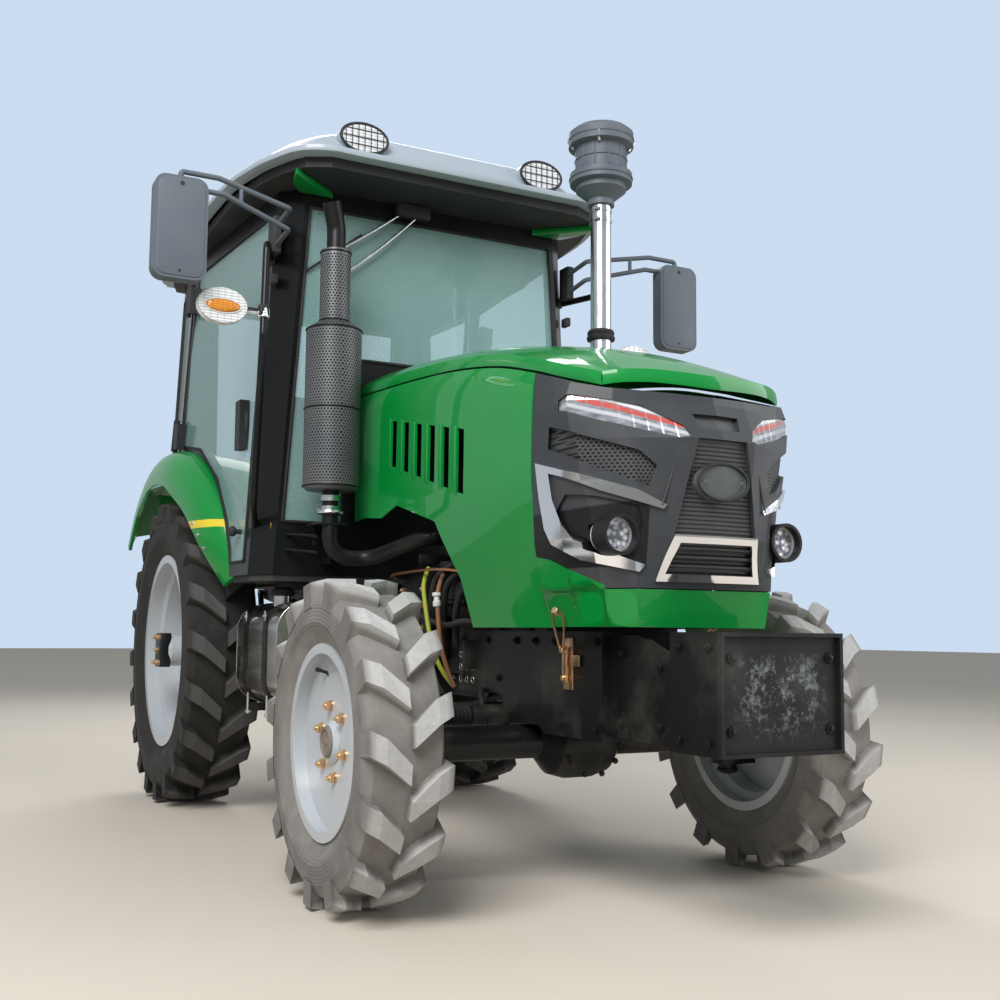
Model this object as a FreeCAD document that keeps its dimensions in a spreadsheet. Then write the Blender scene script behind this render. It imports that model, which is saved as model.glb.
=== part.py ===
import FreeCAD, Part
import math
import operator
import os
import Sketcher
from FreeCAD import Rotation, Vector

# A small farm tractor with a glazed cab.  The front faces -Y, the driver's right is -X and
# the ground is z = 0.  The origin lies on the ground under the middle of its length.

# Each size: its name, millimetres (degrees where the note says so), and what it is.
SIZES = (
    ("wheelbase", 2350, "front axle to rear axle"),
    ("front_axle_y", -1075, "front axle, from the middle of the tractor's length"),
    ("front_track", 1500, "between the middles of the front tyres"),
    ("rear_track", 1385, "between the middles of the rear tyres"),
    ("fit_gap", 0.3, "between pieces that are seated on each other"),
    ("run_gap", 0.05, "radial clearance of a shaft in its bore"),

    ("front_tyre_radius", 469, "to the tips of the lugs"),
    ("front_tyre_half", 119, "half the width of the front tyre"),
    ("front_lug_height", 36, "lug above the tread of the front tyre"),
    ("front_rim_radius", 280, "outside of the front rim's flange"),
    ("front_seat_radius", 257.7, "bead seat of the front rim"),
    ("front_seat_half", 88.3, "half the width between the front rim's flanges"),
    ("front_well_radius", 228, "bottom of the front rim's well"),
    ("front_disc_out", 54, "outer face of the front wheel disc, from the tyre's middle"),
    ("front_hub_radius", 62, "boss round the front spindle"),
    ("front_hub_out", 72, "outer end of the front hub, from the tyre's middle"),
    ("front_spindle_radius", 35, "spindle that the front wheel turns on"),
    ("rear_tyre_radius", 690, "to the tips of the lugs"),
    ("rear_tyre_half", 154, "half the width of the rear tyre"),
    ("rear_lug_height", 42, "lug above the tread of the rear tyre"),
    ("rear_rim_radius", 440, "outside of the rear rim's flange"),
    ("rear_seat_radius", 409.7, "bead seat of the rear rim"),
    ("rear_seat_half", 118.3, "half the width between the rear rim's flanges"),
    ("rear_well_radius", 375, "bottom of the rear rim's well"),
    ("rear_disc_out", -30, "outer face of the rear wheel disc, from the tyre's middle"),
    ("rear_hub_radius", 74, "boss round the rear axle's end"),
    ("rear_hub_out", 112, "outer end of the rear hub, from the tyre's middle"),
    ("rear_spindle_radius", 45, "end of the rear axle that the wheel turns on"),
    ("rim_sheet", 6, "thickness of the rims"),
    ("disc_plate", 10, "thickness of the wheel discs"),

    ("frame_half", 200, "half the width of the front frame"),
    ("frame_plate", 20, "thickness of the front frame's plates"),
    ("frame_top", 790, "top of the front frame"),
    ("frame_low_rear", 590, "underside of the frame behind the front axle"),
    ("frame_low_front", 486, "underside of the frame ahead of the front axle"),
    ("frame_step_y", -985, "step in the frame's underside"),
    ("frame_rear_y", -640, "rear end of the frame's rails"),
    ("frame_front_y", -1559, "front end of the frame"),
    ("frame_hole_radius", 9, "bolt holes in the rails"),
    ("frame_hole_y", -790, "middle of the rail's bolt holes"),
    ("frame_hole_z", 667, "middle of the rail's bolt holes"),
    ("frame_hole_step_y", 46, "between bolt holes along the rail"),
    ("frame_hole_step_z", 42, "between bolt holes up the rail"),
    ("carrier_half", 172, "half the width of the bracket that carries the ballast"),
    ("carrier_low", 500, "underside of that bracket"),
    ("ballast_half", 192, "half the width of the ballast box"),
    ("ballast_rear_y", -1866, "rear face of the ballast box"),
    ("ballast_front_y", -2075, "front face of the ballast box"),
    ("ballast_low", 490, "underside of the ballast box"),
    ("ballast_rim", 12, "how far the box's walls stand ahead of its front plate"),
    ("ballast_wall", 10, "wall of the ballast box"),

    ("engine_half", 165, "half the width of the engine block"),
    ("engine_front_y", -1080, "front of the block"),
    ("engine_rear_y", -420, "rear of the block"),
    ("engine_low", 560, "underside of the sump"),
    ("block_low", 640, "underside of the block"),
    ("block_top", 1050, "top of the block"),
    ("head_half", 120, "half the width of the cylinder head"),
    ("head_top", 1215, "top of the valve cover"),
    ("bell_half", 235, "half the width of the flywheel housing"),
    ("bell_rear_y", -200, "rear of the flywheel housing"),
    ("radiator_half", 235, "half the width of the radiator"),
    ("radiator_y", -1310, "front face of the radiator"),
    ("radiator_deep", 70, "thickness of the radiator"),
    ("radiator_top", 1330, "top of the radiator"),

    ("gearbox_half", 150, "half the width of the gearbox"),
    ("gearbox_low", 500, "underside of the gearbox"),
    ("gearbox_top", 930, "top of the gearbox"),
    ("axle_case_half", 205, "half the width of the rear axle's middle case"),
    ("axle_case_front", -225, "front of that case, from the rear axle"),
    ("axle_case_rear", 325, "rear of that case, from the rear axle"),
    ("axle_case_low", 470, "underside of that case"),
    ("axle_case_top", 960, "top of that case"),
    ("trumpet_radius", 98, "rear axle tubes"),
    ("trumpet_end", 590, "outer end of the rear axle tubes"),
    ("drive_shaft_z", 448, "centre of the front drive shaft's tube"),
    ("drive_shaft_radius", 36, "front drive shaft's tube"),

    ("beam_radius", 52, "front axle tube"),
    ("beam_z", 448, "centre of the front axle tube"),
    ("diff_radius", 118, "front differential case"),
    ("kingpin_x", 610, "steering axis of a front wheel"),
    ("kingpin_radius", 32, "steering pin"),
    ("kingpin_low", 335, "lower end of the steering pin"),
    ("kingpin_high", 625, "upper end of the steering pin"),
    ("fork_radius", 56, "rings of the knuckle round the steering pin"),
    ("steer_arm", 145, "steering axis to the track rod's ball"),
    ("rod_z", 522, "centre of the steering rod"),
    ("rod_radius", 13, "steering rod"),
    ("cylinder_half", 300, "half the length of the steering cylinder"),
    ("cylinder_radius", 33, "steering cylinder"),

    ("hood_low", 800, "lower edge of the hood's sides"),
    ("hood_waist_z", 1200, "height where the hood is widest"),
    ("hood_waist_half", 345, "half width of the hood there"),
    ("hood_shoulder_half", 330, "half width of the hood at the seam of its top"),
    ("hood_skin", 14, "thickness of the hood with its ribs"),
    ("mask_skin", 26, "thickness of the mask"),
    ("louvre_front_y", -1020, "front end of the louvres"),
    ("louvre_rear_y", -335, "rear end of the louvres"),
    ("louvre_count", 6, "number of louvre slots on a side"),

    ("cab_low", 1000, "lower edge of the cab"),
    ("cab_top", 2545, "top of the cab's frame, under its ceiling plate"),
    ("cab_wall", 50, "thickness of the cab's frame"),
    ("floor_low", 975, "underside of the floor"),
    ("floor_plate", 25, "thickness of the floor"),
    ("floor_step_y", 1050, "where the floor steps up under the seat"),
    ("floor_high", 1225, "underside of the raised floor"),
    ("wheelhouse_x", 500, "inner face of the wheelhouses, from the middle"),
    ("roof_low", 2585, "lower edge of the roof"),
    ("roof_edge", 2655, "upper edge of the roof's side"),
    ("roof_top", 2775, "top of the roof"),
    ("ceiling_inset", 55, "ceiling plate inside the roof's lower edge"),
    ("roof_lamp_x", 397, "roof lamp, from the middle"),

    ("fender_radius", 930, "top of the fender from the rear axle"),
    ("fender_lip_radius", 800, "lower edge of the fender's outside from the rear axle"),
    ("fender_skin", 12, "thickness of the fender"),

    ("tank_inner_x", 370, "inner side of the fuel tank"),
    ("tank_outer_x", 665, "outer side of the fuel tank"),
    ("tank_front_y", -30, "front end of the fuel tank"),
    ("tank_rear_y", 540, "rear end of the fuel tank"),
    ("tank_low", 495, "underside of the fuel tank"),
    ("tank_high", 892, "top of the fuel tank"),
    ("tank_corner", 105, "corner radius of the fuel tank's section"),
    ("strap_thick", 4, "thickness of the tank's straps"),

    ("muffler_x", 500, "exhaust stack, from the middle"),
    ("muffler_y", -120, "exhaust stack along the tractor"),
    ("muffler_low", 1312, "lower end of the muffler's guard"),
    ("muffler_step", 1930, "where the guard narrows"),
    ("muffler_high", 2240, "upper end of the guard"),
    ("muffler_radius", 106, "lower guard"),
    ("muffler_neck", 58, "upper guard"),
    ("exhaust_radius", 30, "exhaust pipe"),
    ("exhaust_z", 1125, "exhaust pipe where it passes under the hood"),
    ("stack_x", 425, "air intake pipe, from the middle"),
    ("stack_y", -560, "air intake pipe along the tractor"),
    ("stack_radius", 40, "air intake pipe"),
    ("stack_top", 2440, "top of the air intake pipe"),
    ("filter_z", 1090, "centre of the air filter's case"),

    ("mirror_x", 1096, "middle of a mirror, from the middle"),
    ("mirror_y", -145, "back of a mirror"),
    ("mirror_low", 2040, "lower edge of a mirror"),
    ("mirror_high", 2420, "upper edge of a mirror"),
    ("mirror_half", 96, "half the width of a mirror"),
    ("tube_radius", 14, "mirror arms and grab tubes"),

    ("link_pin_back", 155, "front pins of the lower links, from the rear axle"),
    ("link_pin_z", 440, "height of those pins"),
    ("link_length", 610, "front pin to rear ball of a lower link"),
    ("link_eye_radius", 35, "eye round the ball of a lower link"),
    ("link_bore_radius", 11.2, "pin hole of a lower link's ball"),
    ("link_bore_length", 44, "width of that ball"),
    ("lift_back", 365, "cross shaft of the lift arms, from the rear axle"),
    ("lift_z", 960, "height of that shaft"),
    ("lift_arm", 260, "length of the lift arms"),
    ("lift_rod_link", 330, "front pin of a lower link to its lift rod"),
    ("pto_radius", 17.4, "power take-off shaft"),
    ("pto_z", 640, "height of the power take-off shaft"),
    ("pto_length", 90, "power take-off shaft beyond its housing"),
    ("drawbar_bore_radius", 16, "pin hole of the drawbar"),
    ("drawbar_thick", 30, "thickness of the drawbar"),
)

SIDES = (("right", -1), ("left", 1))
NAMES = {row[0] for row in SIZES}
NODES = []

doc = FreeCAD.newDocument("tractor")
sheet = doc.addObject("Spreadsheet::Sheet", "Sizes")
for line, (size_name, size_value, size_note) in enumerate(SIZES, 1):
    sheet.set("A%d" % line, size_name)
    sheet.set("B%d" % line, str(size_value))
    sheet.set("C%d" % line, size_note)
    sheet.setAlias("B%d" % line, size_name)
doc.recompute()


class Term:
    """A length worked out from the sheet: its value, and the same as an expression."""

    def __init__(self, value, text):
        self.value = value
        self.text = text

    def __float__(self):
        return float(self.value)

    def __neg__(self):
        return Term(-self.value, "-(%s)" % self.text)

    def __add__(self, other):
        return joined(self, "+", other, operator.add)

    def __radd__(self, other):
        return joined(other, "+", self, operator.add)

    def __sub__(self, other):
        return joined(self, "-", other, operator.sub)

    def __rsub__(self, other):
        return joined(other, "-", self, operator.sub)

    def __mul__(self, other):
        return joined(self, "*", other, operator.mul)

    def __rmul__(self, other):
        return joined(other, "*", self, operator.mul)

    def __truediv__(self, other):
        return joined(self, "/", other, operator.truediv)


def term(value):
    """Any number as a Term."""
    if isinstance(value, Term):
        return value
    return Term(float(value), "(%.6f)" % float(value))


def joined(left, sign, right, rule):
    """The Term that an arithmetic sign makes of two values."""
    left = term(left)
    right = term(right)
    return Term(rule(left.value, right.value), "(%s %s %s)" % (left.text, sign, right.text))


class Sizes:
    """The sheet's sizes by name, each as a Term."""

    def __getattr__(self, name):
        if name not in NAMES:
            raise AttributeError(name)
        return Term(float(getattr(sheet, name)), "Sizes." + name)


S = Sizes()
REAR_AXLE_Y = S.front_axle_y + S.wheelbase
CASE_FRONT_Y = REAR_AXLE_Y + S.axle_case_front
CASE_REAR_Y = REAR_AXLE_Y + S.axle_case_rear
LINK_PIN_Y = REAR_AXLE_Y + S.link_pin_back
LIFT_Y = REAR_AXLE_Y + S.lift_back
FRONT_X = S.front_track / 2
REAR_X = S.rear_track / 2


def point(x, y, z):
    """A point from Terms or numbers."""
    return Vector(float(x), float(y), float(z))


def bind(item, prop, value):
    """Ties one property of an object to the sheet."""
    item.setExpression(prop, term(value).text)


def bind_place(item, x, y, z):
    """Ties an object's position to the sheet."""
    for axis, value in (("x", x), ("y", y), ("z", z)):
        bind(item, "Placement.Base." + axis, value)


def node(item, name):
    """Makes an object one of the tractor's sub-parts."""
    item.Label = name
    NODES.append(item)
    return item


def block(name, x, y, z):
    """A box between a low and a high value on each axis."""
    item = doc.addObject("Part::Box", name)
    for prop, span in (("Length", x), ("Width", y), ("Height", z)):
        bind(item, prop, span[1] - span[0])
    bind_place(item, x[0], y[0], z[0])
    return item


TURNS = {"x": Rotation(Vector(0, 1, 0), 90), "y": Rotation(Vector(1, 0, 0), -90), "z": Rotation()}


def bar(name, axis, start, length, radius):
    """A round bar from its start point along one axis."""
    item = doc.addObject("Part::Cylinder", name)
    bind(item, "Radius", radius)
    bind(item, "Height", length)
    item.Placement.Rotation = TURNS[axis]
    bind_place(item, *start)
    return item


def crossbar(name, y, z, low_x, high_x, radius):
    """A round bar along X."""
    return bar(name, "x", (low_x, y, z), high_x - low_x, radius)


def fuse(name, *items):
    """One solid from several."""
    item = doc.addObject("Part::MultiFuse", name)
    item.Shapes = list(items)
    item.Refine = True
    return item


def cut(name, base, *tools):
    """What is left of a piece when the tools are taken away."""
    tool = tools[0] if len(tools) == 1 else group(name + "_tools", *tools)
    item = doc.addObject("Part::Cut", name)
    item.Base = base
    item.Tool = tool
    return item


def group(name, *items):
    """Like pieces that stay apart."""
    item = doc.addObject("Part::Compound", name)
    item.Links = list(items)
    return item


def shaped(name, shape):
    """A piece whose form is worked out here."""
    item = doc.addObject("Part::Feature", name)
    item.Shape = shape
    return item


def built(item):
    """An object's shape, worked out at once."""
    doc.recompute()
    return item.Shape.copy()


def turn_of(before, here, after):
    """The directions into and out of a corner, and the angle between them."""
    inward = (here - before).normalize()
    outward = (after - here).normalize()
    side = inward.x * outward.y - inward.y * outward.x
    return inward, outward, math.atan2(side, inward.dot(outward))


def outline(body, name, plane, corners, offset=0):
    """A closed sketch through the corners; a third value rounds that corner."""
    sketch = body.newObject("Sketcher::SketchObject", name)
    support = [part for part in body.Origin.OriginFeatures if part.Role == plane + "_Plane"][0]
    sketch.AttachmentSupport = [(support, "")]
    sketch.MapMode = "FlatFace"
    bind(sketch, "AttachmentOffset.Base.z", offset)
    count = len(corners)
    spots = [point(corner[0], corner[1], 0) for corner in corners]
    starts = list(spots)
    ends = list(spots)
    arcs = {}
    for i, corner in enumerate(corners):
        if len(corner) > 2:
            inward, outward, angle = turn_of(spots[i - 1], spots[i], spots[(i + 1) % count])
            reach = float(corner[2]) * math.tan(abs(angle) / 2)
            ends[i] = spots[i] - inward * reach
            starts[i] = spots[i] + outward * reach
            middle = (outward - inward).normalize()
            depth = float(corner[2]) * (1 / math.cos(angle / 2) - 1)
            arcs[i] = (Part.Arc(ends[i], spots[i] + middle * depth, starts[i]), angle > 0)
    for i in range(count):
        sketch.addGeometry(Part.LineSegment(starts[i], ends[(i + 1) % count]), False)
    for i, corner in enumerate(corners):
        before = (i - 1) % count
        place = (i, 1)
        if i in arcs:
            arc = sketch.addGeometry(arcs[i][0], False)
            first, last = (1, 2) if arcs[i][1] else (2, 1)
            sketch.addConstraint(Sketcher.Constraint("Tangent", before, 2, arc, first))
            sketch.addConstraint(Sketcher.Constraint("Tangent", arc, last, i, 1))
            mark = sketch.addGeometry(Part.Point(spots[i]), True)
            sketch.addConstraint(Sketcher.Constraint("PointOnObject", mark, 1, before))
            sketch.addConstraint(Sketcher.Constraint("PointOnObject", mark, 1, i))
            rule = sketch.addConstraint(Sketcher.Constraint("Radius", arc, float(corner[2])))
            bind(sketch, "Constraints[%d]" % rule, corner[2])
            place = (mark, 1)
        else:
            sketch.addConstraint(Sketcher.Constraint("Coincident", before, 2, i, 1))
        for kind, value in (("DistanceX", corner[0]), ("DistanceY", corner[1])):
            rule = sketch.addConstraint(Sketcher.Constraint(kind, -1, 1, *place, float(value)))
            bind(sketch, "Constraints[%d]" % rule, value)
    return sketch


def prism(name, plane, corners, low, high):
    """A straight-sided piece: an outline on an origin plane, padded from low to high."""
    body = doc.addObject("PartDesign::Body", name)
    start = -high if plane == "XZ" else low
    sketch = outline(body, name + "_outline", plane, corners, start)
    pad = body.newObject("PartDesign::Pad", name + "_pad")
    pad.Profile = sketch
    bind(pad, "Length", high - low)
    return body


def turned(name, corners, axis, place):
    """A round piece: an outline on the XZ plane turned about H_Axis (X) or V_Axis (Z)."""
    body = doc.addObject("PartDesign::Body", name)
    sketch = outline(body, name + "_outline", "XZ", corners)
    spin = body.newObject("PartDesign::Revolution", name + "_spin")
    spin.Profile = sketch
    spin.ReferenceAxis = (sketch, [axis])
    spin.Angle = 360
    bind_place(body, *place)
    return body


def bent_bar(name, corners, radius, bend):
    """A round bar along straight runs joined by arcs that touch them."""
    spots = [point(*corner) for corner in corners]
    edges = []
    here = spots[0]
    for i in range(1, len(spots) - 1):
        inward = (spots[i] - spots[i - 1]).normalize()
        outward = (spots[i + 1] - spots[i]).normalize()
        angle = inward.getAngle(outward)
        reach = bend * math.tan(angle / 2)
        enter = spots[i] - inward * reach
        leave = spots[i] + outward * reach
        middle = (outward - inward).normalize()
        depth = bend * (1 / math.cos(angle / 2) - 1)
        edges.append(Part.LineSegment(here, enter).toShape())
        edges.append(Part.Arc(enter, spots[i] + middle * depth, leave).toShape())
        here = leave
    edges.append(Part.LineSegment(here, spots[-1]).toShape())
    ring = Part.Circle(spots[0], spots[1] - spots[0], float(radius)).toShape()
    return shaped(name, Part.Wire(edges).makePipeShell([Part.Wire(ring)], True, False))


def polygon(spots):
    """A closed wire through the spots."""
    return Part.makePolygon(spots + spots[:1])


def stacked(levels):
    """A solid through flat closed wires, straight from each to the next."""
    return Part.makeLoft([polygon(level) for level in levels], True, True)


def inset(spots, distance):
    """A flat outline moved inwards by a distance; it runs counter-clockwise from above."""
    moved = []
    for i, here in enumerate(spots):
        first = (here - spots[i - 1]).normalize()
        second = (spots[(i + 1) % len(spots)] - here).normalize()
        sides = [Vector(-first.y, first.x, 0), Vector(-second.y, second.x, 0)]
        share = 1 + sides[0].dot(sides[1])
        moved.append(here + (sides[0] + sides[1]) * (distance / share))
    return moved


def oval(x, z, half_x, half_z, near, far):
    """An oval solid along Y, its middle and half widths given, from near to far."""
    ring = Part.Face(Part.Wire(Part.Ellipse(Vector(), float(half_x), float(half_z)).toShape()))
    ring.rotate(Vector(), Vector(1, 0, 0), 90)
    ring.translate(point(x, near, z))
    return ring.extrude(Vector(0, float(far) - float(near), 0))


def mirrored_outline(half, z):
    """A plan outline from its half with x above 0, listed from the front to the rear."""
    left = [point(x, y, z) for x, y in half]
    right = [point(-x, y, z) for x, y in reversed(half)]
    return left + right


def side_tool(name, corners, sign, near, far):
    """A cutter through one side wall, its outline in Y and Z, from x near to x far."""
    low, high = (near, far) if sign > 0 else (-far, -near)
    return prism(name, "YZ", corners, low, high)


def lug(stations, side):
    """One tread bar: a closed form through stations of (width place, angle, half angle,
    half angle at its foot, foot radius, top radius), on the side of the tread given by its sign."""
    rings = []
    for across, angle, half_top, half_foot, foot, top in stations:
        ring = []
        for turn, radius in ((-half_foot, foot), (half_foot, foot), (half_top, top), (-half_top, top)):
            at = math.radians(angle + turn)
            ring.append(Vector(side * across, -radius * math.cos(at), radius * math.sin(at)))
        rings.append(ring if side > 0 else list(reversed(ring)))
    faces = []
    for first, second in zip(rings, rings[1:]):
        for i in range(4):
            j = (i + 1) % 4
            faces.append(Part.Face(polygon([first[i], first[j], second[j]])))
            faces.append(Part.Face(polygon([first[i], second[j], second[i]])))
    for ring in (rings[0], rings[-1]):
        faces.append(Part.Face(polygon([ring[0], ring[1], ring[2]])))
        faces.append(Part.Face(polygon([ring[0], ring[2], ring[3]])))
    return Part.Solid(Part.Shell(faces))


# Wheels

LUG_FOOT = 6

# One row for each axle: count of lugs on a side, first slant and whole slant of a lug in
# degrees, half its angle on top and at its foot, and the rim radius that the disc reaches.
AXLES = {
    "front": (15, 7.6, 10.4, 4.1, 5.1, 253),
    "rear": (20, 6.8, 9.4, 3.0, 3.8, 372),
}
# Inner end of a wheel's hub, from the middle of its tyre towards its outer side.
HUB_START = {"front": -45, "rear": -85}


def axle_sizes(axle):
    """The sheet's sizes of one axle's wheels by their short names."""
    words = ("tyre_radius", "tyre_half", "lug_height", "rim_radius", "seat_radius", "seat_half",
             "well_radius", "disc_out", "hub_radius", "hub_out", "spindle_radius")
    return {word: getattr(S, axle + "_" + word) for word in words}


def both_sides(half):
    """A section that is the same on both sides of the wheel's middle, from its right half."""
    return [(-x, r) for x, r in reversed(half) if float(x) > 0] + list(half)


def tyre(axle, side, sign, place):
    """A hollow tyre with bars that meet in a V on its front face, low in the middle."""
    z = axle_sizes(axle)
    count, first_slant, slant, half_top, half_foot = AXLES[axle][:5]
    tread = z["tyre_radius"] - z["lug_height"]
    bead = z["seat_half"] - S.fit_gap
    seat = z["seat_radius"] + S.fit_gap
    half = z["tyre_half"]
    mid = z["rim_radius"] * 0.6 + tread * 0.4
    outer = [(0, tread), (half * 0.8, tread - 7), (half * 0.97, tread - 40), (half, mid)]
    outer += [(bead, z["rim_radius"] + 4), (bead, seat)]
    inner = [(0, tread - 20), (half * 0.8 - 14, tread - 28), (half - 17, mid)]
    inner += [(bead - 20, z["rim_radius"] + 6), (bead - 20, seat)]
    name = axle + "_tyre_" + side
    ring = both_sides(outer) + list(reversed(both_sides(inner)))
    carcass = turned(name + "_carcass", ring, "H_Axis", place)
    top = float(z["tyre_radius"])
    width = float(half)
    base = float(tread)
    bars = []
    for hand in (-1, 1):
        for i in range(count):
            start = 360.0 / count * (i + hand / 4)
            stations = (
                (5, start, half_top * 0.8, half_foot * 0.85, base - LUG_FOOT, top - 1),
                (width * 0.62, start + first_slant, half_top, half_foot, base - 11, top),
                (width - 1, start + slant, half_top, half_foot, base - 47, top - 10),
            )
            bars.append(lug(stations, hand))
    lugs = shaped(name + "_bars", Part.Compound(bars))
    bind_place(lugs, *place)
    return node(fuse(name + "_whole", carcass, lugs), name)


def rim(axle, side, sign, place):
    """A rim with its disc and hub; the disc stands out on the wheel's outer side."""
    z = axle_sizes(axle)
    sheet_t = S.rim_sheet
    wide = z["seat_half"] + sheet_t
    well = z["seat_half"] * 0.5
    low = z["seat_radius"] - sheet_t
    outer = [(well - 12, z["well_radius"]), (well, z["seat_radius"])]
    outer += [(z["seat_half"], z["seat_radius"]), (z["seat_half"], z["rim_radius"])]
    outer += [(wide, z["rim_radius"])]
    inner = [(well - 7, z["well_radius"] - sheet_t), (well + 5, low), (wide, low)]
    ring = both_sides(outer) + list(reversed(both_sides(inner)))
    name = axle + "_rim_" + side
    barrel = turned(name + "_barrel", ring, "H_Axis", place)
    face = z["disc_out"] * sign
    back = face - S.disc_plate * sign
    hub = z["hub_radius"]
    disc_rim = AXLES[axle][5]
    disc = turned(name + "_disc", [(back, hub - 4), (face, hub - 4), (face, disc_rim), (back, disc_rim)],
                  "H_Axis", place)
    bore = z["spindle_radius"] + S.run_gap
    end = z["hub_out"] * sign
    start = HUB_START[axle] * sign
    pocket = end - 10 * sign
    boss = turned(name + "_hub", [(start, bore), (start, hub), (end - 14 * sign, hub), (end, hub - 14),
                                  (end, 0), (pocket, 0), (pocket, bore)], "H_Axis", place)
    return node(fuse(name + "_whole", barrel, disc, boss), name)

for side, sign in SIDES:
    front_place = (FRONT_X * sign, S.front_axle_y, S.front_tyre_radius)
    rear_place = (REAR_X * sign, REAR_AXLE_Y, S.rear_tyre_radius)
    tyre("front", side, sign, front_place)
    rim("front", side, sign, front_place)
    tyre("rear", side, sign, rear_place)
    rim("rear", side, sign, rear_place)

# Front axle and steering

AXLE_Z = S.front_tyre_radius
ROD_Y = S.front_axle_y + S.steer_arm
PIN_BOSS = 48
BOSS_LOW = 404
BOSS_HIGH = 497

case = [(-150, S.beam_radius - 8), (-95, S.diff_radius - 14), (-45, S.diff_radius),
        (45, S.diff_radius), (95, S.diff_radius - 14), (150, S.beam_radius - 8), (150, 0), (-150, 0)]
axle_place = (0, S.front_axle_y, S.beam_z)
axle_bits = [turned("axle_case", case, "H_Axis", axle_place)]
axle_bits.append(crossbar("axle_tube", S.front_axle_y, S.beam_z, -S.kingpin_x, S.kingpin_x, S.beam_radius))
for side, sign in SIDES:
    pin_x = S.kingpin_x * sign
    axle_bits.append(bar("axle_boss_" + side, "z", (pin_x, S.front_axle_y, BOSS_LOW),
                         BOSS_HIGH - BOSS_LOW, PIN_BOSS))
beam = cut("axle_trimmed", fuse("axle_joined", *axle_bits),
           *[block("axle_end_" + side,
                   (-900, -(S.kingpin_x + 8)) if sign < 0 else (S.kingpin_x + 8, 900),
                   (S.front_axle_y - 60, S.front_axle_y + 60), (380, BOSS_LOW)) for side, sign in SIDES],
           *[block("axle_cap_" + side,
                   (-700, -(S.kingpin_x - 62)) if sign < 0 else (S.kingpin_x - 62, 700),
                   (S.front_axle_y - 60, S.front_axle_y + 60), (BOSS_HIGH, 520)) for side, sign in SIDES],
           *[block("axle_foot_" + side,
                   (-700, -(S.kingpin_x - 62)) if sign < 0 else (S.kingpin_x - 62, 700),
                   (S.front_axle_y - 60, S.front_axle_y + 60), (380, BOSS_LOW)) for side, sign in SIDES])
trimmed = [beam]
for side, sign in SIDES:
    trimmed.append(bar("axle_pin_" + side, "z", (S.kingpin_x * sign, S.front_axle_y, S.kingpin_low),
                       S.kingpin_high - S.kingpin_low, S.kingpin_radius))

KNUCKLE_RINGS = ((350, 396), (505, 600))
WEB_NEAR = 56
WEB_FAR = 84
for side, sign in SIDES:
    pin = (S.kingpin_x * sign, S.front_axle_y)
    inner = pin[0]
    outer = pin[0] + WEB_FAR * sign
    near = pin[0] + WEB_NEAR * sign
    low_x, high_x = (outer, inner) if sign < 0 else (inner, outer)
    web_x = (outer, near) if sign < 0 else (near, outer)
    width_y = (pin[1] - 44, pin[1] + 44)
    bits = [block("web_" + side, web_x, width_y, (KNUCKLE_RINGS[0][0], KNUCKLE_RINGS[1][1]))]
    for low, high in KNUCKLE_RINGS:
        bits.append(bar("ring_%s_%d" % (side, low), "z", (pin[0], pin[1], low), high - low, S.fork_radius))
        bits.append(block("cheek_%s_%d" % (side, low), (low_x, high_x), width_y, (low, high)))
    arm_x = (pin[0] - 22, pin[0] + 22)
    bits.append(block("arm_" + side, arm_x, (pin[1], ROD_Y), (543, 569)))
    bits.append(bar("arm_end_" + side, "z", (pin[0], ROD_Y, 543), 26, 22))
    spindle_end = FRONT_X + S.front_hub_out - 12
    spin_low, spin_high = (-spindle_end, outer) if sign < 0 else (outer, spindle_end)
    bits.append(crossbar("spindle_" + side, pin[1], AXLE_Z, spin_low, spin_high, S.front_spindle_radius))
    whole = fuse("knuckle_solid_" + side, *bits)
    hole = bar("pin_hole_" + side, "z", (pin[0], pin[1], KNUCKLE_RINGS[0][0] - 5), 260,
               S.kingpin_radius + S.run_gap)
    node(cut("knuckle_cut_" + side, whole, hole), "knuckle_" + side)

tube = crossbar("steer_tube", ROD_Y, S.rod_z, -S.cylinder_half, S.cylinder_half, S.cylinder_radius)
tube_bits = trimmed + [tube]
for side, sign in SIDES:
    foot = (-245, -205) if sign < 0 else (205, 245)
    tube_bits.append(block("steer_foot_" + side, foot, (S.front_axle_y + 54, ROD_Y), (S.rod_z - 30,
                                                                                      S.rod_z + 12)))
tube_hole = crossbar("steer_tube_hole", ROD_Y, S.rod_z, -S.cylinder_half - 5, S.cylinder_half + 5,
                     S.rod_radius + S.run_gap)
node(cut("axle_cut", fuse("axle_whole", *tube_bits), tube_hole), "front_axle_beam")

rod_bits = [crossbar("steer_rod", ROD_Y, S.rod_z, -S.kingpin_x, S.kingpin_x, S.rod_radius)]
for side, sign in SIDES:
    rod_bits.append(bar("rod_eye_" + side, "z", (S.kingpin_x * sign, ROD_Y, S.rod_z - 15), 30, 22))
    joint_x = (-490, -425) if sign < 0 else (425, 490)
    rod_bits.append(crossbar("rod_joint_" + side, ROD_Y, S.rod_z, joint_x[0], joint_x[1], 20))
node(fuse("steer_rod_whole", *rod_bits), "steering_rod")

# Front frame and ballast

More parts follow.
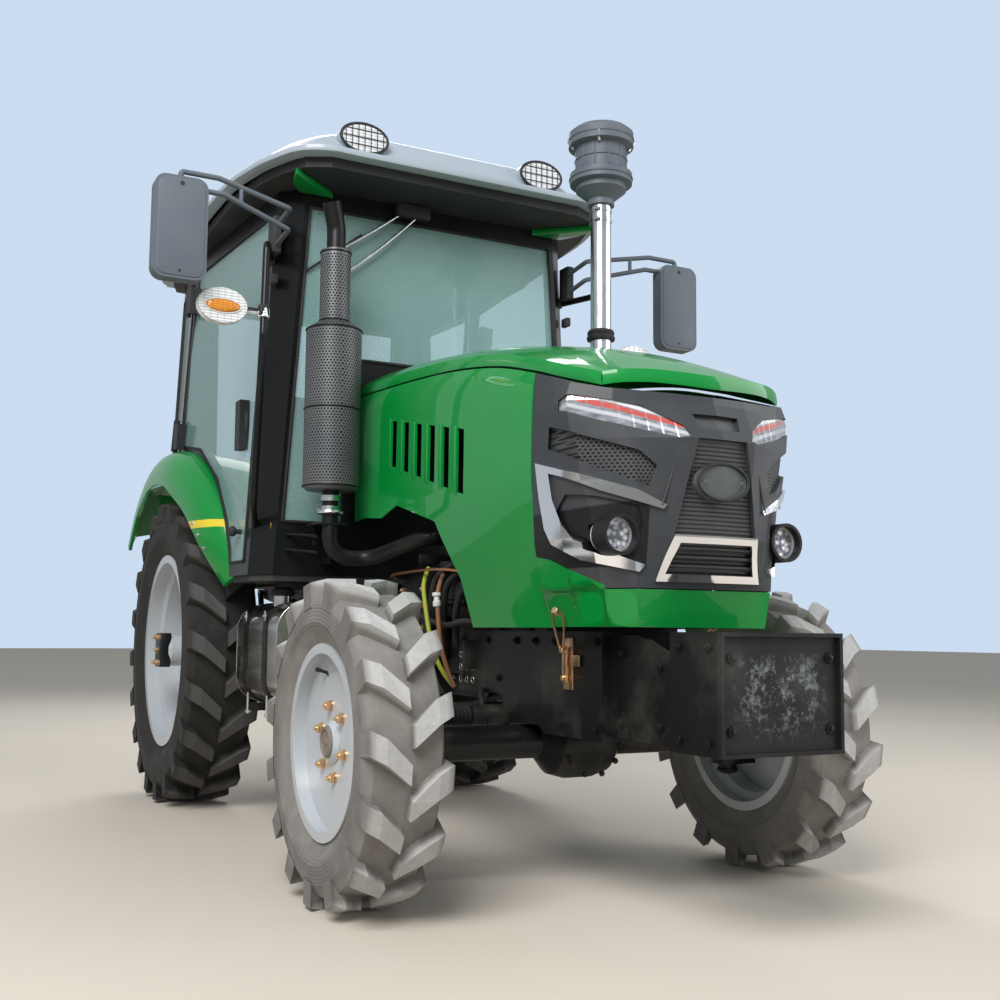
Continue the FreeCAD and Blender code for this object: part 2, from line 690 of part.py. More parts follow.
rail = [(S.frame_rear_y, S.frame_low_rear), (S.frame_rear_y, S.frame_top), (S.frame_front_y, S.frame_top),
        (S.frame_front_y, S.frame_low_front), (-1235, S.frame_low_front), (-1200, 508),
        (S.frame_step_y, 508), (S.frame_step_y + 35, S.frame_low_rear)]
inner_half = S.frame_half - S.frame_plate
frame_bits = []
for side, sign in SIDES:
    spans = (-S.frame_half, -inner_half) if sign < 0 else (inner_half, S.frame_half)
    solid = prism("rail_" + side, "YZ", rail, *spans)
    holes = []
    for i in (-1, 0, 1):
        for j in (-1, 0, 1):
            start = (spans[0] - 5, S.frame_hole_y + S.frame_hole_step_y * i + 90,
                     S.frame_hole_z + S.frame_hole_step_z * j)
            holes.append(bar("rail_hole_%s_%d_%d" % (side, i + 1, j + 1), "x", start, S.frame_plate + 10,
                             S.frame_hole_radius))
    frame_bits.append(cut("rail_cut_" + side, solid, *holes))

# Cross members: low and high along Y, low and high along Z.
CROSS_MEMBERS = (
    ("front", -1559, -1539, 486, 790),
    ("radiator", -1345, -1205, 770, 790),
    ("axle", -1130, -1020, 566.3, 640),
)
for name, near, far, low, high in CROSS_MEMBERS:
    frame_bits.append(block("cross_" + name, (-inner_half, inner_half), (near, far), (low, high)))
carrier = prism("carrier", "YZ", [(-1559, S.carrier_low), (-1559, 780), (-1700, 780), (-1866, 720),
                                  (-1866, S.carrier_low)], -S.carrier_half, S.carrier_half)
carrier_gap = block("carrier_gap", (-S.carrier_half + 20, S.carrier_half - 20), (-1846, -1579), (400, 800))
frame_bits.append(cut("carrier_cut", carrier, carrier_gap))
node(fuse("frame_whole", *frame_bits), "front_frame")

ballast = block("ballast_block", (-S.ballast_half, S.ballast_half), (S.ballast_front_y,
                                                                     S.ballast_rear_y - S.fit_gap),
                (S.ballast_low, S.frame_top))
ballast_face = block("ballast_face", (-S.ballast_half + S.ballast_wall, S.ballast_half - S.ballast_wall),
                     (S.ballast_front_y - 5, S.ballast_front_y + S.ballast_rim),
                     (S.ballast_low + S.ballast_wall, S.frame_top - S.ballast_wall))
node(cut("ballast_cut", ballast, ballast_face), "ballast_box")

# Engine, gearbox and rear axle

engine_bits = [
    block("engine_block", (-S.engine_half, S.engine_half), (S.engine_front_y, S.engine_rear_y),
          (S.block_low, S.block_top)),
    block("engine_sump", (-130, 130), (S.engine_front_y + 60, S.engine_rear_y - 20), (S.engine_low,
                                                                                      S.block_low)),
    block("engine_head", (-S.head_half, S.head_half), (S.engine_front_y + 30, S.engine_rear_y - 20),
          (S.block_top, S.head_top - 60)),
    block("engine_cover", (-S.head_half + 30, S.head_half - 30), (S.engine_front_y + 50,
                                                                  S.engine_rear_y - 40),
          (S.head_top - 60, S.head_top)),
    prism("engine_bell", "XZ", [(-S.bell_half, 700), (-S.bell_half, 960), (-160, 1050), (160, 1050),
                                (S.bell_half, 960), (S.bell_half, 700), (150, S.engine_low),
                                (-150, S.engine_low)], S.engine_rear_y, S.bell_rear_y),
]
# Bars on the engine's sides: centre x, y, low z, height, radius.
for name, x, y, low, tall, radius in (("filter_a", -207, -700, 880, 150, 44), ("filter_b", -207, -590, 880,
                                                                               150, 44),
                                      ("starter", -205, -460, 690, 150, 50), ("cooler", 205, -620, 860, 140,
                                                                              46)):
    engine_bits.append(bar("engine_" + name, "z", (x, y, low), tall, radius))
for side, sign in SIDES:
    mount = (-179.7, -160) if sign < 0 else (160, 179.7)
    engine_bits.append(block("engine_mount_" + side, mount, (-900, -800), (650, 740)))
engine_bits.append(bar("engine_pulley", "y", (0, S.engine_front_y - 60, 760), 60, 85))
engine_bits.append(bar("engine_alternator", "y", (-185, S.engine_front_y - 40, 960), 130, 62))
radiator = block("radiator", (-S.radiator_half, S.radiator_half), (S.radiator_y,
                                                                   S.radiator_y + S.radiator_deep),
                 (S.frame_top + S.fit_gap, S.radiator_top))
node(group("engine_and_radiator", fuse("engine_whole", *engine_bits), radiator), "engine")

gear_bits = [
    prism("gear_case", "XZ", [(-S.gearbox_half, 560), (-S.gearbox_half, 880), (-110, S.gearbox_top),
                              (110, S.gearbox_top), (S.gearbox_half, 880), (S.gearbox_half, 560),
                              (90, S.gearbox_low), (-90, S.gearbox_low)],
          S.bell_rear_y + S.fit_gap, CASE_FRONT_Y),
    block("gear_drop", (-75, 75), (150, 330), (405, S.gearbox_low + 20)),
    bar("shaft_tube", "y", (0, S.front_axle_y + S.diff_radius + S.fit_gap, S.drive_shaft_z),
        160 - S.front_axle_y - S.diff_radius, S.drive_shaft_radius),
]
node(fuse("gear_whole", *gear_bits), "gearbox")

axle_case = prism("rear_case", "YZ", [(CASE_FRONT_Y + S.fit_gap, 520), (CASE_FRONT_Y + S.fit_gap, 930),
                                      (CASE_FRONT_Y + 70, S.axle_case_top), (CASE_REAR_Y - 60,
                                                                             S.axle_case_top),
                                      (CASE_REAR_Y, 900), (CASE_REAR_Y, 540),
                                      (CASE_REAR_Y - 100, S.axle_case_low), (CASE_FRONT_Y + 80,
                                                                             S.axle_case_low)],
                  -S.axle_case_half, S.axle_case_half)
rear_z = S.rear_tyre_radius
rear_bits = [axle_case]
rear_bits.append(crossbar("trumpets", REAR_AXLE_Y, rear_z, -S.trumpet_end, S.trumpet_end, S.trumpet_radius))
spindle_end = REAR_X + S.rear_hub_out - 12
rear_bits.append(crossbar("axle_shaft", REAR_AXLE_Y, rear_z, -spindle_end, spindle_end,
                          S.rear_spindle_radius))
for side, sign in SIDES:
    cheek = (-205, -165) if sign < 0 else (165, 205)
    rear_bits.append(block("link_cheek_" + side, cheek, (LINK_PIN_Y - 50, LINK_PIN_Y + 50), (395, 500)))
    ends = (-247, -200) if sign < 0 else (200, 247)
    rear_bits.append(crossbar("link_pin_" + side, LINK_PIN_Y, S.link_pin_z, ends[0], ends[1], 14))
    head = (-257, -247) if sign < 0 else (247, 257)
    rear_bits.append(crossbar("link_pin_head_" + side, LINK_PIN_Y, S.link_pin_z, head[0], head[1], 22))
rear_bits.append(block("drawbar_box", (-60, 60), (REAR_AXLE_Y + 145, REAR_AXLE_Y + 285), (395, 475)))
drawbar_slot = block("drawbar_slot", (-35.3, 35.3), (REAR_AXLE_Y + 135, REAR_AXLE_Y + 295), (418.7, 449.3))
node(cut("rear_axle_cut", fuse("rear_axle_whole", *rear_bits), drawbar_slot), "rear_axle_housing")

# Rear hitch, drawbar and power take-off

BALL_Y = LINK_PIN_Y + S.link_length
links = []
for side, sign in SIDES:
    pin = 228 * sign
    spans = (pin - 14, pin + 14)
    ball = (pin - S.link_bore_length / 2, pin + S.link_bore_length / 2)
    link_bits = [block("link_bar_" + side, spans, (LINK_PIN_Y, BALL_Y), (S.link_pin_z - 24,
                                                                         S.link_pin_z + 24))]
    link_bits.append(crossbar("link_front_eye_" + side, LINK_PIN_Y, S.link_pin_z, spans[0], spans[1], 38))
    link_bits.append(crossbar("link_ball_" + side, BALL_Y, S.link_pin_z, ball[0], ball[1],
                              S.link_eye_radius))
    link_holes = [crossbar("link_front_hole_" + side, LINK_PIN_Y, S.link_pin_z, spans[0] - 5, spans[1] + 5,
                           14 + S.run_gap)]
    link_holes.append(crossbar("link_ball_hole_" + side, BALL_Y, S.link_pin_z, ball[0] - 5, ball[1] + 5,
                               S.link_bore_radius))
    links.append(cut("link_cut_" + side, fuse("link_solid_" + side, *link_bits), *link_holes))
node(group("link_pair", *links), "lower_links")

CASE_LID = S.axle_case_top + S.fit_gap
CASE_BACK = CASE_REAR_Y + S.fit_gap
lift_case = prism("lift_case", "YZ", [(REAR_AXLE_Y - 75, CASE_LID), (REAR_AXLE_Y - 75, 1060),
                                      (REAR_AXLE_Y - 15, 1130),
                                      (CASE_REAR_Y - 120, 1130), (CASE_REAR_Y, 1060), (CASE_REAR_Y + 90,
                                                                                       960),
                                      (CASE_REAR_Y + 90, 850), (CASE_BACK, 820), (CASE_BACK, 900),
                                      (CASE_REAR_Y - 60, CASE_LID)], -120, 120)
LIFT_Z = S.lift_z
lift_hole = crossbar("lift_hole", LIFT_Y, LIFT_Z, -130, 130, 28 + S.run_gap)
lift_case = cut("lift_case_cut", lift_case, lift_hole)
ARM_LEAN = 5
arm_end = (LIFT_Y + S.lift_arm * math.cos(math.radians(ARM_LEAN)),
           LIFT_Z + S.lift_arm * math.sin(math.radians(ARM_LEAN)))
shaft_bits = [crossbar("rockshaft_bar", LIFT_Y, LIFT_Z, -168, 168, 28)]
for side, sign in SIDES:
    spans = (-168, -144) if sign < 0 else (144, 168)
    shaft_bits.append(prism("lift_arm_" + side, "YZ",
                            [(LIFT_Y - 45, LIFT_Z - 20), (LIFT_Y - 20, LIFT_Z - 45), (arm_end[0] + 10,
                                                                                      arm_end[1] - 26),
                             (arm_end[0] + 28, arm_end[1]), (arm_end[0] + 10, arm_end[1] + 26),
                             (LIFT_Y - 20, LIFT_Z + 45)], *spans))
arm_holes = [crossbar("lift_arm_hole", arm_end[0], arm_end[1], -190, 190, 11 + S.run_gap)]
node(cut("rockshaft_cut", fuse("rockshaft_solid", *shaft_bits), *arm_holes), "rockshaft")

rods = []
ROD_LOW = (LINK_PIN_Y + S.lift_rod_link, S.link_pin_z)
for side, sign in SIDES:
    pin = 185 * sign
    top = point(pin, arm_end[0], arm_end[1])
    foot = point(pin, ROD_LOW[0], ROD_LOW[1])
    along = (foot - top).normalize()
    rod = Part.makeCylinder(15, (foot - top).Length - 60, top, along)
    eye = Part.makeCylinder(24, 22, top - Vector(11, 0, 0), Vector(1, 0, 0))
    stud = Part.makeCylinder(11, 40, point(pin - 11 * sign, arm_end[0], arm_end[1]), Vector(-sign, 0, 0))
    shoe = Part.makeCylinder(21, 70, foot - along * 78, along)
    rods.append(eye.fuse([rod, stud, shoe]).removeSplitter())
node(shaped("lift_rod_shapes", Part.Compound(rods)), "lift_rods")

NOSE_Y = REAR_AXLE_Y + 615
drawbar_bits = [block("drawbar_bar", (-35, 35), (REAR_AXLE_Y + 105, NOSE_Y), (419, 419 + S.drawbar_thick))]
drawbar_bits.append(bar("drawbar_nose", "z", (0, NOSE_Y, 419), S.drawbar_thick, 42))
drawbar_hole = bar("drawbar_hole", "z", (0, NOSE_Y, 410), 60, S.drawbar_bore_radius)
node(cut("drawbar_cut", fuse("drawbar_solid", *drawbar_bits), drawbar_hole), "drawbar")

pto_y = CASE_BACK
pto_bits = [bar("pto_flange", "y", (0, pto_y, S.pto_z), 22, 62)]
pto_bits.append(bar("pto_stub", "y", (0, pto_y + 20, S.pto_z), S.pto_length, S.pto_radius))
node(fuse("pto_whole", *pto_bits), "pto_shaft")

TOP_PIN = (CASE_REAR_Y + 130, 885)
TOP_END = (TOP_PIN[0] + 300, 885)
top_bits = [
    block("top_cheeks", (-46, 46), (TOP_PIN[0] - 50, TOP_PIN[0] + 30), (855, 930)),
    crossbar("top_pin", *TOP_PIN, -60, 60, 12),
]
top_slot = block("top_slot", (-26, 26), (TOP_PIN[0] - 30, TOP_PIN[0] + 35), (835, 935))
top_bits[0] = cut("top_cheeks_cut", top_bits[0], top_slot)
node(fuse("lift_housing_whole", lift_case, *top_bits), "lift_housing")
top_eye = crossbar("top_eye", *TOP_PIN, -22, 22, 27)
top_barrel = bar("top_barrel", "y", (0, *TOP_PIN), 300, 20)
top_end = crossbar("top_end", *TOP_END, -22, 22, 29)
top_holes = [crossbar("top_eye_hole", *TOP_PIN, -30, 30, 12 + S.run_gap),
             crossbar("top_end_hole", *TOP_END, -30, 30, 9.7)]
node(cut("top_link_cut", fuse("top_link_solid", top_eye, top_barrel, top_end), *top_holes), "top_link")

# Tank, battery box and steps

tank_x = (-S.tank_outer_x, -S.tank_inner_x)
tank_z = (S.tank_low, S.tank_high)


def round_box(x, z, corner):
    """A rounded rectangle in XZ."""
    return [(x[0], z[0], corner), (x[1], z[0], corner), (x[1], z[1], corner), (x[0], z[1], corner)]


tank = prism("tank_can", "XZ", round_box(tank_x, tank_z, S.tank_corner), S.tank_front_y, S.tank_rear_y)
neck = bar("tank_neck", "z", (-575, 215, S.tank_high - 24), 54, 34)
node(fuse("tank_whole", tank, neck), "fuel_tank")

STRAP_Y = (130, 400)
straps = []
gap = S.fit_gap
reach = gap + S.strap_thick
for i, y in enumerate(STRAP_Y):
    ring = prism("strap_ring_%d" % i, "XZ", round_box((tank_x[0] - reach, tank_x[1] + reach),
                                                      (tank_z[0] - reach, tank_z[1] + reach),
                                                      S.tank_corner + reach), y - 24, y + 24)
    hollow = prism("strap_hollow_%d" % i, "XZ", round_box((tank_x[0] - gap, tank_x[1] + gap),
                                                          (tank_z[0] - gap, tank_z[1] + gap),
                                                          S.tank_corner + gap), y - 30, y + 30)
    shelf = block("strap_shelf_%d" % i, (-640, -150.3), (y - 24, y + 24), (462, tank_z[0] - gap - 3))
    riser = block("strap_riser_%d" % i, (-170, -150.3), (y - 24, y + 24), (462, 720))
    straps.append(cut("strap_cut_%d" % i, fuse("strap_solid_%d" % i, ring, shelf, riser), hollow))
node(group("strap_pair", *straps), "tank_straps")

battery_bits = [block("battery_case", (372, 505), (20, 400), (560, 800)),
                block("battery_lid", (366, 511), (14, 406), (800, 824))]
for i, y in enumerate((80, 300)):
    battery_bits.append(block("battery_shelf_%d" % i, (150.3, 500), (y - 24, y + 24), (530, 560)))
    battery_bits.append(block("battery_riser_%d" % i, (150.3, 172), (y - 24, y + 24), (530, 720)))
battery_box = fuse("battery_whole", *battery_bits)

steps = fuse("steps_whole", *[block("step_hanger_%d" % x, (x, x + 8), (150, 330), (430,
                                                                                   974.7)) for x in
                                                                                   (520, 700)],
             *[block("step_plate_%d" % z, (524, 704), (154, 326), (z, z + 24)) for z in (440, 700)])
node(group("left_steps_and_battery", battery_box, steps), "left_steps")

# Hood, mask and what is set in it

HOOD_HINGE_Y = 18
HOOD_HINGE_Z = 1822
HOOD_PIN = 8
# Sections of the hood along Y: place, crest, seam, half width at the lower edge.
HOOD_ROWS = ((30, 1862, 1715, 310), (-385, 1825, 1690, 310), (-820, 1764, 1652, 308), (-1160, 1697, 1600,
                                                                                       296),
             (-1410, 1637, 1536, 272))
# The top's front part, over the mask: place, crest, seam, half width at the seam.
TONGUE_ROWS = ((-1410, 1637, 1536, 330), (-1560, 1598, 1489, 322), (-1717, 1548, 1441, 296),
               (-1830, 1500, 1424, 280))
# The top's front edge from above.
TONGUE_EDGE = ((360, -1400), (345, -1560), (296, -1717), (210, -1762), (130, -1786), (0, -1800))


def crown(half, crest, seam, skin):
    """The hood's top from its middle to its seam, for x above 0."""
    rise = crest - seam
    across = ((0, 0), (0.45, 0.12), (0.8, 0.42), (0.975, 0.84))
    spots = [(half * share, crest - rise * drop) for share, drop in across]
    spots.append((half, seam))
    return [(max(x - skin, 0) if x else 0, z - skin) for x, z in spots]


def hood_section(row, skin):
    """One closed outline of the hood at its place along Y."""
    y, crest, seam, low_half = row
    half = crown(float(S.hood_shoulder_half), crest, seam, skin)
    waist = float(S.hood_waist_half) - skin
    low = float(S.hood_low) - (40 if skin else 0)
    half += [(waist, seam - 110), (waist, float(S.hood_waist_z)), (low_half - skin, low)]
    return half, y


def tongue_section(row, skin):
    """One closed outline of the top's front part."""
    y, crest, seam, half_width = row
    half = crown(half_width, crest, seam, skin)
    return half + [(half_width - skin, seam - (60 if skin else 0))], y


def sections_solid(rows, maker, skin, reach):
    """A straight-sided solid through outlines along Y, its ends moved out by reach."""
    levels = []
    for i, row in enumerate(rows):
        half, y = maker(row, skin)
        y += reach if i == 0 else (-reach if i == len(rows) - 1 else 0)
        level = [Vector(x, y, z) for x, z in half]
        level += [Vector(-x, y, z) for x, z in reversed(half) if x > 0]
        levels.append(level)
    return stacked(levels)


def plan_block(edge, skin, low, high):
    """An upright solid from a plan edge given for x above 0 from its rear to the middle."""
    spots = [point(x, y, low) for x, y in edge] + [point(-x, y, low) for x, y in reversed(edge[:-1])]
    moved = inset(list(reversed(spots)), skin) if skin else list(reversed(spots))
    if skin:
        moved[0].y = moved[-1].y = edge[0][1] + 20
    return Part.Face(polygon(moved)).extrude(Vector(0, 0, high - low))


hood_skin = float(S.hood_skin)
top_outer = sections_solid(TONGUE_ROWS, tongue_section, 0, 0).common(plan_block(TONGUE_EDGE, 0, 1300, 1700))
top_inner = sections_solid(TONGUE_ROWS, tongue_section, hood_skin, 15).common(
    plan_block(TONGUE_EDGE, hood_skin, 1300, 1700))
hood_outer = shaped("hood_outer", sections_solid(HOOD_ROWS, hood_section, 0, 0).fuse(top_outer))
hood_inner = shaped("hood_inner", sections_solid(HOOD_ROWS, hood_section, hood_skin, 1))
tongue_inner = shaped("tongue_inner", top_inner)
arch = prism("hood_arch", "YZ", [(60, 1210), (-80, 1220), (-250, 1205), (-400, 1240), (-730, 1155),
                                 (-780, 1090),
                                 (-900, 955), (-960, 800), (-960, 700), (60, 700)], -420, 420)
slots = []
louvre_step = (S.louvre_rear_y - S.louvre_front_y) / S.louvre_count
for side, sign in SIDES:
    for i in range(6):
        near = float(S.louvre_rear_y - louvre_step * i)
        far = near - float(louvre_step) * 0.52
        top = 1560 - (S.louvre_rear_y.value - near) * 0.2
        low = 1390 - (S.louvre_rear_y.value - near) * 0.27
        drop = (near - far) * 0.2
        slots.append(side_tool("slot_%s_%d" % (side, i), [(near, low), (near, top), (far, top - drop),
                                                          (far, low - drop)], sign, 300, 400))
hood_shell = cut("hood_cut", hood_outer, hood_inner, tongue_inner, arch, *slots)
hood_bits = [hood_shell]
for side, sign in SIDES:
    spans = (-46, -30) if sign < 0 else (30, 46)
    hood_bits.append(block("hood_ear_" + side, spans, (6, 30), (HOOD_HINGE_Z - 12, 1850)))
hood_hole = crossbar("hood_hinge_hole", HOOD_HINGE_Y, HOOD_HINGE_Z, -60, 60, HOOD_PIN + S.run_gap)
node(cut("hood_hinged", fuse("hood_whole", *hood_bits), hood_hole), "hood")

# The mask's outlines from above, half of each from its rear edge to the middle, at five heights.
MASK_ROWS = (
    (905, ((312, -1410.3), (303, -1560), (278, -1680), (224, -1765), (100, -1768), (0, -1768))),
    (1040, ((334, -1410.3), (335, -1580), (312, -1690), (232, -1765), (129, -1812), (0, -1818))),
    (1190, ((342, -1410.3), (352, -1570), (340, -1680), (232, -1782), (105, -1832), (0, -1838))),
    (1300, ((344, -1410.3), (362, -1560), (366, -1672), (250, -1768), (108, -1846), (0, -1850))),
    (1405, ((343, -1410.3), (366, -1560), (384, -1662), (280, -1735), (118, -1790), (0, -1806))),
    (1540, ((334, -1410.3), (345, -1560), (330, -1650), (262, -1718), (120, -1760), (0, -1780))),
)


def mask_solid(skin, low_reach=0):
    """The mask's outside moved inwards by skin, its open sides moved out of the way."""
    levels = []
    for i, (z, half) in enumerate(MASK_ROWS):
        if low_reach:
            z += -low_reach if i == 0 else (low_reach if i == len(MASK_ROWS) - 1 else 0)
        spots = [Vector(x, y, z) for x, y in half] + [Vector(-x, y, z) for x, y in reversed(half[:-1])]
        spots = list(reversed(spots))
        if skin:
            spots = inset(spots, skin)
        if skin > 0:
            spots[0].y = spots[-1].y = -1380
        levels.append(spots)
    return stacked(levels)


# Openings of the mask's corners lie on planes turned this much from the front, in degrees.
CORNER_TURN = 45


def corner_spots(points):
    """Points on the mask's left corner (x, y, z) as places across its turned plane and heights."""
    turn = math.radians(CORNER_TURN)
    return [(x * math.cos(turn) + y * math.sin(turn), z) for x, y, z in points]


def mirrored_prism(name, corners, near=-1560, far=-1230):
    """A pair of cutters into the mask's corners, from an outline on the left corner's plane."""
    pair = []
    for side, sign in SIDES:
        item = prism(name + "_" + side, "XZ", [(x * sign, z) for x, z in corners], near, far)
        item.Placement.Rotation = Rotation(Vector(0, 0, 1), CORNER_TURN * sign)
        pair.append(item)
    return group(name, *pair)


def shrunk(corners, gap):
    """An outline in two directions moved inwards by a gap."""
    spots = [Vector(x, z, 0) for x, z in corners]
    area = sum(a.x * b.y - b.x * a.y for a, b in zip(spots, spots[1:] + spots[:1]))
    if area < 0:
        spots.reverse()
    return [(spot.x, spot.y) for spot in inset(spots, gap)]


# Outlines on the mask's left corner, as points of its surface.
HEADLIGHT = corner_spots(((372, -1610, 1414), (367, -1662, 1422), (211, -1763, 1391), (115, -1824, 1336),
                          (101, -1844, 1306), (132, -1833, 1301), (308, -1719, 1348), (374, -1610, 1384)))
SIDE_MESH = corner_spots(((361, -1539, 1352), (342, -1674, 1312), (220, -1776, 1267), (184, -1802, 1227),
                          (192, -1781, 1172), (298, -1703, 1221), (357, -1527, 1292)))
FOG_BAY = corner_spots(((343, -1548, 1116), (337, -1592, 1159), (298, -1702, 1146), (217, -1771, 1122),
                        (209, -1775, 1070), (233, -1756, 1000), (290, -1716, 1012), (324, -1593, 1050)))
CENTRE_BAY = ((-80, 1302), (80, 1302), (108, 1180), (132, 1057), (158, 932), (-158, 932), (-132, 1057),
              (-108, 1180))
TOP_SLOT = ((-76, 1372), (76, 1372), (68, 1331), (-68, 1331))
SLOPE = ((-1400, 1536), (-1560, 1487), (-1717, 1439), (-1830, 1420), (-1950, 1400), (-1950, 1700),
         (-1400, 1700))

# The mask's lower edge at its sides, from the front to the rear, in Y and Z.
CHEEK = ((-1688, 915), (-1593, 950), (-1483, 988), (-1380, 1004))
# A fog lamp's centre, its radius and that of the ring round it.
FOG_X, FOG_Y, FOG_Z = 276, -1752, 1043
FOG_LAMP = 46
FOG_HOOD = 55

fit = float(S.fit_gap)
mask_outer = shaped("mask_outer", mask_solid(0))
mask_inner = shaped("mask_inner", mask_solid(float(S.mask_skin), 5))
mask_top = prism("mask_top", "YZ", [(y, z - fit) for y, z in SLOPE], -450, 450)
centre_tools = [prism("centre_bay", "XZ", CENTRE_BAY, -1950, -1700), prism("top_slot_tool", "XZ", TOP_SLOT,
                                                                           -1950, -1700)]
bays = [mirrored_prism("headlight_bay", HEADLIGHT), mirrored_prism("mesh_bay", SIDE_MESH),
        mirrored_prism("fog_bay", FOG_BAY)]
cheek_line = prism("cheek_line", "YZ", CHEEK + ((-1380, 880), (-1688, 880)), -450, 450)
fog_room = group("fog_room", *[bar("fog_room_" + side, "y", (FOG_X * sign, FOG_Y - 60, FOG_Z), 160,
                                   FOG_HOOD + fit)
                               for side, sign in SIDES])
mask_shell = cut("mask_cut", mask_outer, mask_inner, mask_top, cheek_line, fog_room, *bays, *centre_tools)


def mask_layer(near, far):
    """The part of the mask's thickness between two depths below its outside."""
    return mask_solid(near).cut(mask_solid(far, 5))


def filled(layer, corners, gap=fit, near=-1950, far=-1700):
    """What fills an opening of the mask's middle at one depth."""
    face = Part.Face(polygon([Vector(x, near, z) for x, z in shrunk(corners, gap)]))
    return layer.common(face.extrude(Vector(0, far - near, 0))).Solids


def corner_filled(layer, corners, gap=fit, near=-1560, far=-1230):
    """What fills an opening in both corners of the mask at one depth."""
    pieces = []
    for side, sign in SIDES:
        spots = [Vector(x * sign, near, z) for x, z in shrunk(corners, gap)]
        tool = Part.Face(polygon(spots)).extrude(Vector(0, far - near, 0))
        tool.rotate(Vector(), Vector(0, 0, 1), CORNER_TURN * sign)
        pieces += layer.common(tool).Solids
    return pieces


mesh_layer = mask_layer(14, 19)
mesh_parts = corner_filled(mesh_layer, SIDE_MESH)
mesh_parts += filled(mesh_layer, CENTRE_BAY)
mesh_parts += filled(mesh_layer, TOP_SLOT)
lamp_parts = corner_filled(mask_layer(5, 24), HEADLIGHT)
pods = corner_filled(mask_layer(9, 24), FOG_BAY)
pod_rings = []
for side, sign in SIDES:
    front = Vector(FOG_X * sign, FOG_Y - 24, FOG_Z)
    lamp_parts.append(Part.makeCylinder(FOG_LAMP, 60, Vector(FOG_X * sign, FOG_Y, FOG_Z), Vector(0, 1, 0)))
    bore = Part.makeCylinder(FOG_LAMP + fit, 120, front - Vector(0, 10, 0), Vector(0, 1, 0))
    ring = Part.makeCylinder(FOG_HOOD, 64, front, Vector(0, 1, 0))
    whole = max(pods, key=lambda pod: pod.CenterOfMass.x * sign).fuse(ring).cut(bore)
    pod_rings.append(max(whole.Solids, key=lambda solid: solid.Volume))
pod_pair = shaped("fog_pods", Part.Compound(pod_rings))
node(group("mask_and_pods", mask_shell, pod_pair), "mask")
node(shaped("lamp_shapes", Part.Compound(lamp_parts)), "front_lamps")

BLADE = corner_spots(((153, -1807, 1122), (224, -1782, 1160), (352, -1585, 1227), (346, -1439, 1262),
                      (343, -1457, 1158), (337, -1477, 1072), (332, -1508, 1028), (316, -1632, 980),
                      (214, -1767, 946), (198, -1771, 965), (319, -1609, 1036), (339, -1575, 1078),
                      (346, -1536, 1150), (352, -1524, 1223), (350, -1608, 1203), (308, -1718, 1161),
                      (167, -1809, 1111)))
FRAME_OUTER = ((-137, 1045), (137, 1045), (172, 922), (-172, 922))
FRAME_INNER = ((-118, 1024), (118, 1024), (146, 942), (-146, 942))
# Slats across the lower part of the middle opening: low and high edge.
SLATS = ((958, 968), (982, 992), (1004, 1014))
skin_layer = mask_solid(-8).cut(mask_solid(-fit, 5))
chrome_parts = []
for solid in corner_filled(skin_layer, BLADE, gap=0):
    for side, sign in SIDES:
        front = Vector(FOG_X * sign, FOG_Y - 60, FOG_Z)
        solid = solid.cut(Part.makeCylinder(FOG_HOOD + fit, 160, front, Vector(0, 1, 0)))
    chrome_parts.append(max(solid.Solids, key=lambda piece: piece.Volume))
for solid in filled(skin_layer, FRAME_OUTER, gap=0):
    hole = Part.Face(polygon([Vector(x, -1950, z) for x, z in FRAME_INNER])).extrude(Vector(0, 250, 0))
    chrome_parts.append(solid.cut(hole))
node(shaped("chrome_shape", Part.Compound(chrome_parts)), "chrome_trim")
slat_layer = mask_layer(3, 16)
slat_parts = []
for low, high in SLATS:
    wide = 146 - (low - 942) * 0.2
    slat_parts += filled(slat_layer, ((-wide, low), (wide, low), (wide, high), (-wide, high)), gap=0)
mesh_parts[2] = mesh_parts[2].fuse(slat_parts)
node(shaped("mesh_shape", Part.Compound(mesh_parts)), "grille_mesh")
plate = shaped("plate_outline", oval(0, 1188, 84, 50, -1950, -1700))
plate_layer = shaped("plate_layer", mask_solid(-3).cut(mask_solid(13.7, 5)))
badge = doc.addObject("Part::Common", "plate_common")
badge.Base = plate_layer
badge.Tool = plate
node(badge, "oval_plate")

BUMPER_ROWS = (
    (802, ((272, -1410.3), (269, -1560), (252, -1675), (210, -1755), (100, -1744), (0, -1742))),
    (902, ((308, -1410.3), (300, -1560), (276, -1680), (222, -1764), (100, -1766), (0, -1766))),
)


def bumper_solid(skin):
    """The bumper's outside moved inwards by skin, open below, above and behind."""
    levels = []
    for i, (z, half) in enumerate(BUMPER_ROWS):
        spots = [Vector(x, y, z) for x, y in half] + [Vector(-x, y, z) for x, y in reversed(half[:-1])]
        spots.reverse()
        if skin:
            spots = inset(spots, skin)
            spots[0].y = spots[-1].y = -1380
            for spot in spots:
                spot.z += -3 if i == 0 else 3
        levels.append(spots)
    return stacked(levels)


cheek_face = Part.Face(polygon([Vector(-450, y, z - fit) for y, z in CHEEK + ((-1380, 880), (-1688, 880))]))
cheeks = mask_solid(0, 4).cut(mask_solid(hood_skin, 8)).common(cheek_face.extrude(Vector(900, 0, 0)))
cheeks = cheeks.cut(Part.makeBox(1000, 400, 300, Vector(-500, -1410, 800)))
bumper_whole = bumper_solid(0).cut(bumper_solid(hood_skin)).fuse(cheeks.Solids)
node(shaped("bumper_shape", bumper_whole.removeSplitter()), "hood_lower_front")

# Air intake, exhaust and their guards

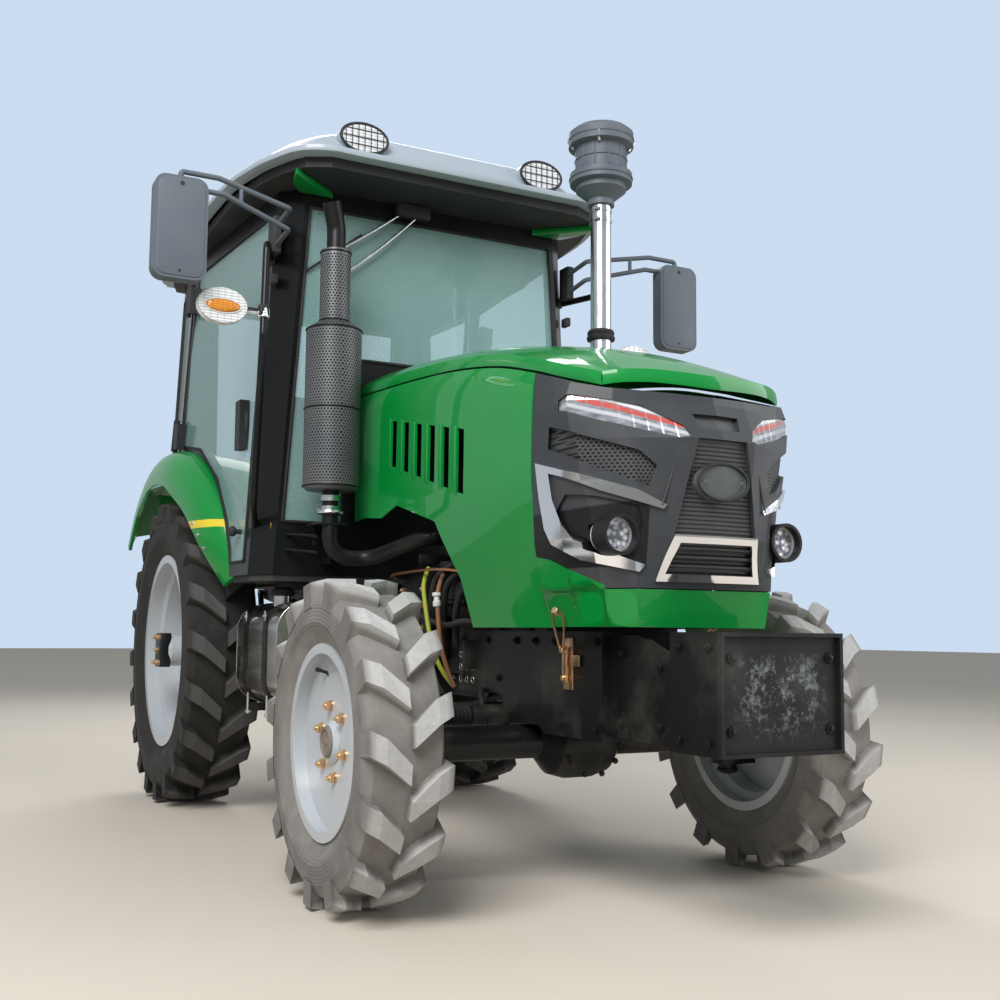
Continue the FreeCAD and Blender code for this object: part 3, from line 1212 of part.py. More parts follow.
case_x = 250
filter_case = bar("filter_case", "y", (case_x, S.stack_y - 40, S.filter_z), 300, 78)
elbow = bent_bar("intake_elbow", [(case_x + 78.3, S.stack_y, S.filter_z), (S.stack_x, S.stack_y, S.filter_z),
                                  (S.stack_x, S.stack_y, S.stack_top)], S.stack_radius, 60)
node(group("intake_parts", filter_case, elbow), "intake_pipe")
# The precleaner's outline: radius and height, from the pipe up.
PRECLEANER = ((0, 2440.3), (52, 2440.3), (52, 2462), (98, 2500), (98, 2520), (121, 2526), (121, 2566),
              (100, 2572),
              (100, 2668), (127, 2676), (127, 2728), (108, 2745), (0, 2745))
node(turned("precleaner_form", PRECLEANER, "V_Axis", (S.stack_x, S.stack_y, 0)), "precleaner")

pipe_start = -S.head_half - S.fit_gap
bend = bent_bar("exhaust_bend", [(pipe_start, -475, S.exhaust_z), (-260, -475, S.exhaust_z),
                                 (-330, S.muffler_y, S.exhaust_z - 65),
                                 (-S.muffler_x, S.muffler_y, S.exhaust_z - 65),
                                 (-S.muffler_x, S.muffler_y, S.muffler_low - S.fit_gap)], S.exhaust_radius,
                                 80)
guard = [(0, S.muffler_low), (S.muffler_radius - 12, S.muffler_low), (S.muffler_radius, S.muffler_low + 12),
         (S.muffler_radius, S.muffler_step), (S.muffler_neck, S.muffler_step + 30),
         (S.muffler_neck, S.muffler_high), (0, S.muffler_high)]
node(turned("muffler_form", guard, "V_Axis", (-S.muffler_x, S.muffler_y, 0)), "muffler_guard")
TIP_TURN = S.muffler_high + 90
tip = bent_bar("tip_bend", [(-S.muffler_x, S.muffler_y, S.muffler_high + S.fit_gap),
                            (-S.muffler_x, S.muffler_y, TIP_TURN),
                            (-S.muffler_x - 30, S.muffler_y - 25, TIP_TURN + 95)], 36, 90)
tip_core = bent_bar("tip_hollow", [(-S.muffler_x, S.muffler_y, S.muffler_high + 40),
                                   (-S.muffler_x, S.muffler_y, TIP_TURN),
                                   (-S.muffler_x - 36, S.muffler_y - 30, TIP_TURN + 114)], 32, 90)
node(group("exhaust_parts", bend, cut("tip_cut", tip, tip_core)), "exhaust_pipe")

# Cab

# The cab's outside from above, half of it from the front to the rear, at its foot and its top.
CAB_FOOT = ((660, 70), (730, 170), (790, 1200), (740, 1720), (660, 1780))
CAB_HEAD = ((565, 70), (650, 170), (735, 1200), (680, 1720), (600, 1780))


def cab_solid(skin, reach=0):
    """The cab's outside moved inwards by skin; reach lengthens it at both ends."""
    low = float(S.cab_low)
    high = float(S.cab_top)
    foot = inset(mirrored_outline(CAB_FOOT, low), skin) if skin else mirrored_outline(CAB_FOOT, low)
    head = inset(mirrored_outline(CAB_HEAD, high), skin) if skin else mirrored_outline(CAB_HEAD, high)
    if reach:
        share = reach / (high - low)
        foot, head = ([a - (b - a) * share for a, b in zip(foot, head)],
                      [b + (b - a) * share for a, b in zip(foot, head)])
    return stacked([foot, head])


WINDSCREEN = ((-628, 1205), (-545, 2470), (545, 2470), (628, 1205), (385, 1205), (385, 1790), (310, 1872),
              (-310, 1872), (-385, 1790), (-385, 1205))
REAR_WINDOW = ((-485, 1330), (-485, 1510), (-500, 2450), (500, 2450), (485, 1510), (485, 1330))
DOOR = ((229, 1054), (395, 1054), (412, 1111), (489, 1241), (658, 1425), (947, 1592), (1275, 1650),
        (1285, 1652),
        (1138, 2456), (229, 2456))
QUARTER = ((1352, 1650), (1205, 2456), (1680, 2456), (1680, 1560), (1500, 1626))
DOOR_GAP = 6.5

cab_outer = shaped("cab_outer", cab_solid(0))
cab_inner = shaped("cab_inner", cab_solid(float(S.cab_wall), 5))
cab_tools = [prism("windscreen_hole", "XZ", WINDSCREEN, 0, 135), prism("rear_hole", "XZ", REAR_WINDOW, 1700,
                                                                       1830)]
for side, sign in SIDES:
    cab_tools.append(side_tool("door_hole_" + side, DOOR, sign, 560, 860))
    cab_tools.append(side_tool("quarter_hole_" + side, QUARTER, sign, 560, 860))
    cab_tools.append(crossbar("fender_room_" + side, REAR_AXLE_Y, S.rear_tyre_radius,
                              -900 if sign < 0 else S.wheelhouse_x, -S.wheelhouse_x if sign < 0 else 900,
                              S.fender_radius + 2))
cab_tools.append(block("cab_rear_room", (-900, 900), (1650, 1850), (950, S.floor_high + 40)))
cab_tools.append(block("cab_side_room", (-900, 900), (700, 1850), (950, 1100)))
cab_bits = [cut("cab_cut", cab_outer, cab_inner, *cab_tools)]
cab_bits.append(crossbar("hood_pin", HOOD_HINGE_Y, HOOD_HINGE_Z, -78, 78, HOOD_PIN))
for side, sign in SIDES:
    spans = (-75, -60) if sign < 0 else (60, 75)
    cab_bits.append(prism("hood_bracket_" + side, "YZ", [(9, 1812), (9, 1832), (27, 1832), (34, 1806),
                                                         (75, 1785),
                                                         (75, 1750), (22, 1796)], *spans))
node(fuse("cab_whole", *cab_bits), "cab_frame")


def cab_pane(corners, plane, low, high, gap, depth=(2, 8)):
    """A pane in one of the cab's openings."""
    layer = cab_solid(depth[0]).cut(cab_solid(depth[1], 5))
    spots = shrunk(corners, gap)
    if plane == "XZ":
        face = Part.Face(polygon([Vector(x, low, z) for x, z in spots]))
        tool = face.extrude(Vector(0, high - low, 0))
    else:
        face = Part.Face(polygon([Vector(low, y, z) for y, z in spots]))
        tool = face.extrude(Vector(high - low, 0, 0))
    return layer.common(tool)


panes = [cab_pane(WINDSCREEN, "XZ", 0, 135, fit), cab_pane(REAR_WINDOW, "XZ", 1700, 1830, fit)]
for side, sign in SIDES:
    panes.append(cab_pane(QUARTER, "YZ", 560 * sign, 860 * sign, fit))
node(shaped("pane_shapes", Part.Compound([pane.Solids[0] for pane in panes])), "cab_windows")

# Door fittings beside the glass: hinge centres (x, y, z) for x above 0, and the door's handle.
HINGES = ((775, 1175, 2330), (792, 1290, 1700))
AXIS_LEAN = point(HINGES[1][0] - HINGES[0][0], HINGES[1][1] - HINGES[0][1], HINGES[1][2] - HINGES[0][2])
for side, sign in SIDES:
    pane = cab_pane(DOOR, "YZ", 560 * sign, 860 * sign, DOOR_GAP)
    node(shaped("door_shape_" + side, pane), "door_glass_" + side)
    fittings = []
    for x, y, z in HINGES:
        start = Vector(x * sign, y, z)
        along = Vector(AXIS_LEAN.x * sign, AXIS_LEAN.y, AXIS_LEAN.z).normalize()
        barrel = Part.makeCylinder(15, 150, start - along * 75, along)
        plate_box = Part.makeBox(46, 92, 120, Vector(-23, -92, -60))
        plate_box.rotate(Vector(0, 0, 0), Vector(1, 0, 0), 10.4)
        plate_box.translate(Vector((x - 11) * sign, y, z))
        fittings.append(barrel.fuse(plate_box).removeSplitter())
    handle = Part.makeBox(40, 70, 200, Vector(-20, -35, -100))
    handle.translate(Vector(727 * sign, 330, 1610))
    fittings.append(handle)
    edge = [Vector(560 * sign, y, z) for y, z in shrunk(DOOR, DOOR_GAP)]
    opening = Part.Face(polygon(edge)).extrude(Vector(300 * sign, 0, 0))
    frame_zone = cab_solid(-fit).cut(opening)
    fittings = [piece.cut(cab_solid(2 - fit)).cut(frame_zone) for piece in fittings]
    node(shaped("door_fittings_shape_" + side, Part.Compound([s for f in fittings for s in f.Solids])),
         "door_fittings_" + side)

floor_bits = [
    prism("floor_step", "YZ", [(78, S.floor_low), (S.floor_step_y, S.floor_low), (S.floor_step_y,
                                                                                  S.floor_high),
                               (1700, S.floor_high), (1700, S.floor_high + S.floor_plate),
                               (S.floor_step_y - 25, S.floor_high + S.floor_plate),
                               (S.floor_step_y - 25, S.cab_low - S.fit_gap), (78, S.cab_low - S.fit_gap)],
          -S.wheelhouse_x + S.fit_gap, S.wheelhouse_x - S.fit_gap),
    prism("floor_front", "XY", [(-655, 78), (-718, 168), (-725, 400), (725, 400), (718, 168), (655, 78)],
          S.floor_low, S.cab_low - S.fit_gap),
]
for y in (330, 930):
    floor_bits.append(block("floor_pad_%d" % y, (-105, 105), (y, y + 80), (S.gearbox_top + S.fit_gap,
                                                                           S.floor_low)))
floor_bits.append(block("seat_base_form", (-200, 200), (1120, 1520), (S.floor_high + 5, 1400)))
node(fuse("floor_whole", *floor_bits), "cab_floor")

dash = prism("dash_form", "YZ", [(125, 1000), (330, 1000), (420, 1560), (380, 1640), (200, 1700),
                                 (125, 1700)],
             -210, 210)
node(dash, "dashboard")
# The steering wheel's centre, the lean of its column and the radius of its ring.
WHEEL_AT = Vector(0, 570, 1820)
WHEEL_LEAN = Vector(0, 0.55, 0.83)
WHEEL_RADIUS = 185
column = Part.makeCylinder(28, 362, Vector(0, 375, 1525), WHEEL_LEAN)
wheel_ring = Part.makeTorus(WHEEL_RADIUS, 14, WHEEL_AT, WHEEL_LEAN)
wheel_whole = column
for along in (Vector(1, 0, 0), Vector(-1, 0, 0), Vector(0, 0.83, -0.55)):
    wheel_whole = wheel_whole.fuse(Part.makeCylinder(9, WHEEL_RADIUS - 4, WHEEL_AT, along))
wheel_whole = wheel_whole.fuse(wheel_ring).cut(built(dash))
node(shaped("steering_wheel_shape", max(wheel_whole.Solids, key=lambda s: s.Volume)), "steering_wheel")

# Seat: cushion and back.
node(block("seat_cushion_form", (-245, 245), (1090, 1560), (1400.3, 1510)), "seat_cushion")
node(prism("seat_back_form", "YZ", [(1560.3, 1440), (1650, 1440), (1695, 2050), (1615, 2050)], -235, 235),
     "seat_back")

# Roof: half of its outline from above, from the front to the rear, at its edge, its brow and its crown.
ROOF_EDGE = ((420, -240), (560, -240), (676, -180), (742, -50), (788, 97), (833, 409), (833, 1200),
             (800, 1700),
             (750, 1850), (600, 1880))
ROOF_BROW = ((380, -130), (475, -130), (575, -105), (665, -25), (722, 110), (778, 420), (790, 1200),
             (755, 1670),
             (705, 1795), (560, 1825))
ROOF_CROWN = ((330, -40), (400, -35), (470, 10), (520, 70), (570, 180), (620, 470), (630, 1200), (600, 1560),
              (550, 1660), (440, 1690))


def roof_solid(skin, drop):
    """The roof's outside moved inwards by skin and its top lowered by drop."""
    levels = []
    for half, z, shift, lip in ((ROOF_EDGE, S.roof_low, 5, 60), (ROOF_EDGE, S.roof_low + 22, 0, 0),
                                (ROOF_BROW, S.roof_edge, drop, 0), (ROOF_CROWN, S.roof_top, drop, 0)):
        spots = mirrored_outline(half, float(z) - (shift if drop else 0))
        levels.append(inset(spots, skin + lip) if skin else spots)
    return stacked(levels)


def lamp_form(sign, grow, near, far):
    """An oval lamp on the roof's brow, grown by a gap, from near to far along Y."""
    return oval(S.roof_lamp_x * sign, ROOF_LAMP_Z, 93 + grow, 57 + grow, near, far)


ROOF_LAMP_Z = 2712
roof = roof_solid(0, 0)
bulges = []
for side, sign in SIDES:
    for shift in (-30, 0, 30):
        start = Vector(S.roof_lamp_x.value * sign + shift, -118, 2708)
        bulges.append(Part.makeCylinder(64, 380, start, Vector(0, 1, -0.06)))
roof = roof.fuse(bulges).cut(roof_solid(12, 12))
roof = roof.cut(Part.makeBox(2000, 2600, 60, Vector(-1000, -500, S.roof_low.value - 60)))
roof = roof.cut([lamp_form(sign, fit, -180, -117.7) for side, sign in SIDES])
node(shaped("roof_shape", roof.removeSplitter()), "cab_roof")
lamps = [lamp_form(sign, 0, -134, -118) for side, sign in SIDES]
liner_levels = [inset(mirrored_outline(ROOF_EDGE, z), float(S.ceiling_inset)) for z in
                (S.cab_top.value + fit, S.roof_low.value - fit)]
node(shaped("liner_shape", stacked(liner_levels)), "roof_liner")

# Fenders

# Stations round the rear axle: degrees above the forward level, and the outside's distance.
tail_parts = []
FENDER_ROWS = ((21, 722), (35, 806), (52, 850), (75, 884), (100, 885), (122, 885), (140, 885))
for side, sign in SIDES:
    levels = []
    top = float(S.fender_radius)
    edge = float(S.fender_lip_radius)
    skin = float(S.fender_skin)
    wall = float(S.wheelhouse_x)
    for angle, lip in FENDER_ROWS:
        section = [(wall, top - 25), (lip - 130, top), (lip - 42, top - 30), (lip, edge), (lip, edge - 30),
                   (lip - skin, edge - 30), (lip - skin, edge - 3), (lip - 50, top - 40),
                   (lip - 133, top - skin),
                   (wall, top - 25 - skin)]
        turn = math.radians(angle)
        levels.append([Vector(x * sign, REAR_AXLE_Y.value - r * math.cos(turn),
                              S.rear_tyre_radius.value + r * math.sin(turn)) for x, r in section])
    shell = shaped("fender_shell_" + side, stacked(levels))
    core = []
    for angle, lip in FENDER_ROWS[-2:]:
        turn = math.radians(angle)
        section = [(wall - 5, top - 25 + fit), (lip - 130, top + fit), (lip - 42, top - 30 + fit),
                   (lip + fit, edge), (lip + fit, 400), (wall - 5, 400)]
        core.append([Vector(x * sign, REAR_AXLE_Y.value - r * math.cos(turn),
                            S.rear_tyre_radius.value + r * math.sin(turn)) for x, r in section])
    lamp = Part.makeBox(90, 70, 110, Vector(sign * 700 - 45, REAR_AXLE_Y.value + 640, 1262))
    tail_parts.append(max(lamp.cut(stacked(core)).Solids, key=lambda s: s.Volume))
    arc = [(REAR_AXLE_Y.value - (top - 31) * math.cos(math.radians(a)),
            S.rear_tyre_radius.value + (top - 31) * math.sin(math.radians(a))) for a, lip in FENDER_ROWS]
    corners = arc + [(REAR_AXLE_Y + 505, 985), (REAR_AXLE_Y - 820, 985)]
    spans = (-wall - skin, -wall) if sign < 0 else (wall, wall + skin)
    wall_piece = prism("wheelhouse_" + side, "YZ", list(reversed(corners)), *spans)
    node(fuse("fender_whole_" + side, shell, wall_piece), "fender_" + side)

node(shaped("tail_lamp_shape", Part.Compound(tail_parts)), "tail_lamps")

# Mirrors, grab tubes and turn lamps

TURN_LAMP_Z = 1985
mirrors = []
tubes = []
for side, sign in SIDES:
    middle = S.mirror_x * sign
    mirror = prism("mirror_form_" + side, "XZ", round_box((middle - S.mirror_half, middle + S.mirror_half),
                                                          (S.mirror_low, S.mirror_high), 42),
                   S.mirror_y, S.mirror_y + 62)
    root = 668 * sign
    outer = S.mirror_x.value * sign
    high = bent_bar("mirror_arm_high_" + side, [(root, 130, 2380), (root, -60, 2400), (root + 290 * sign,
                                                                                       -113, 2448),
                                                (outer, -113, 2448), (outer, -113, 2410)], 10, 12)
    low = bent_bar("mirror_arm_low_" + side, [(root + 4 * sign, 130, 2300), (root, -50, 2320),
                                              (root + 270 * sign, -113, 2390), (outer - 80 * sign, -113,
                                                                                2390)],
                   10, 12)
    tie = bent_bar("mirror_arm_tie_" + side, [(root + 200 * sign, -96, 2371), (root + 200 * sign, -97,
                                                                               2434)], 8, 5)
    arms = high.Shape.fuse([low.Shape, tie.Shape, built(mirror)]).cut(cab_solid(-fit))
    grab = bent_bar("grab_bend_" + side, [(668 * sign, 190, 2268), (744 * sign, -20, 2268),
                                          (756 * sign, -45, 1900),
                                          (752 * sign, 40, 1250), (700 * sign, 190, 1180)], S.tube_radius,
                                          40)
    tube_cut = grab.Shape.cut(cab_solid(-fit))
    for item in (high, low, tie, grab):
        doc.removeObject(item.Name)
    mirrors.append(max(arms.Solids, key=lambda s: s.Volume))
    tubes.append(max(tube_cut.Solids, key=lambda s: s.Volume))
    # The turn lamp hangs from a collar on the grab tube's straight run.
    tube_top = point(744 * sign, -20, 2268)
    along = (point(756 * sign, -45, 1900) - tube_top).normalize()
    ring_top = tube_top + along * 270
    collar = Part.makeCylinder(22, 34, ring_top, along)
    stalk = Part.makeCylinder(10, 80, ring_top + along * 17, Vector(sign, 0, 0))
    lamp = oval(917 * sign, TURN_LAMP_Z, 91, 66, -72, -28).fuse([collar, stalk])
    lamp = lamp.cut(Part.makeCylinder(float(S.tube_radius) + fit, 90, ring_top - along * 20, along))
    lamps.append(max(lamp.Solids, key=lambda s: s.Volume))
node(shaped("mirror_shapes", Part.Compound(mirrors)), "mirrors")
node(shaped("tube_shapes", Part.Compound(tubes)), "grab_tubes")
node(shaped("cab_lamp_shapes", Part.Compound(lamps)), "cab_lamps")

# Checks and files

doc.recompute()
faults = [item.Name for item in doc.Objects if "Invalid" in item.State or "Error" in item.State]
if faults:
    raise RuntimeError("objects that did not build: " + ", ".join(faults))
os.makedirs("parts", exist_ok=True)
bad = [item.Label for item in NODES if item.Shape.isNull() or not item.Shape.isValid()]
if bad:
    raise RuntimeError("shapes that are not valid: " + ", ".join(bad))
for item in NODES:
    item.Shape.exportStep("parts/%s.step" % item.Label)
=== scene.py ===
import math

import bmesh
import bpy
from mathutils import Matrix, Vector


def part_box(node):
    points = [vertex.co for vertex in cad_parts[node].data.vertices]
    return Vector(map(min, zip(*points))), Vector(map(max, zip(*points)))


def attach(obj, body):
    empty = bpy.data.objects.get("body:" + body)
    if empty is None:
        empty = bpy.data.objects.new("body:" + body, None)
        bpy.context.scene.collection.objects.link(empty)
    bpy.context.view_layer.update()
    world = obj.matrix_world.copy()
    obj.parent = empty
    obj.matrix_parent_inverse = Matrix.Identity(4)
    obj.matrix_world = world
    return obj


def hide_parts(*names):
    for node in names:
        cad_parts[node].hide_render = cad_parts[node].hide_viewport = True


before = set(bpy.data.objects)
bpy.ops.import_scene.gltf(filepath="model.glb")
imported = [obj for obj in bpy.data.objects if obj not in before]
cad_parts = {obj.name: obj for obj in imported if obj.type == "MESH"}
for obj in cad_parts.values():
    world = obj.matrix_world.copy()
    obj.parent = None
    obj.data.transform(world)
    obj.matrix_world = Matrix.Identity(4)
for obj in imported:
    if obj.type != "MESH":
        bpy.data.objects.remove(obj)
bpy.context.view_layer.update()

bl_info = {
    "name": "Farm Tractor Finish",
    "version": (1, 0, 0),
    "blender": (4, 5, 0),
    "location": "View3D > Sidebar > Tractor",
    "description": "Dresses the packed farm tractor with its finishes and its small pieces",
    "category": "Object",
}

SIDES = (("right", -1), ("left", 1))
SIGNS = (-1, 1)
UP = (0, 0, 1)
# Place along the tractor and height of each axle.
AXLES = {"front": (-1.075, 0.469), "rear": (1.275, 0.69)}
FRAME_SIDE = 0.2003
KINGPIN = 0.61
ROOF_LAMP = (0.397, 2.711)
TURN_LAMP = 0.917
MIRROR = 1.096
MUFFLER = (-0.5, -0.12)
SEAL_RADIUS = 0.0075


def wheel_table():
    """Each wheel's axle, side, middle and half width, by the name of its body."""
    wheels = {}
    for side, sign in SIDES:
        for axle, (along, height) in AXLES.items():
            low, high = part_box(axle + "_tyre_" + side)
            wheels[axle + "_wheel_" + side] = {
                "axle": axle,
                "side": side,
                "sign": sign,
                "centre": Vector(((low.x + high.x) / 2, along, height)),
                "half": (high.x - low.x) / 2,
            }
    return wheels


WHEELS = wheel_table()


# Values that a user would change


class TractorColours(bpy.types.PropertyGroup):
    """Colours of the tractor's finishes"""

    green: bpy.props.FloatVectorProperty(
        name="Green paint", description="Hood, bumper and fenders", subtype="COLOR",
        default=(0.0, 0.225, 0.034), min=0, max=1)
    stripe: bpy.props.FloatVectorProperty(
        name="Stripe", description="Yellow stripe on the fenders", subtype="COLOR",
        default=(0.72, 0.55, 0.03), min=0, max=1)
    mask: bpy.props.FloatVectorProperty(
        name="Mask", description="Moulded grille mask", subtype="COLOR",
        default=(0.04, 0.044, 0.05), min=0, max=1)
    black: bpy.props.FloatVectorProperty(
        name="Black paint", description="Frame, engine, axles and cab", subtype="COLOR",
        default=(0.0055, 0.0058, 0.006), min=0, max=1)
    plastic: bpy.props.FloatVectorProperty(
        name="Grey plastic", description="Mirrors and precleaner", subtype="COLOR",
        default=(0.1, 0.118, 0.142), min=0, max=1)
    rim: bpy.props.FloatVectorProperty(
        name="Rims", description="White enamel of the rims", subtype="COLOR",
        default=(0.42, 0.445, 0.47), min=0, max=1)
    roof: bpy.props.FloatVectorProperty(
        name="Roof", description="Silver paint of the roof", subtype="COLOR",
        default=(0.33, 0.38, 0.43), min=0, max=1)
    glass: bpy.props.FloatVectorProperty(
        name="Glass", description="Tint of the cab's glass", subtype="COLOR",
        default=(0.36, 0.6, 0.58), min=0, max=1)
    dust: bpy.props.FloatVectorProperty(
        name="Dust", description="Dried yard dust", subtype="COLOR",
        default=(0.3, 0.265, 0.22), min=0, max=1)
    cloth: bpy.props.FloatVectorProperty(
        name="Seat cloth", description="Cloth of the seat", subtype="COLOR",
        default=(0.1, 0.11, 0.12), min=0, max=1)


class StudioSettings(bpy.types.PropertyGroup):
    """Light and floor of the stage"""

    key_power: bpy.props.FloatProperty(
        name="Key light", description="Power of the large light over the front", default=800, min=0,
        subtype="POWER", unit="POWER")
    fill_power: bpy.props.FloatProperty(
        name="Fill light", description="Power of the light beside the camera", default=200, min=0,
        subtype="POWER", unit="POWER")
    rim_power: bpy.props.FloatProperty(
        name="Back light", description="Power of the light behind the tractor", default=300, min=0,
        subtype="POWER", unit="POWER")
    sky: bpy.props.FloatProperty(
        name="Room light", description="Strength of the light from all round", default=0.42, min=0, max=4)
    floor: bpy.props.FloatVectorProperty(
        name="Floor", description="Colour of the pale floor", subtype="COLOR",
        default=(0.6, 0.54, 0.46), min=0, max=1)


# Shader values written as Python expressions


class Wire:
    """An output in a finish's node tree. Sums and products of wires add its Math nodes."""

    def __init__(self, paint, socket):
        self.paint = paint
        self.socket = socket

    def worked(self, rule, first, second=None):
        """The outcome of one Math node."""
        values = {0: first} if second is None else {0: first, 1: second}
        return self.paint.put("Math", {"operation": rule}, values)

    def __add__(self, other):
        return self.worked("ADD", self, other)

    def __radd__(self, other):
        return self.worked("ADD", other, self)

    def __sub__(self, other):
        return self.worked("SUBTRACT", self, other)

    def __rsub__(self, other):
        return self.worked("SUBTRACT", other, self)

    def __mul__(self, other):
        return self.worked("MULTIPLY", self, other)

    def __rmul__(self, other):
        return self.worked("MULTIPLY", other, self)

    def __truediv__(self, other):
        return self.worked("DIVIDE", self, other)

    def __pow__(self, other):
        return self.worked("POWER", self, other)

    def __abs__(self):
        return self.worked("ABSOLUTE", self)

    def __mod__(self, other):
        return self.worked("FLOORED_MODULO", self, other)

    def __gt__(self, other):
        return self.worked("GREATER_THAN", self, other)

    def __lt__(self, other):
        return self.worked("LESS_THAN", self, other)


class Graph:
    """A node tree, emptied and built up again node by node."""

    def __init__(self, tree):
        self.tree = tree
        tree.nodes.clear()

    def add(self, kind, settings=None, sockets=None):
        """Adds a node: its settings first, then the values or wires of its sockets."""
        node = self.tree.nodes.new("ShaderNode" + kind)
        for key, value in (settings or {}).items():
            setattr(node, key, value)
        self.feed(node, sockets or {})
        return node

    def put(self, kind, settings=None, sockets=None, output=0):
        """Adds a node and gives back one of its outputs."""
        return Wire(self, self.add(kind, settings, sockets).outputs[output])

    def feed(self, node, sockets):
        """Gives a node's sockets their values or wires."""
        for key, value in sockets.items():
            socket = node.inputs[key]
            if isinstance(value, Wire):
                self.tree.links.new(value.socket, socket)
            elif socket.type == "RGBA" and len(value) == 3:
                socket.default_value = (*value, 1)
            else:
                socket.default_value = value


class Paint(Graph):
    """One finish: a node tree that ends in a Principled shader."""

    def __init__(self, name):
        self.material = bpy.data.materials.new(name)
        self.material.use_nodes = True
        super().__init__(self.material.node_tree)
        self.shader = self.add("BsdfPrincipled")
        self.add("OutputMaterial", {}, {"Surface": Wire(self, self.shader.outputs[0])})
        self.place = self.put("TexCoord", output="Object")

    def set(self, **sockets):
        """Sets the shader's sockets; an underscore stands for a space."""
        self.feed(self.shader, {key.replace("_", " "): value for key, value in sockets.items()})
        return self

    def axes(self):
        """The place on the piece along X, Y and Z."""
        split = self.add("SeparateXYZ", {}, {0: self.place})
        return [Wire(self, output) for output in split.outputs]

    def base(self):
        """The wire that feeds the base colour."""
        return Wire(self, self.shader.inputs["Base Color"].links[0].from_socket)

    def noise(self, scale, detail=3.0, rough=0.55, stretch=None):
        """Soft irregular pattern between 0 and 1."""
        spot = self.place
        if stretch:
            spot = self.put("Mapping", {}, {"Vector": self.place, "Scale": stretch})
        return self.put("TexNoise", {}, {"Vector": spot, "Scale": scale, "Detail": detail, "Roughness": rough})

    def between(self, value, low, high):
        """0 up to low, 1 from high on."""
        return self.put("MapRange", {"clamp": True}, {0: value, 1: low, 2: high, 3: 0.0, 4: 1.0})

    def scaled(self, value, low, high, start, end):
        """A value carried from one span to another."""
        return self.put("MapRange", {"clamp": True}, {0: value, 1: low, 2: high, 3: start, 4: end})

    def mix(self, share, first, second):
        """A colour between two colours."""
        return self.put("Mix", {"data_type": "RGBA"}, {0: share, 6: first, 7: second}, output=2)

    def bump(self, height, depth, strength=1.0):
        """Relief of a depth in metres."""
        return self.put("Bump", {}, {"Height": height, "Distance": depth, "Strength": strength})

    def spots(self, across, along, pitch, size):
        """1 inside the holes of a staggered sheet, 0 between them."""
        row = along / (pitch * 0.866)
        level = row - row % 1.0
        shift = (level % 2.0) * 0.5
        du = (across / pitch + shift) % 1.0 - 0.5
        dv = (row % 1.0 - 0.5) * 0.866
        return self.between((du * du + dv * dv) ** 0.5, size, size - 0.09)


# Finishes

# Near-black painted shade, put where holes and recesses would show the dark space behind them.
PAINTED_SHADE_BLACK = (0.008, 0.008, 0.009)


def coated_paint(name, colour, gloss=0.32, coat=0.7, dusting=0.02):
    """Sprayed paint under a clear coat, with faint waves and some dust low down."""
    dust = bpy.context.scene.tractor_colours.dust
    paint = Paint(name)
    cloud = paint.noise(3.5, 5.0)
    low = paint.between(paint.axes()[2], 1.5, 0.75)
    speck = paint.between(paint.noise(60, 4.0, 0.7), 0.55, 0.75)
    dirt = paint.between(cloud, 0.42, 0.78) * low * dusting + speck * dusting * 0.35
    paint.set(Base_Color=paint.mix(dirt, colour, tuple(dust)),
              Roughness=paint.scaled(cloud, 0.3, 0.7, gloss, gloss + 0.09),
              Specular_IOR_Level=0.15, Coat_Weight=coat, Coat_Roughness=0.03, Coat_IOR=1.45,
              Normal=paint.bump(paint.noise(9, 1.0, 0.3), 0.0012, 0.35))
    return paint


def fender_paint(name, colour, stripe):
    """The green paint with the yellow stripe of the fenders."""
    paint = coated_paint(name, colour)
    x, y, z = paint.axes()
    edge = paint.noise(28, 2.0) * 0.006
    bar = paint.between(abs(z - 1.232 + edge), 0.017, 0.0155)
    span = paint.between(y, 0.365, 0.367) * paint.between(y, 0.75, 0.748)
    outside = paint.between(abs(x), 0.64, 0.645)
    paint.set(Base_Color=paint.mix(bar * span * outside, paint.base(), stripe))
    return paint


def satin_black(name, colour, gloss=0.36, dusting=0.22, scuffed=False):
    """Brushed-on black paint with dust in patches, more of it low down; a scuffed patch on the ballast's front."""
    dust = bpy.context.scene.tractor_colours.dust
    paint = Paint(name)
    x, y, z = paint.axes()
    cloud = paint.noise(5.0, 6.0, 0.62)
    grain = paint.noise(70, 3.0, 0.6)
    dirt = paint.between(cloud, 0.5, 0.82) * paint.between(z, 1.25, 0.35) * dusting
    dirt = dirt + paint.between(grain, 0.62, 0.8) * dusting * 0.2
    base = paint.mix(dirt, colour, tuple(dust))
    rough = paint.scaled(cloud, 0.3, 0.7, gloss, gloss + 0.16)
    height = grain
    if scuffed:
        front = paint.between(y, -2.055, -2.0625)
        patch = (paint.between(abs(x), 0.155, 0.09) * paint.between(z, 0.515, 0.6)
                 * paint.between(z, 0.745, 0.7))
        streak = paint.noise(26, 9.0, 0.78, (1.0, 1.0, 0.8))
        fine = paint.noise(85, 5.0, 0.8)
        scuff = front * patch * paint.between(streak * 0.62 + fine * 0.38, 0.5, 0.585)
        base = paint.mix(scuff * 0.55, base, (0.3, 0.33, 0.35))
        grey = front * paint.between(cloud, 0.2, 0.8) * 0.1
        base = paint.mix(grey, base, (0.14, 0.14, 0.14))
        height = grain + scuff * 1.6
    paint.set(Base_Color=base, Roughness=rough, Normal=paint.bump(height, 0.0012, 0.3),
              Specular_IOR_Level=0.22, Coat_Weight=0.12, Coat_Roughness=0.12)
    return paint


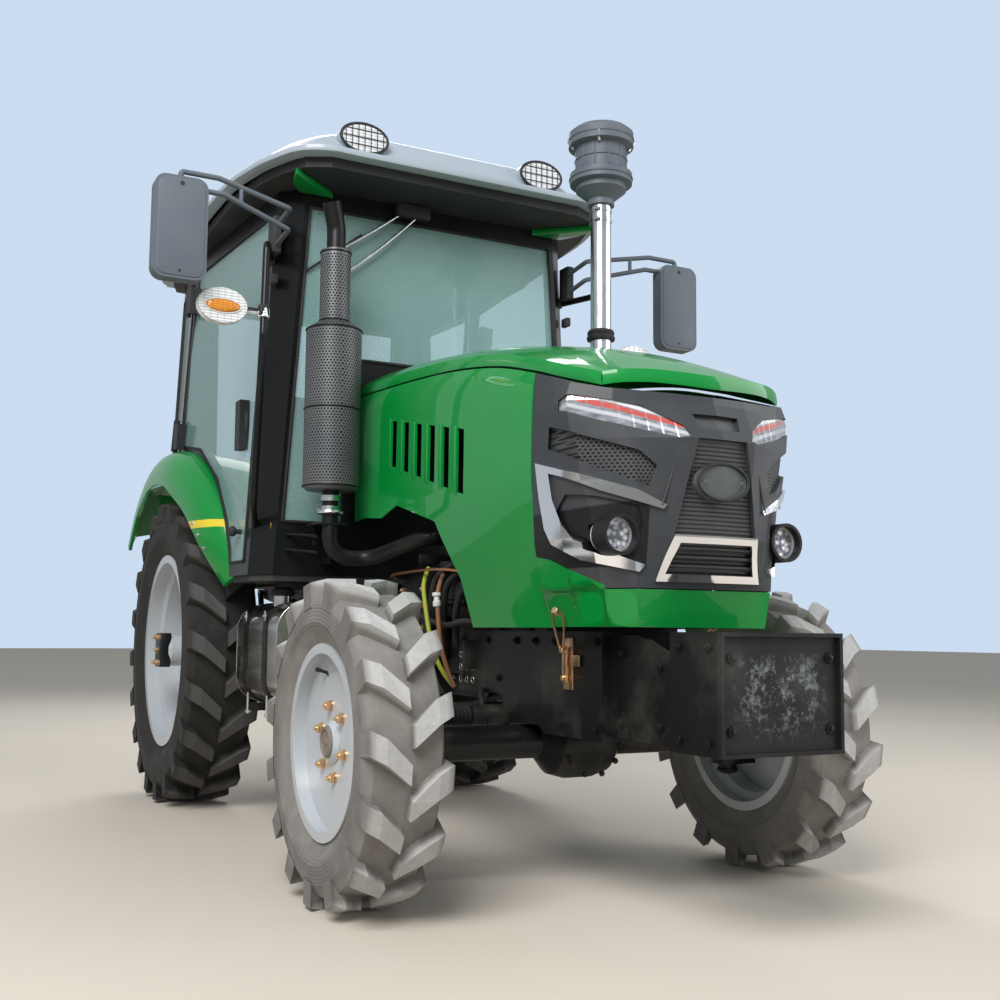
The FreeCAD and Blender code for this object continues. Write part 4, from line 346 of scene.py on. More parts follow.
def moulded(name, colour, gloss=0.42, grain=0.0006, dusting=0.1):
    """Moulded plastic with its fine leather grain."""
    dust = bpy.context.scene.tractor_colours.dust
    paint = Paint(name)
    cloud = paint.noise(4.0, 4.0)
    pebbles = paint.put("TexVoronoi", {}, {"Vector": paint.place, "Scale": 420.0})
    dirt = paint.between(cloud, 0.48, 0.8) * dusting
    paint.set(Base_Color=paint.mix(dirt, colour, tuple(dust)),
              Roughness=paint.scaled(cloud, 0.3, 0.7, gloss, gloss + 0.12), Specular_IOR_Level=0.28,
              Normal=paint.bump(pebbles, grain, 0.35))
    return paint


def mask_plastic(name, colour):
    """The mask's moulded plastic, painted near-black in the recessed bays of the fog lamps as painted shade."""
    paint = moulded(name, colour, 0.36)
    x, y, z = paint.axes()
    wide = abs(x)
    bay = (paint.between(wide, 0.196, 0.199) * paint.between(z, 0.958, 0.962)
           * paint.between(z - (0.355 - wide) * 0.16, 1.118, 1.112) * paint.between(y, -1.822, -1.816))
    # Painted shade: the recessed bays round the fog lamps are painted near-black.
    paint.set(Base_Color=paint.mix(bay, paint.base(), PAINTED_SHADE_BLACK))
    return paint


def tyre_rubber(name, wheel, top, flank, wall):
    """Tyre rubber of one wheel: paler lug tops, darker, browner flanks and grooves, ribs round the wall."""
    spec = WHEELS[wheel]
    centre = spec["centre"]
    paint = Paint(name)
    x, y, z = paint.axes()
    dy = y - centre.y
    dz = z - centre.z
    reach = (dy * dy + dz * dz) ** 0.5
    across = abs(x - centre.x)
    radius = centre.z
    cloud = paint.noise(7, 6.0, 0.65)
    fine = paint.noise(55, 5.0, 0.7)
    crown = paint.between(reach, radius - 0.026, radius - 0.01) * paint.between(
        across, spec["half"] + 0.004, spec["half"] - 0.022)
    outer = paint.between(across, spec["half"] * 0.86, spec["half"] * 0.97)
    soft = paint.scaled(cloud, 0.3, 0.72, 0.0, 1.0)
    side = paint.mix(soft * 0.75, wall, flank)
    tread = paint.mix(soft, flank, tuple(v * 0.55 for v in flank))
    body = paint.mix(outer, tread, side)
    # Lug tops paler than the flanks and grooves, with darker specks.
    lug_top_tone = paint.mix(paint.between(fine, 0.35, 0.75) * 0.5, top, tuple(v * 0.62 for v in top))
    share = crown * paint.scaled(cloud, 0.25, 0.6, 0.62, 1.0)
    ribs = paint.between(abs((reach * 95.0) % 1.0 - 0.5), 0.3, 0.2) * outer * paint.between(
        reach, radius - 0.075, radius - 0.085)
    paint.set(Base_Color=paint.mix(share, body, lug_top_tone),
              Roughness=paint.scaled(cloud, 0.3, 0.7, 0.6, 0.84), Specular_IOR_Level=0.3,
              Normal=paint.bump(ribs * 0.8 + fine * 0.25, 0.0025, 0.6))
    return paint


def enamel(name, colour, chips=(0.3, 0.22, 0.14)):
    """White enamel with fine dirt specks and rust-brown marks."""
    paint = Paint(name)
    cloud = paint.noise(6.0, 5.0)
    speck = paint.between(paint.noise(38, 5.0, 0.75), 0.66, 0.74)
    dirt = paint.between(cloud, 0.5, 0.8) * 0.22
    base = paint.mix(dirt, colour, (0.42, 0.4, 0.36))
    paint.set(Base_Color=paint.mix(speck * 0.3, base, chips),
              Roughness=paint.scaled(cloud, 0.3, 0.7, 0.28, 0.42), Coat_Weight=0.6, Coat_Roughness=0.12,
              Normal=paint.bump(cloud, 0.001, 0.3))
    return paint


def bare_metal(name, colour, gloss=0.22, streaks=(1.0, 1.0, 1.0), patchy=0.12, tint=None):
    """Rolled or plated metal with streaks along its length."""
    paint = Paint(name)
    cloud = paint.noise(4.5, 5.0)
    lines = paint.noise(26, 6.0, 0.7, streaks)
    other = tint or tuple(v * 0.72 for v in colour)
    paint.set(Base_Color=paint.mix(paint.between(cloud, 0.4, 0.72), colour, other), Metallic=1.0,
              Roughness=paint.scaled(lines, 0.3, 0.7, gloss, gloss + patchy),
              Normal=paint.bump(lines, 0.0005, 0.25))
    return paint


# Radius of the guard's narrow upper part.
TIP_RADIUS = 0.058


def perforated_round(name, colour, pitch):
    """Perforated sheet round the upright muffler, its holes in staggered rows, painted near-black as painted shade
    of the space behind them.
    """
    low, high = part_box("muffler_guard")
    centre = (low + high) / 2
    paint = Paint(name)
    x, y, z = paint.axes()
    turn = x.worked("ARCTAN2", x - centre.x, y - centre.y)
    reach = ((x - centre.x) ** 2.0 + (y - centre.y) ** 2.0) ** 0.5
    wide = paint.between(reach, 0.08, 0.09)
    across = turn * ((high.x - low.x) * 0.5) * wide + turn * TIP_RADIUS * (1.0 - wide)
    body = paint.between(z, low.z + 0.022, low.z + 0.024) * paint.between(z, high.z - 0.02, high.z - 0.022)
    holes = paint.spots(across, z, pitch, 0.33) * body
    base = paint.mix(paint.between(paint.noise(5, 4.0), 0.35, 0.75) * 0.35, colour, (0.2, 0.19, 0.18))
    # The holes are painted near-black: painted shade of the space behind the sheet.
    paint.set(Base_Color=paint.mix(holes, base, PAINTED_SHADE_BLACK), Roughness=holes * 0.4 + 0.42,
              Metallic=0.35, Normal=paint.bump(1.0 - holes, 0.002, 0.7))
    return paint


def perforated_flat(name, colour, pitch=0.011):
    """Perforated grille sheet seen from the front, with staggered holes, its holes and slots painted near-black as
    painted shade of the space behind them.
    """
    paint = Paint(name)
    x, y, z = paint.axes()
    centre = paint.between(abs(x), 0.17, 0.168)
    holes = paint.spots(x, z, pitch, 0.36)
    slots = paint.between(abs((z / 0.0115) % 1.0 - 0.5), 0.2, 0.13) * paint.between(z, 1.3, 1.28)
    cross = paint.between(abs((x / 0.01) % 1.0 - 0.5), 0.4, 0.46)
    weave = slots * (1.0 - cross * 0.65)
    mask = holes * (1.0 - centre) + weave * centre
    # Holes and slots painted near-black: painted shade of the space behind the grille.
    paint.set(Base_Color=paint.mix(mask, colour, (0.004, 0.004, 0.004)),
              Roughness=mask * 0.35 + 0.48, Normal=paint.bump(1.0 - mask, 0.002, 0.8))
    return paint


def tinted_glass(name, tint, share):
    """Pale green cab glass; its seal makes the dark edge."""
    paint = Paint(name)
    paint.set(Base_Color=tint, Alpha=share, Roughness=0.03, IOR=1.5, Coat_Weight=1.0, Coat_Roughness=0.02)
    return paint


def headlight_lens(name, red):
    """Head lamps behind their clear cover, with bright bars and a red row, and the fog lamps."""
    paint = Paint(name)
    x, y, z = paint.axes()
    wide = abs(x)
    up = (z - 1.3 - (wide - 0.134) * 0.299) / 0.066
    cells = paint.between(abs((wide * 30.0) % 1.0 - 0.5), 0.47, 0.36)
    bar = paint.between(up, 0.78, 0.84) * paint.between(up, 1.02, 0.94)
    glow = paint.between(up, 0.5, 0.56) * paint.between(up, 0.8, 0.72) * paint.between(wide, 0.372, 0.35)
    streak = paint.between(paint.noise(30, 4.0, 0.6, (1.0, 1.0, 3.0)), 0.35, 0.7)
    silver = paint.mix(streak, (0.34, 0.36, 0.4), (0.12, 0.13, 0.15))
    base = paint.mix(glow * (0.55 + cells * 0.35), silver, red)
    base = paint.mix(bar, base, (0.8, 0.82, 0.86))
    low = paint.between(up, 0.2, 0.26) * paint.between(up, 0.42, 0.36)
    base = paint.mix(low * 0.8, base, (0.66, 0.68, 0.72))
    fog = paint.between(z, 1.2, 1.19)
    dx = wide - 0.276
    dz = z - 1.043
    ring = (dx * dx + dz * dz) ** 0.5
    facets = paint.put("TexVoronoi", {}, {"Vector": paint.place, "Scale": 62.0})
    led = paint.mix(paint.between(facets, 0.2, 0.6), (0.72, 0.75, 0.8), (0.12, 0.12, 0.14))
    led = paint.mix(paint.between(ring, 0.036, 0.039), led, (0.5, 0.5, 0.52))
    paint.set(Base_Color=paint.mix(fog, base, led), Metallic=0.25,
              Roughness=0.16, Coat_Weight=1.0, Coat_Roughness=0.01,
              Normal=paint.bump(cells * 0.3 * (1.0 - fog) + facets * fog, 0.003, 0.6))
    return paint


def ribbed_lens(name, colour, pitch=0.011, share=1.0):
    """Clear moulded lens with ribs across it."""
    paint = Paint(name)
    x, y, z = paint.axes()
    ribs = abs((z / pitch) % 1.0 - 0.5)
    cell = abs((x / (pitch * 2.3)) % 1.0 - 0.5)
    shade = paint.between(ribs, 0.12, 0.4) * 0.6 + paint.between(cell, 0.3, 0.5) * 0.3
    paint.set(Base_Color=paint.mix(shade, colour, tuple(v * 0.45 for v in colour)),
              Metallic=0.15, Roughness=0.12, Coat_Weight=share, Coat_Roughness=0.02,
              Normal=paint.bump(ribs + cell * 0.4, 0.003, 0.7))
    return paint


def woven_cloth(name, colour):
    """Plain woven seat cloth with a soft sheen."""
    paint = Paint(name)
    x, y, z = paint.axes()
    warp = abs((x * 420.0) % 1.0 - 0.5)
    weft = abs(((y + z) * 420.0) % 1.0 - 0.5)
    cloud = paint.noise(5, 4.0)
    base = paint.mix(paint.between(warp * weft, 0.02, 0.16), colour, tuple(v * 1.9 for v in colour))
    base = paint.mix(paint.between(cloud, 0.5, 0.8) * 0.2, base, (0.26, 0.25, 0.23))
    paint.set(Base_Color=base, Roughness=0.86, Sheen_Weight=0.35, Normal=paint.bump(warp + weft, 0.0006, 0.6))
    return paint


def concrete(name, colour):
    """Pale swept floor with soft cloudy patches."""
    paint = Paint(name)
    cloud = paint.noise(0.7, 6.0, 0.6)
    paint.set(Base_Color=paint.mix(paint.between(cloud, 0.3, 0.75) * 0.35, colour,
                                   tuple(v * 0.86 for v in colour)),
              Roughness=0.78, Normal=paint.bump(paint.noise(45, 3.0), 0.001, 0.15))
    return paint


# Each finish: its slot, its recipe, its colour or the user's value for it, and the recipe's other values.
FINISHES = {
    "green": ("green_paint", coated_paint, "green"),
    "fender_green": ("green_paint", fender_paint, "green", "stripe"),
    "mask_grey": ("grey_paint", mask_plastic, "mask"),
    "frame_black": ("black_paint", satin_black, "black"),
    "ballast_black": ("black_paint", satin_black, "black", 0.42, 0.2, True),
    "cab_black": ("black_paint", satin_black, "black", 0.24, 0.06),
    "engine_black": ("black_paint", satin_black, (0.01, 0.01, 0.01), 0.5, 0.18),
    "grey_plastic": ("black_plastic", moulded, "plastic", 0.44),
    "dark_plastic": ("black_plastic", moulded, (0.022, 0.023, 0.025), 0.5),
    "rubber_black": ("black_plastic", moulded, (0.014, 0.014, 0.014), 0.62),
    "rim_white": ("white_paint", enamel, "rim"),
    "steel": ("bright_steel", bare_metal, (0.62, 0.64, 0.66), 0.2, (1.0, 1.0, 0.15)),
    "tank_steel": ("tank_metal", bare_metal, (0.66, 0.635, 0.6), 0.16, (1.0, 0.08, 1.0), 0.12,
                   (0.52, 0.49, 0.45)),
    "chrome": ("chrome", bare_metal, (0.86, 0.87, 0.89), 0.05, (1.0, 1.0, 1.0), 0.04, (0.8, 0.81, 0.84)),
    "zinc_gold": ("bright_steel", bare_metal, (0.8, 0.58, 0.32), 0.28, (1.0, 1.0, 1.0), 0.12,
                  (0.72, 0.46, 0.28)),
    "hub_brown": ("black_paint", moulded, (0.19, 0.165, 0.14), 0.6, 0.001, 0.3),
    "guard_sheet": ("black_paint", perforated_round, (0.105, 0.112, 0.118), 0.0125),
    "grille_sheet": ("black_plastic", perforated_flat, (0.05, 0.053, 0.056)),
    "plate_grey": ("plate_grey", moulded, (0.095, 0.105, 0.11), 0.34, 0.0002, 0.05),
    "head_lens": ("lens", headlight_lens, (0.62, 0.07, 0.045)),
    "clear_lens": ("lens", ribbed_lens, (0.88, 0.89, 0.9)),
    "orange_lens": ("lens", ribbed_lens, (0.86, 0.3, 0.02), 0.008),
    "red_lens": ("red_lens", ribbed_lens, (0.5, 0.012, 0.01), 0.009),
    "cab_glass": ("glass", tinted_glass, "glass", 0.3),
    "door_glass": ("glass", tinted_glass, "glass", 0.34),
    "roof_silver": ("silver_roof", coated_paint, "roof", 0.3, 0.5, 0.05),
    "cloth": ("seat_cloth", woven_cloth, "cloth"),
    "tag_yellow": ("white_paint", moulded, (0.75, 0.5, 0.02), 0.4, 0.0002, 0.05),
    "hose_green": ("green_paint", moulded, (0.3, 0.33, 0.03), 0.4, 0.0003, 0.1),
    "hose_brown": ("black_plastic", moulded, (0.2, 0.09, 0.04), 0.4, 0.0003, 0.1),
    "copper": ("bright_steel", bare_metal, (0.55, 0.26, 0.15), 0.3),
    "white_fitting": ("white_paint", moulded, (0.62, 0.62, 0.6), 0.4, 0.0002, 0.15),
}
# Lug tops, flanks and wall of the tyres; the front ones are dusty.
TYRE_SHADES = {
    "front": ((0.46, 0.455, 0.445), (0.26, 0.245, 0.225), (0.115, 0.108, 0.102)),
    "rear": ((0.075, 0.073, 0.07), (0.028, 0.026, 0.023), (0.02, 0.019, 0.018)),
}
PAINTS = {}


def finish_of(name):
    """The material of a finish, made when it is first asked for."""
    if name not in PAINTS:
        hues = bpy.context.scene.tractor_colours
        wheel = name.removeprefix("rubber_")
        if wheel in WHEELS:
            paint = tyre_rubber(name, wheel, *TYRE_SHADES[WHEELS[wheel]["axle"]])
        else:
            recipe, *values = FINISHES[name][1:]
            paint = recipe(name, *(tuple(getattr(hues, value)) if isinstance(value, str) else value
                                   for value in values))
        PAINTS[name] = paint.material
    return PAINTS[name]


# Modelling by operators


def clear_pick():
    """Leaves nothing selected, in object mode."""
    if bpy.context.object and bpy.context.object.mode != "OBJECT":
        bpy.ops.object.mode_set(mode="OBJECT")
    bpy.ops.object.select_all(action="DESELECT")


def pick(*pieces):
    """Selects pieces and makes the first one active."""
    clear_pick()
    for piece in pieces:
        piece.select_set(True)
    bpy.context.view_layer.objects.active = pieces[0]


def named(name):
    """Names the piece that an operator just added and sets its mesh at the origin."""
    piece = bpy.context.object
    piece.name = name
    piece.data.name = name
    bpy.ops.object.transform_apply(location=True, rotation=True, scale=True)
    return piece


def turned(name, rows, sides=32):
    """A round piece drawn out along Z from rows of radius and height."""
    clear_pick()
    radius, height = rows[0]
    bpy.ops.mesh.primitive_circle_add(vertices=sides, radius=radius, fill_type="NGON", location=(0, 0, height))
    piece = named(name)
    bpy.ops.object.mode_set(mode="EDIT")
    bpy.ops.mesh.select_all(action="SELECT")
    for (near, low), (far, high) in zip(rows, rows[1:]):
        bpy.ops.mesh.extrude_region_move(TRANSFORM_OT_translate={"value": (0, 0, high - low)})
        bpy.ops.transform.resize(value=(far / near, far / near, 1), center_override=(0, 0, high))
    bpy.ops.mesh.select_all(action="SELECT")
    bpy.ops.mesh.normals_make_consistent(inside=False)
    bpy.ops.object.mode_set(mode="OBJECT")
    return piece


def slab(name, corners, depth, plane="XZ"):
    """A flat piece from its outline, drawn out by a depth."""
    clear_pick()
    bpy.ops.mesh.primitive_circle_add(vertices=len(corners), radius=1, fill_type="NGON")
    piece = named(name)
    bpy.ops.object.mode_set(mode="EDIT")
    form = bmesh.from_edit_mesh(piece.data)
    form.verts.ensure_lookup_table()
    order = {"XZ": (0, 2), "YZ": (1, 2), "XY": (0, 1)}[plane]
    for vert, corner in zip(form.verts, corners):
        spot = list(corner[2:3]) if len(corner) > 2 else [0.0]
        vert.co = Vector((spot[0],) * 3)
        vert.co[order[0]] = corner[0]
        vert.co[order[1]] = corner[1]
    bmesh.update_edit_mesh(piece.data)
    bpy.ops.mesh.select_all(action="SELECT")
    value = [0.0, 0.0, 0.0]
    value[3 - sum(order)] = depth
    bpy.ops.mesh.extrude_region_move(TRANSFORM_OT_translate={"value": value})
    bpy.ops.mesh.select_all(action="SELECT")
    bpy.ops.mesh.normals_make_consistent(inside=False)
    bpy.ops.object.mode_set(mode="OBJECT")
    return piece


def block(name, low, high):
    """A box between two corners, still to be eased or shaped."""
    clear_pick()
    low, high = Vector(low), Vector(high)
    bpy.ops.mesh.primitive_cube_add(size=1, location=(low + high) / 2, scale=high - low)
    return named(name)


def tube(name, points, radius, sides=5, straight=False):
    """A fixed pipe or bar along points, its corners rounded by its own curve."""
    clear_pick()
    bpy.ops.curve.primitive_nurbs_path_add()
    piece = bpy.context.object
    piece.name = name
    line = piece.data
    line.splines.clear()
    spline = line.splines.new("POLY" if straight else "NURBS")
    spline.points.add(len(points) - 1)
    for spot, target in zip(spline.points, points):
        spot.co = (*target, 1)
    if not straight:
        spline.order_u = 3
        spline.use_endpoint_u = True
        spline.resolution_u = 8
    line.bevel_depth = radius
    line.bevel_resolution = sides - 3
    line.use_fill_caps = True
    bpy.ops.object.convert(target="MESH")
    return bpy.context.object


def eased(piece, width, segments=2):
    """Rounds a piece's sharp edges."""
    pick(piece)
    bevel = piece.modifiers.new("ease", "BEVEL")
    bevel.width = width
    bevel.segments = segments
    bevel.limit_method = "ANGLE"
    bpy.ops.object.modifier_apply(modifier="ease")
    return piece


def stood(rows, sides, *places):
    """A round piece from its rows, repeated at places, each a spot and the direction it points in."""
    return copies(turned("round", rows, sides), [set_at(spot, toward) for spot, toward in places])


def copies(piece, matrices):
    """A piece repeated at each place, joined into one."""
    made = []
    for matrix in matrices:
        pick(piece)
        bpy.ops.object.duplicate()
        twin = bpy.context.object
        twin.matrix_world = matrix
        made.append(twin)
    bpy.data.objects.remove(piece)
    pick(*made)
    if len(made) > 1:
        bpy.ops.object.join()
    bpy.ops.object.transform_apply(location=True, rotation=True, scale=True)
    return bpy.context.object


def around(count, start=0.0):
    """Turns spread evenly round a circle."""
    return [start + math.tau * i / count for i in range(count)]


def mirrored(rows):
    """Rows of points of the left side, led by the same rows for the right."""
    return [[(x * sign, y, z) for x, y, z in row] for sign in SIGNS for row in rows]


def corner_line(corners, radius, step, parts):
    """An outline's points round its four corners, each a centre and the degrees where it starts."""
    line = []
    for across, up, start in corners:
        for part in range(parts):
            turn = math.radians(start + part * step)
            line.append((across + radius * math.cos(turn), up + radius * math.sin(turn)))
    return line


def set_at(spot, toward, roll=0.0):
    """A matrix that stands a piece made along Z at a spot, pointing in a direction."""
    turn = Vector((0, 0, 1)).rotation_difference(Vector(toward)).to_matrix().to_4x4()
    return Matrix.Translation(Vector(spot)) @ turn @ Matrix.Rotation(roll, 4, "Z")


def flow(points, steps, closed=False):
    """Points of a soft curve through the given ones."""
    count = len(points)
    line = []
    for i in range(count if closed else count - 1):
        if closed:
            a, b, c, d = (points[(i + k) % count] for k in (-1, 0, 1, 2))
        else:
            a, b, c, d = (points[min(max(i + k, 0), count - 1)] for k in (-1, 0, 1, 2))
        for step in range(steps):
            t = step / steps
            line.append(b + ((c - a) * t + (a * 2 - b * 5 + c * 4 - d) * t * t
                             + (b * 3 - a - c * 3 + d) * t * t * t) * 0.5)
    return line if closed else line + [points[-1]]


def skin(name, rows, across=3, along=3, thick=0.005, closed=False, cutters=()):
    """A curved sheet through rows of points, given its thickness and its openings."""
    rows = [flow([Vector(spot) for spot in row], across, closed) for row in rows]
    lanes = [flow(list(lane), along) for lane in zip(*rows)]
    if closed:
        lanes.append(lanes[0])
    wide, long = len(lanes) - 1, len(lanes[0]) - 1
    clear_pick()
    bpy.ops.mesh.primitive_grid_add(x_subdivisions=wide, y_subdivisions=long, size=2)
    piece = named(name)
    bpy.ops.object.mode_set(mode="EDIT")
    form = bmesh.from_edit_mesh(piece.data)
    for vert in form.verts:
        i = round((vert.co.x + 1) / 2 * wide)
        j = round((vert.co.y + 1) / 2 * long)
        vert.co = lanes[i][j]
    bmesh.update_edit_mesh(piece.data)
    bpy.ops.mesh.select_all(action="SELECT")
    bpy.ops.mesh.remove_doubles(threshold=0.00001)
    bpy.ops.mesh.normals_make_consistent(inside=False)
    bpy.ops.object.mode_set(mode="OBJECT")
    sheet = piece.modifiers.new("sheet", "SOLIDIFY")
    sheet.thickness = thick
    sheet.offset = -1
    sheet.use_even_offset = not closed
    pick(piece)
    bpy.ops.object.modifier_apply(modifier="sheet")
    return opened(piece, cutters)


def opened(piece, cutters):
    """Cuts openings into a piece and takes the cutters away."""
    for cutter in cutters:
        hole = piece.modifiers.new("hole", "BOOLEAN")
        hole.operation = "DIFFERENCE"
        hole.object = cutter
        hole.solver = "EXACT"
        pick(piece)
        bpy.ops.object.modifier_apply(modifier="hole")
        bpy.data.objects.remove(cutter)
    return piece


def joined(*pieces):
    """Several pieces as one."""
    pick(*pieces)
    if len(pieces) > 1:
        bpy.ops.object.join()
    return bpy.context.object


def rod(name, start, end, radius, sides=16):
    """A round bar with eased ends between two points."""
    start, end = Vector(start), Vector(end)
    length = (end - start).length
    piece = turned(name, ((radius * 0.85, 0), (radius, radius * 0.15), (radius, length - radius * 0.15),
                          (radius * 0.85, length)), sides)
    return copies(piece, [set_at(start, end - start)])


def ring(name, centre, radius, thick, axis=(0, 0, 1), sides=40):
    """A round wire ring about an axis."""
    clear_pick()
    bpy.ops.mesh.primitive_torus_add(major_radius=radius, minor_radius=thick, major_segments=sides,
                                     minor_segments=10)
    piece = named(name)
    return copies(piece, [set_at(centre, axis)])


def shell_copy(node, name, angle):
    """A carried-over node's mesh as a merged copy, smooth across its shallow edges."""
    pick(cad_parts[node])
    bpy.ops.object.duplicate()
    piece = bpy.context.object
    bpy.ops.object.mode_set(mode="EDIT")
    bpy.ops.mesh.select_all(action="SELECT")
    bpy.ops.mesh.remove_doubles(threshold=0.00005)
    bpy.ops.mesh.normals_make_consistent(inside=False)
    bpy.ops.object.mode_set(mode="OBJECT")
    piece.name = name
    bpy.ops.object.shade_smooth_by_angle(angle=math.radians(angle))
    return piece


def at(table, key):
    """A value between the rows of a table of key and value."""
    for (low, first), (high, second) in zip(table, table[1:]):
        if low <= key <= high:
            return first + (second - first) * (key - low) / (high - low)
    return table[0][1] if key < table[0][0] else table[-1][1]


def given(piece, name, finish, angle=32, body="chassis"):
    """Names a finished piece and gives it its finish and body."""
    pick(piece)
    bpy.ops.object.transform_apply(location=True, rotation=True, scale=True)
    bpy.ops.object.shade_smooth_by_angle(angle=math.radians(angle))
    piece.name = name
    piece.data.name = name
    piece.data.materials.clear()
    piece.data.materials.append(finish_of(finish))
    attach(piece, body)
    return piece


def hex_bolt(name, across, height, washer=1.25):
    """A hexagon bolt head on its washer, with the end of its shank."""
    head = turned(name + "_head", ((across * 0.5, height * 0.25), (across * 0.577, height * 0.32),
                                   (across * 0.577, height * 0.9), (across * 0.5, height)), 6)
    ring = turned(name + "_washer", ((across * 0.5 * washer * 1.1, 0.0),
                                     (across * 0.5 * washer * 1.1, height * 0.25)), 20)
    shank = turned(name + "_shank", ((across * 0.26, height * 0.9), (across * 0.26, height * 1.35),
                                     (across * 0.18, height * 1.45)), 12)
    pick(head, ring, shank)
    bpy.ops.object.join()
    return bpy.context.object


# The tractor's pieces

NODE_FINISHES = {
    "green": ("hood", "hood_lower_front"),
    "fender_green": ("fender_left", "fender_right"),
    "mask_grey": ("mask",),
    "frame_black": ("front_frame", "front_axle_beam", "knuckle_left", "knuckle_right", "lower_links",
                    "rockshaft", "lift_rods", "drawbar", "top_link", "left_steps", "tank_straps",
                    "exhaust_pipe"),
    "ballast_black": ("ballast_box",),
    "engine_black": ("engine", "gearbox", "rear_axle_housing", "lift_housing"),
    "cab_black": ("cab_frame", "grab_tubes"),
    "dark_plastic": ("cab_floor", "dashboard", "steering_wheel", "roof_liner", "door_fittings_left",
                     "door_fittings_right"),
    "grey_plastic": ("mirrors", "precleaner"),
    "grille_sheet": ("grille_mesh",),
    "guard_sheet": ("muffler_guard",),
    "chrome": ("chrome_trim",),
    "plate_grey": ("oval_plate",),
    "head_lens": ("front_lamps",),
    "clear_lens": ("cab_lamps",),
    "red_lens": ("tail_lamps",),
    "steel": ("intake_pipe", "steering_rod", "pto_shaft"),
    "tank_steel": ("fuel_tank",),
    "cab_glass": ("cab_windows",),
    "door_glass": ("door_glass_left", "door_glass_right"),
    "roof_silver": ("cab_roof",),
    "cloth": ("seat_cushion", "seat_back"),
}


class TRACTOR_OT_finishes(bpy.types.Operator):
    """Gives every carried-over node its finish"""

    bl_idname = "tractor.finishes"
    bl_label = "Finishes"

    def execute(self, context):
        chosen = {node: finish for finish, nodes in NODE_FINISHES.items() for node in nodes}
        for wheel, spec in WHEELS.items():
            chosen[spec["axle"] + "_tyre_" + spec["side"]] = "rubber_" + wheel
            chosen[spec["axle"] + "_rim_" + spec["side"]] = "rim_white"
        for node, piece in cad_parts.items():
            piece.data.materials.clear()
            piece.data.materials.append(finish_of(chosen[node]))
        return {"FINISHED"}


# Finish of each axle's hub cap and its rows of radius and height.
HUB_CAPS = {
    "front": ("hub_brown", ((0.046, 0.0), (0.046, 0.004), (0.04, 0.009), (0.037, 0.009), (0.034, 0.004),
                            (0.012, 0.003), (0.01, 0.006), (0.004, 0.007))),
    "rear": ("engine_black", ((0.058, 0.0), (0.058, 0.004), (0.052, 0.01), (0.026, 0.011), (0.024, 0.03),
                              (0.02, 0.034), (0.008, 0.034))),
}


class TRACTOR_OT_wheel_fittings(bpy.types.Operator):
    """Adds the wheels' bolts, hub caps, hub blocks and valves"""

    bl_idname = "tractor.wheel_fittings"
    bl_label = "Wheel fittings"

    def execute(self, context):
        for wheel, spec in WHEELS.items():
            front = spec["axle"] == "front"
            sign = spec["sign"]
            outward = Vector((sign, 0, 0))
            centre = spec["centre"]
            face = 0.054 if front else -0.03
            circles = ((6, 0.103, 0.024, 0.3),) if front else ((6, 0.108, 0.024, 0.1), (4, 0.245, 0.026, 0.6))
            for number, (count, radius, across, start) in enumerate(circles):
                spots = []
                for turn in around(count, start):
                    spot = centre + Vector((face * sign, radius * math.cos(turn), radius * math.sin(turn)))
                    spots.append(set_at(spot, outward, turn))
                bolts = copies(hex_bolt("bolt", across, 0.019), spots)
                given(bolts, "%s_bolts_%d" % (wheel, number), "zinc_gold", body=wheel)
            hub = 0.072 if front else 0.112
            tone, rows = HUB_CAPS[spec["axle"]]
            cap = stood(rows, 32, (centre + outward * hub, outward))
            given(cap, wheel + "_cap", tone, body=wheel)
            if not front:
                block_low = centre + Vector((0.1 * sign, -0.058, -0.078))
                block_high = centre + Vector((0.15 * sign, 0.058, 0.078))
                plate = eased(block("hub_block", block_low, block_high), 0.006)
                given(plate, wheel + "_hub_block", "frame_black", 40, body=wheel)
                nuts = [set_at(centre + Vector((0.1485 * sign, y, z)), outward) for y, z in
                        ((-0.042, 0.058), (0.042, 0.058), (-0.042, -0.058), (0.042, -0.058), (0.0, 0.0))]
                given(copies(hex_bolt("nut", 0.02, 0.014), nuts), wheel + "_hub_nuts", "zinc_gold", body=wheel)
            stem_at = centre + Vector(((0.045 if front else 0.02) * sign, 0.06, 0.19 if front else 0.335))
            stem = stood(((0.011, 0.0), (0.011, 0.006), (0.005, 0.01), (0.005, 0.032), (0.0065, 0.034),
                          (0.0065, 0.046), (0.004, 0.048)), 14, (stem_at, (sign, 0.25, 0.35)))
            given(stem, wheel + "_valve", "rubber_black", body=wheel)
        return {"FINISHED"}


class TRACTOR_OT_ballast_fittings(bpy.types.Operator):
    """Adds the ballast box's bolts"""

    bl_idname = "tractor.ballast_fittings"
    bl_label = "Ballast fittings"

    def execute(self, context):
        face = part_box("ballast_box")[0].y + 0.0165
        spots = [set_at((x, face, z), (0, -1, 0), 0.3 * x) for x in (-0.154, 0.154) for z in (0.728, 0.552)]
        bolts = copies(hex_bolt("bolt", 0.024, 0.011, 1.5), spots)
        given(bolts, "ballast_bolts", "frame_black")
        return {"FINISHED"}


# Hood: place along the tractor, crest, seam and half width at the lower edge.
HOOD_ROWS = ((0.03, 1.862, 1.715, 0.31), (-0.385, 1.825, 1.69, 0.31), (-0.82, 1.764, 1.652, 0.308),
             (-1.16, 1.697, 1.6, 0.296), (-1.41, 1.636, 1.536, 0.272))
CREST = ((-1.8, 1.484), (-1.717, 1.527), (-1.56, 1.588), (-1.41, 1.636))
SEAM = ((-1.83, 1.4245), (-1.717, 1.441), (-1.56, 1.489), (-1.41, 1.536))
# The nose's front edge: share of the half width and place along the tractor.
NOSE = ((0.0, -1.8), (0.44, -1.786), (0.71, -1.762), (0.9, -1.735), (1.0, -1.712))
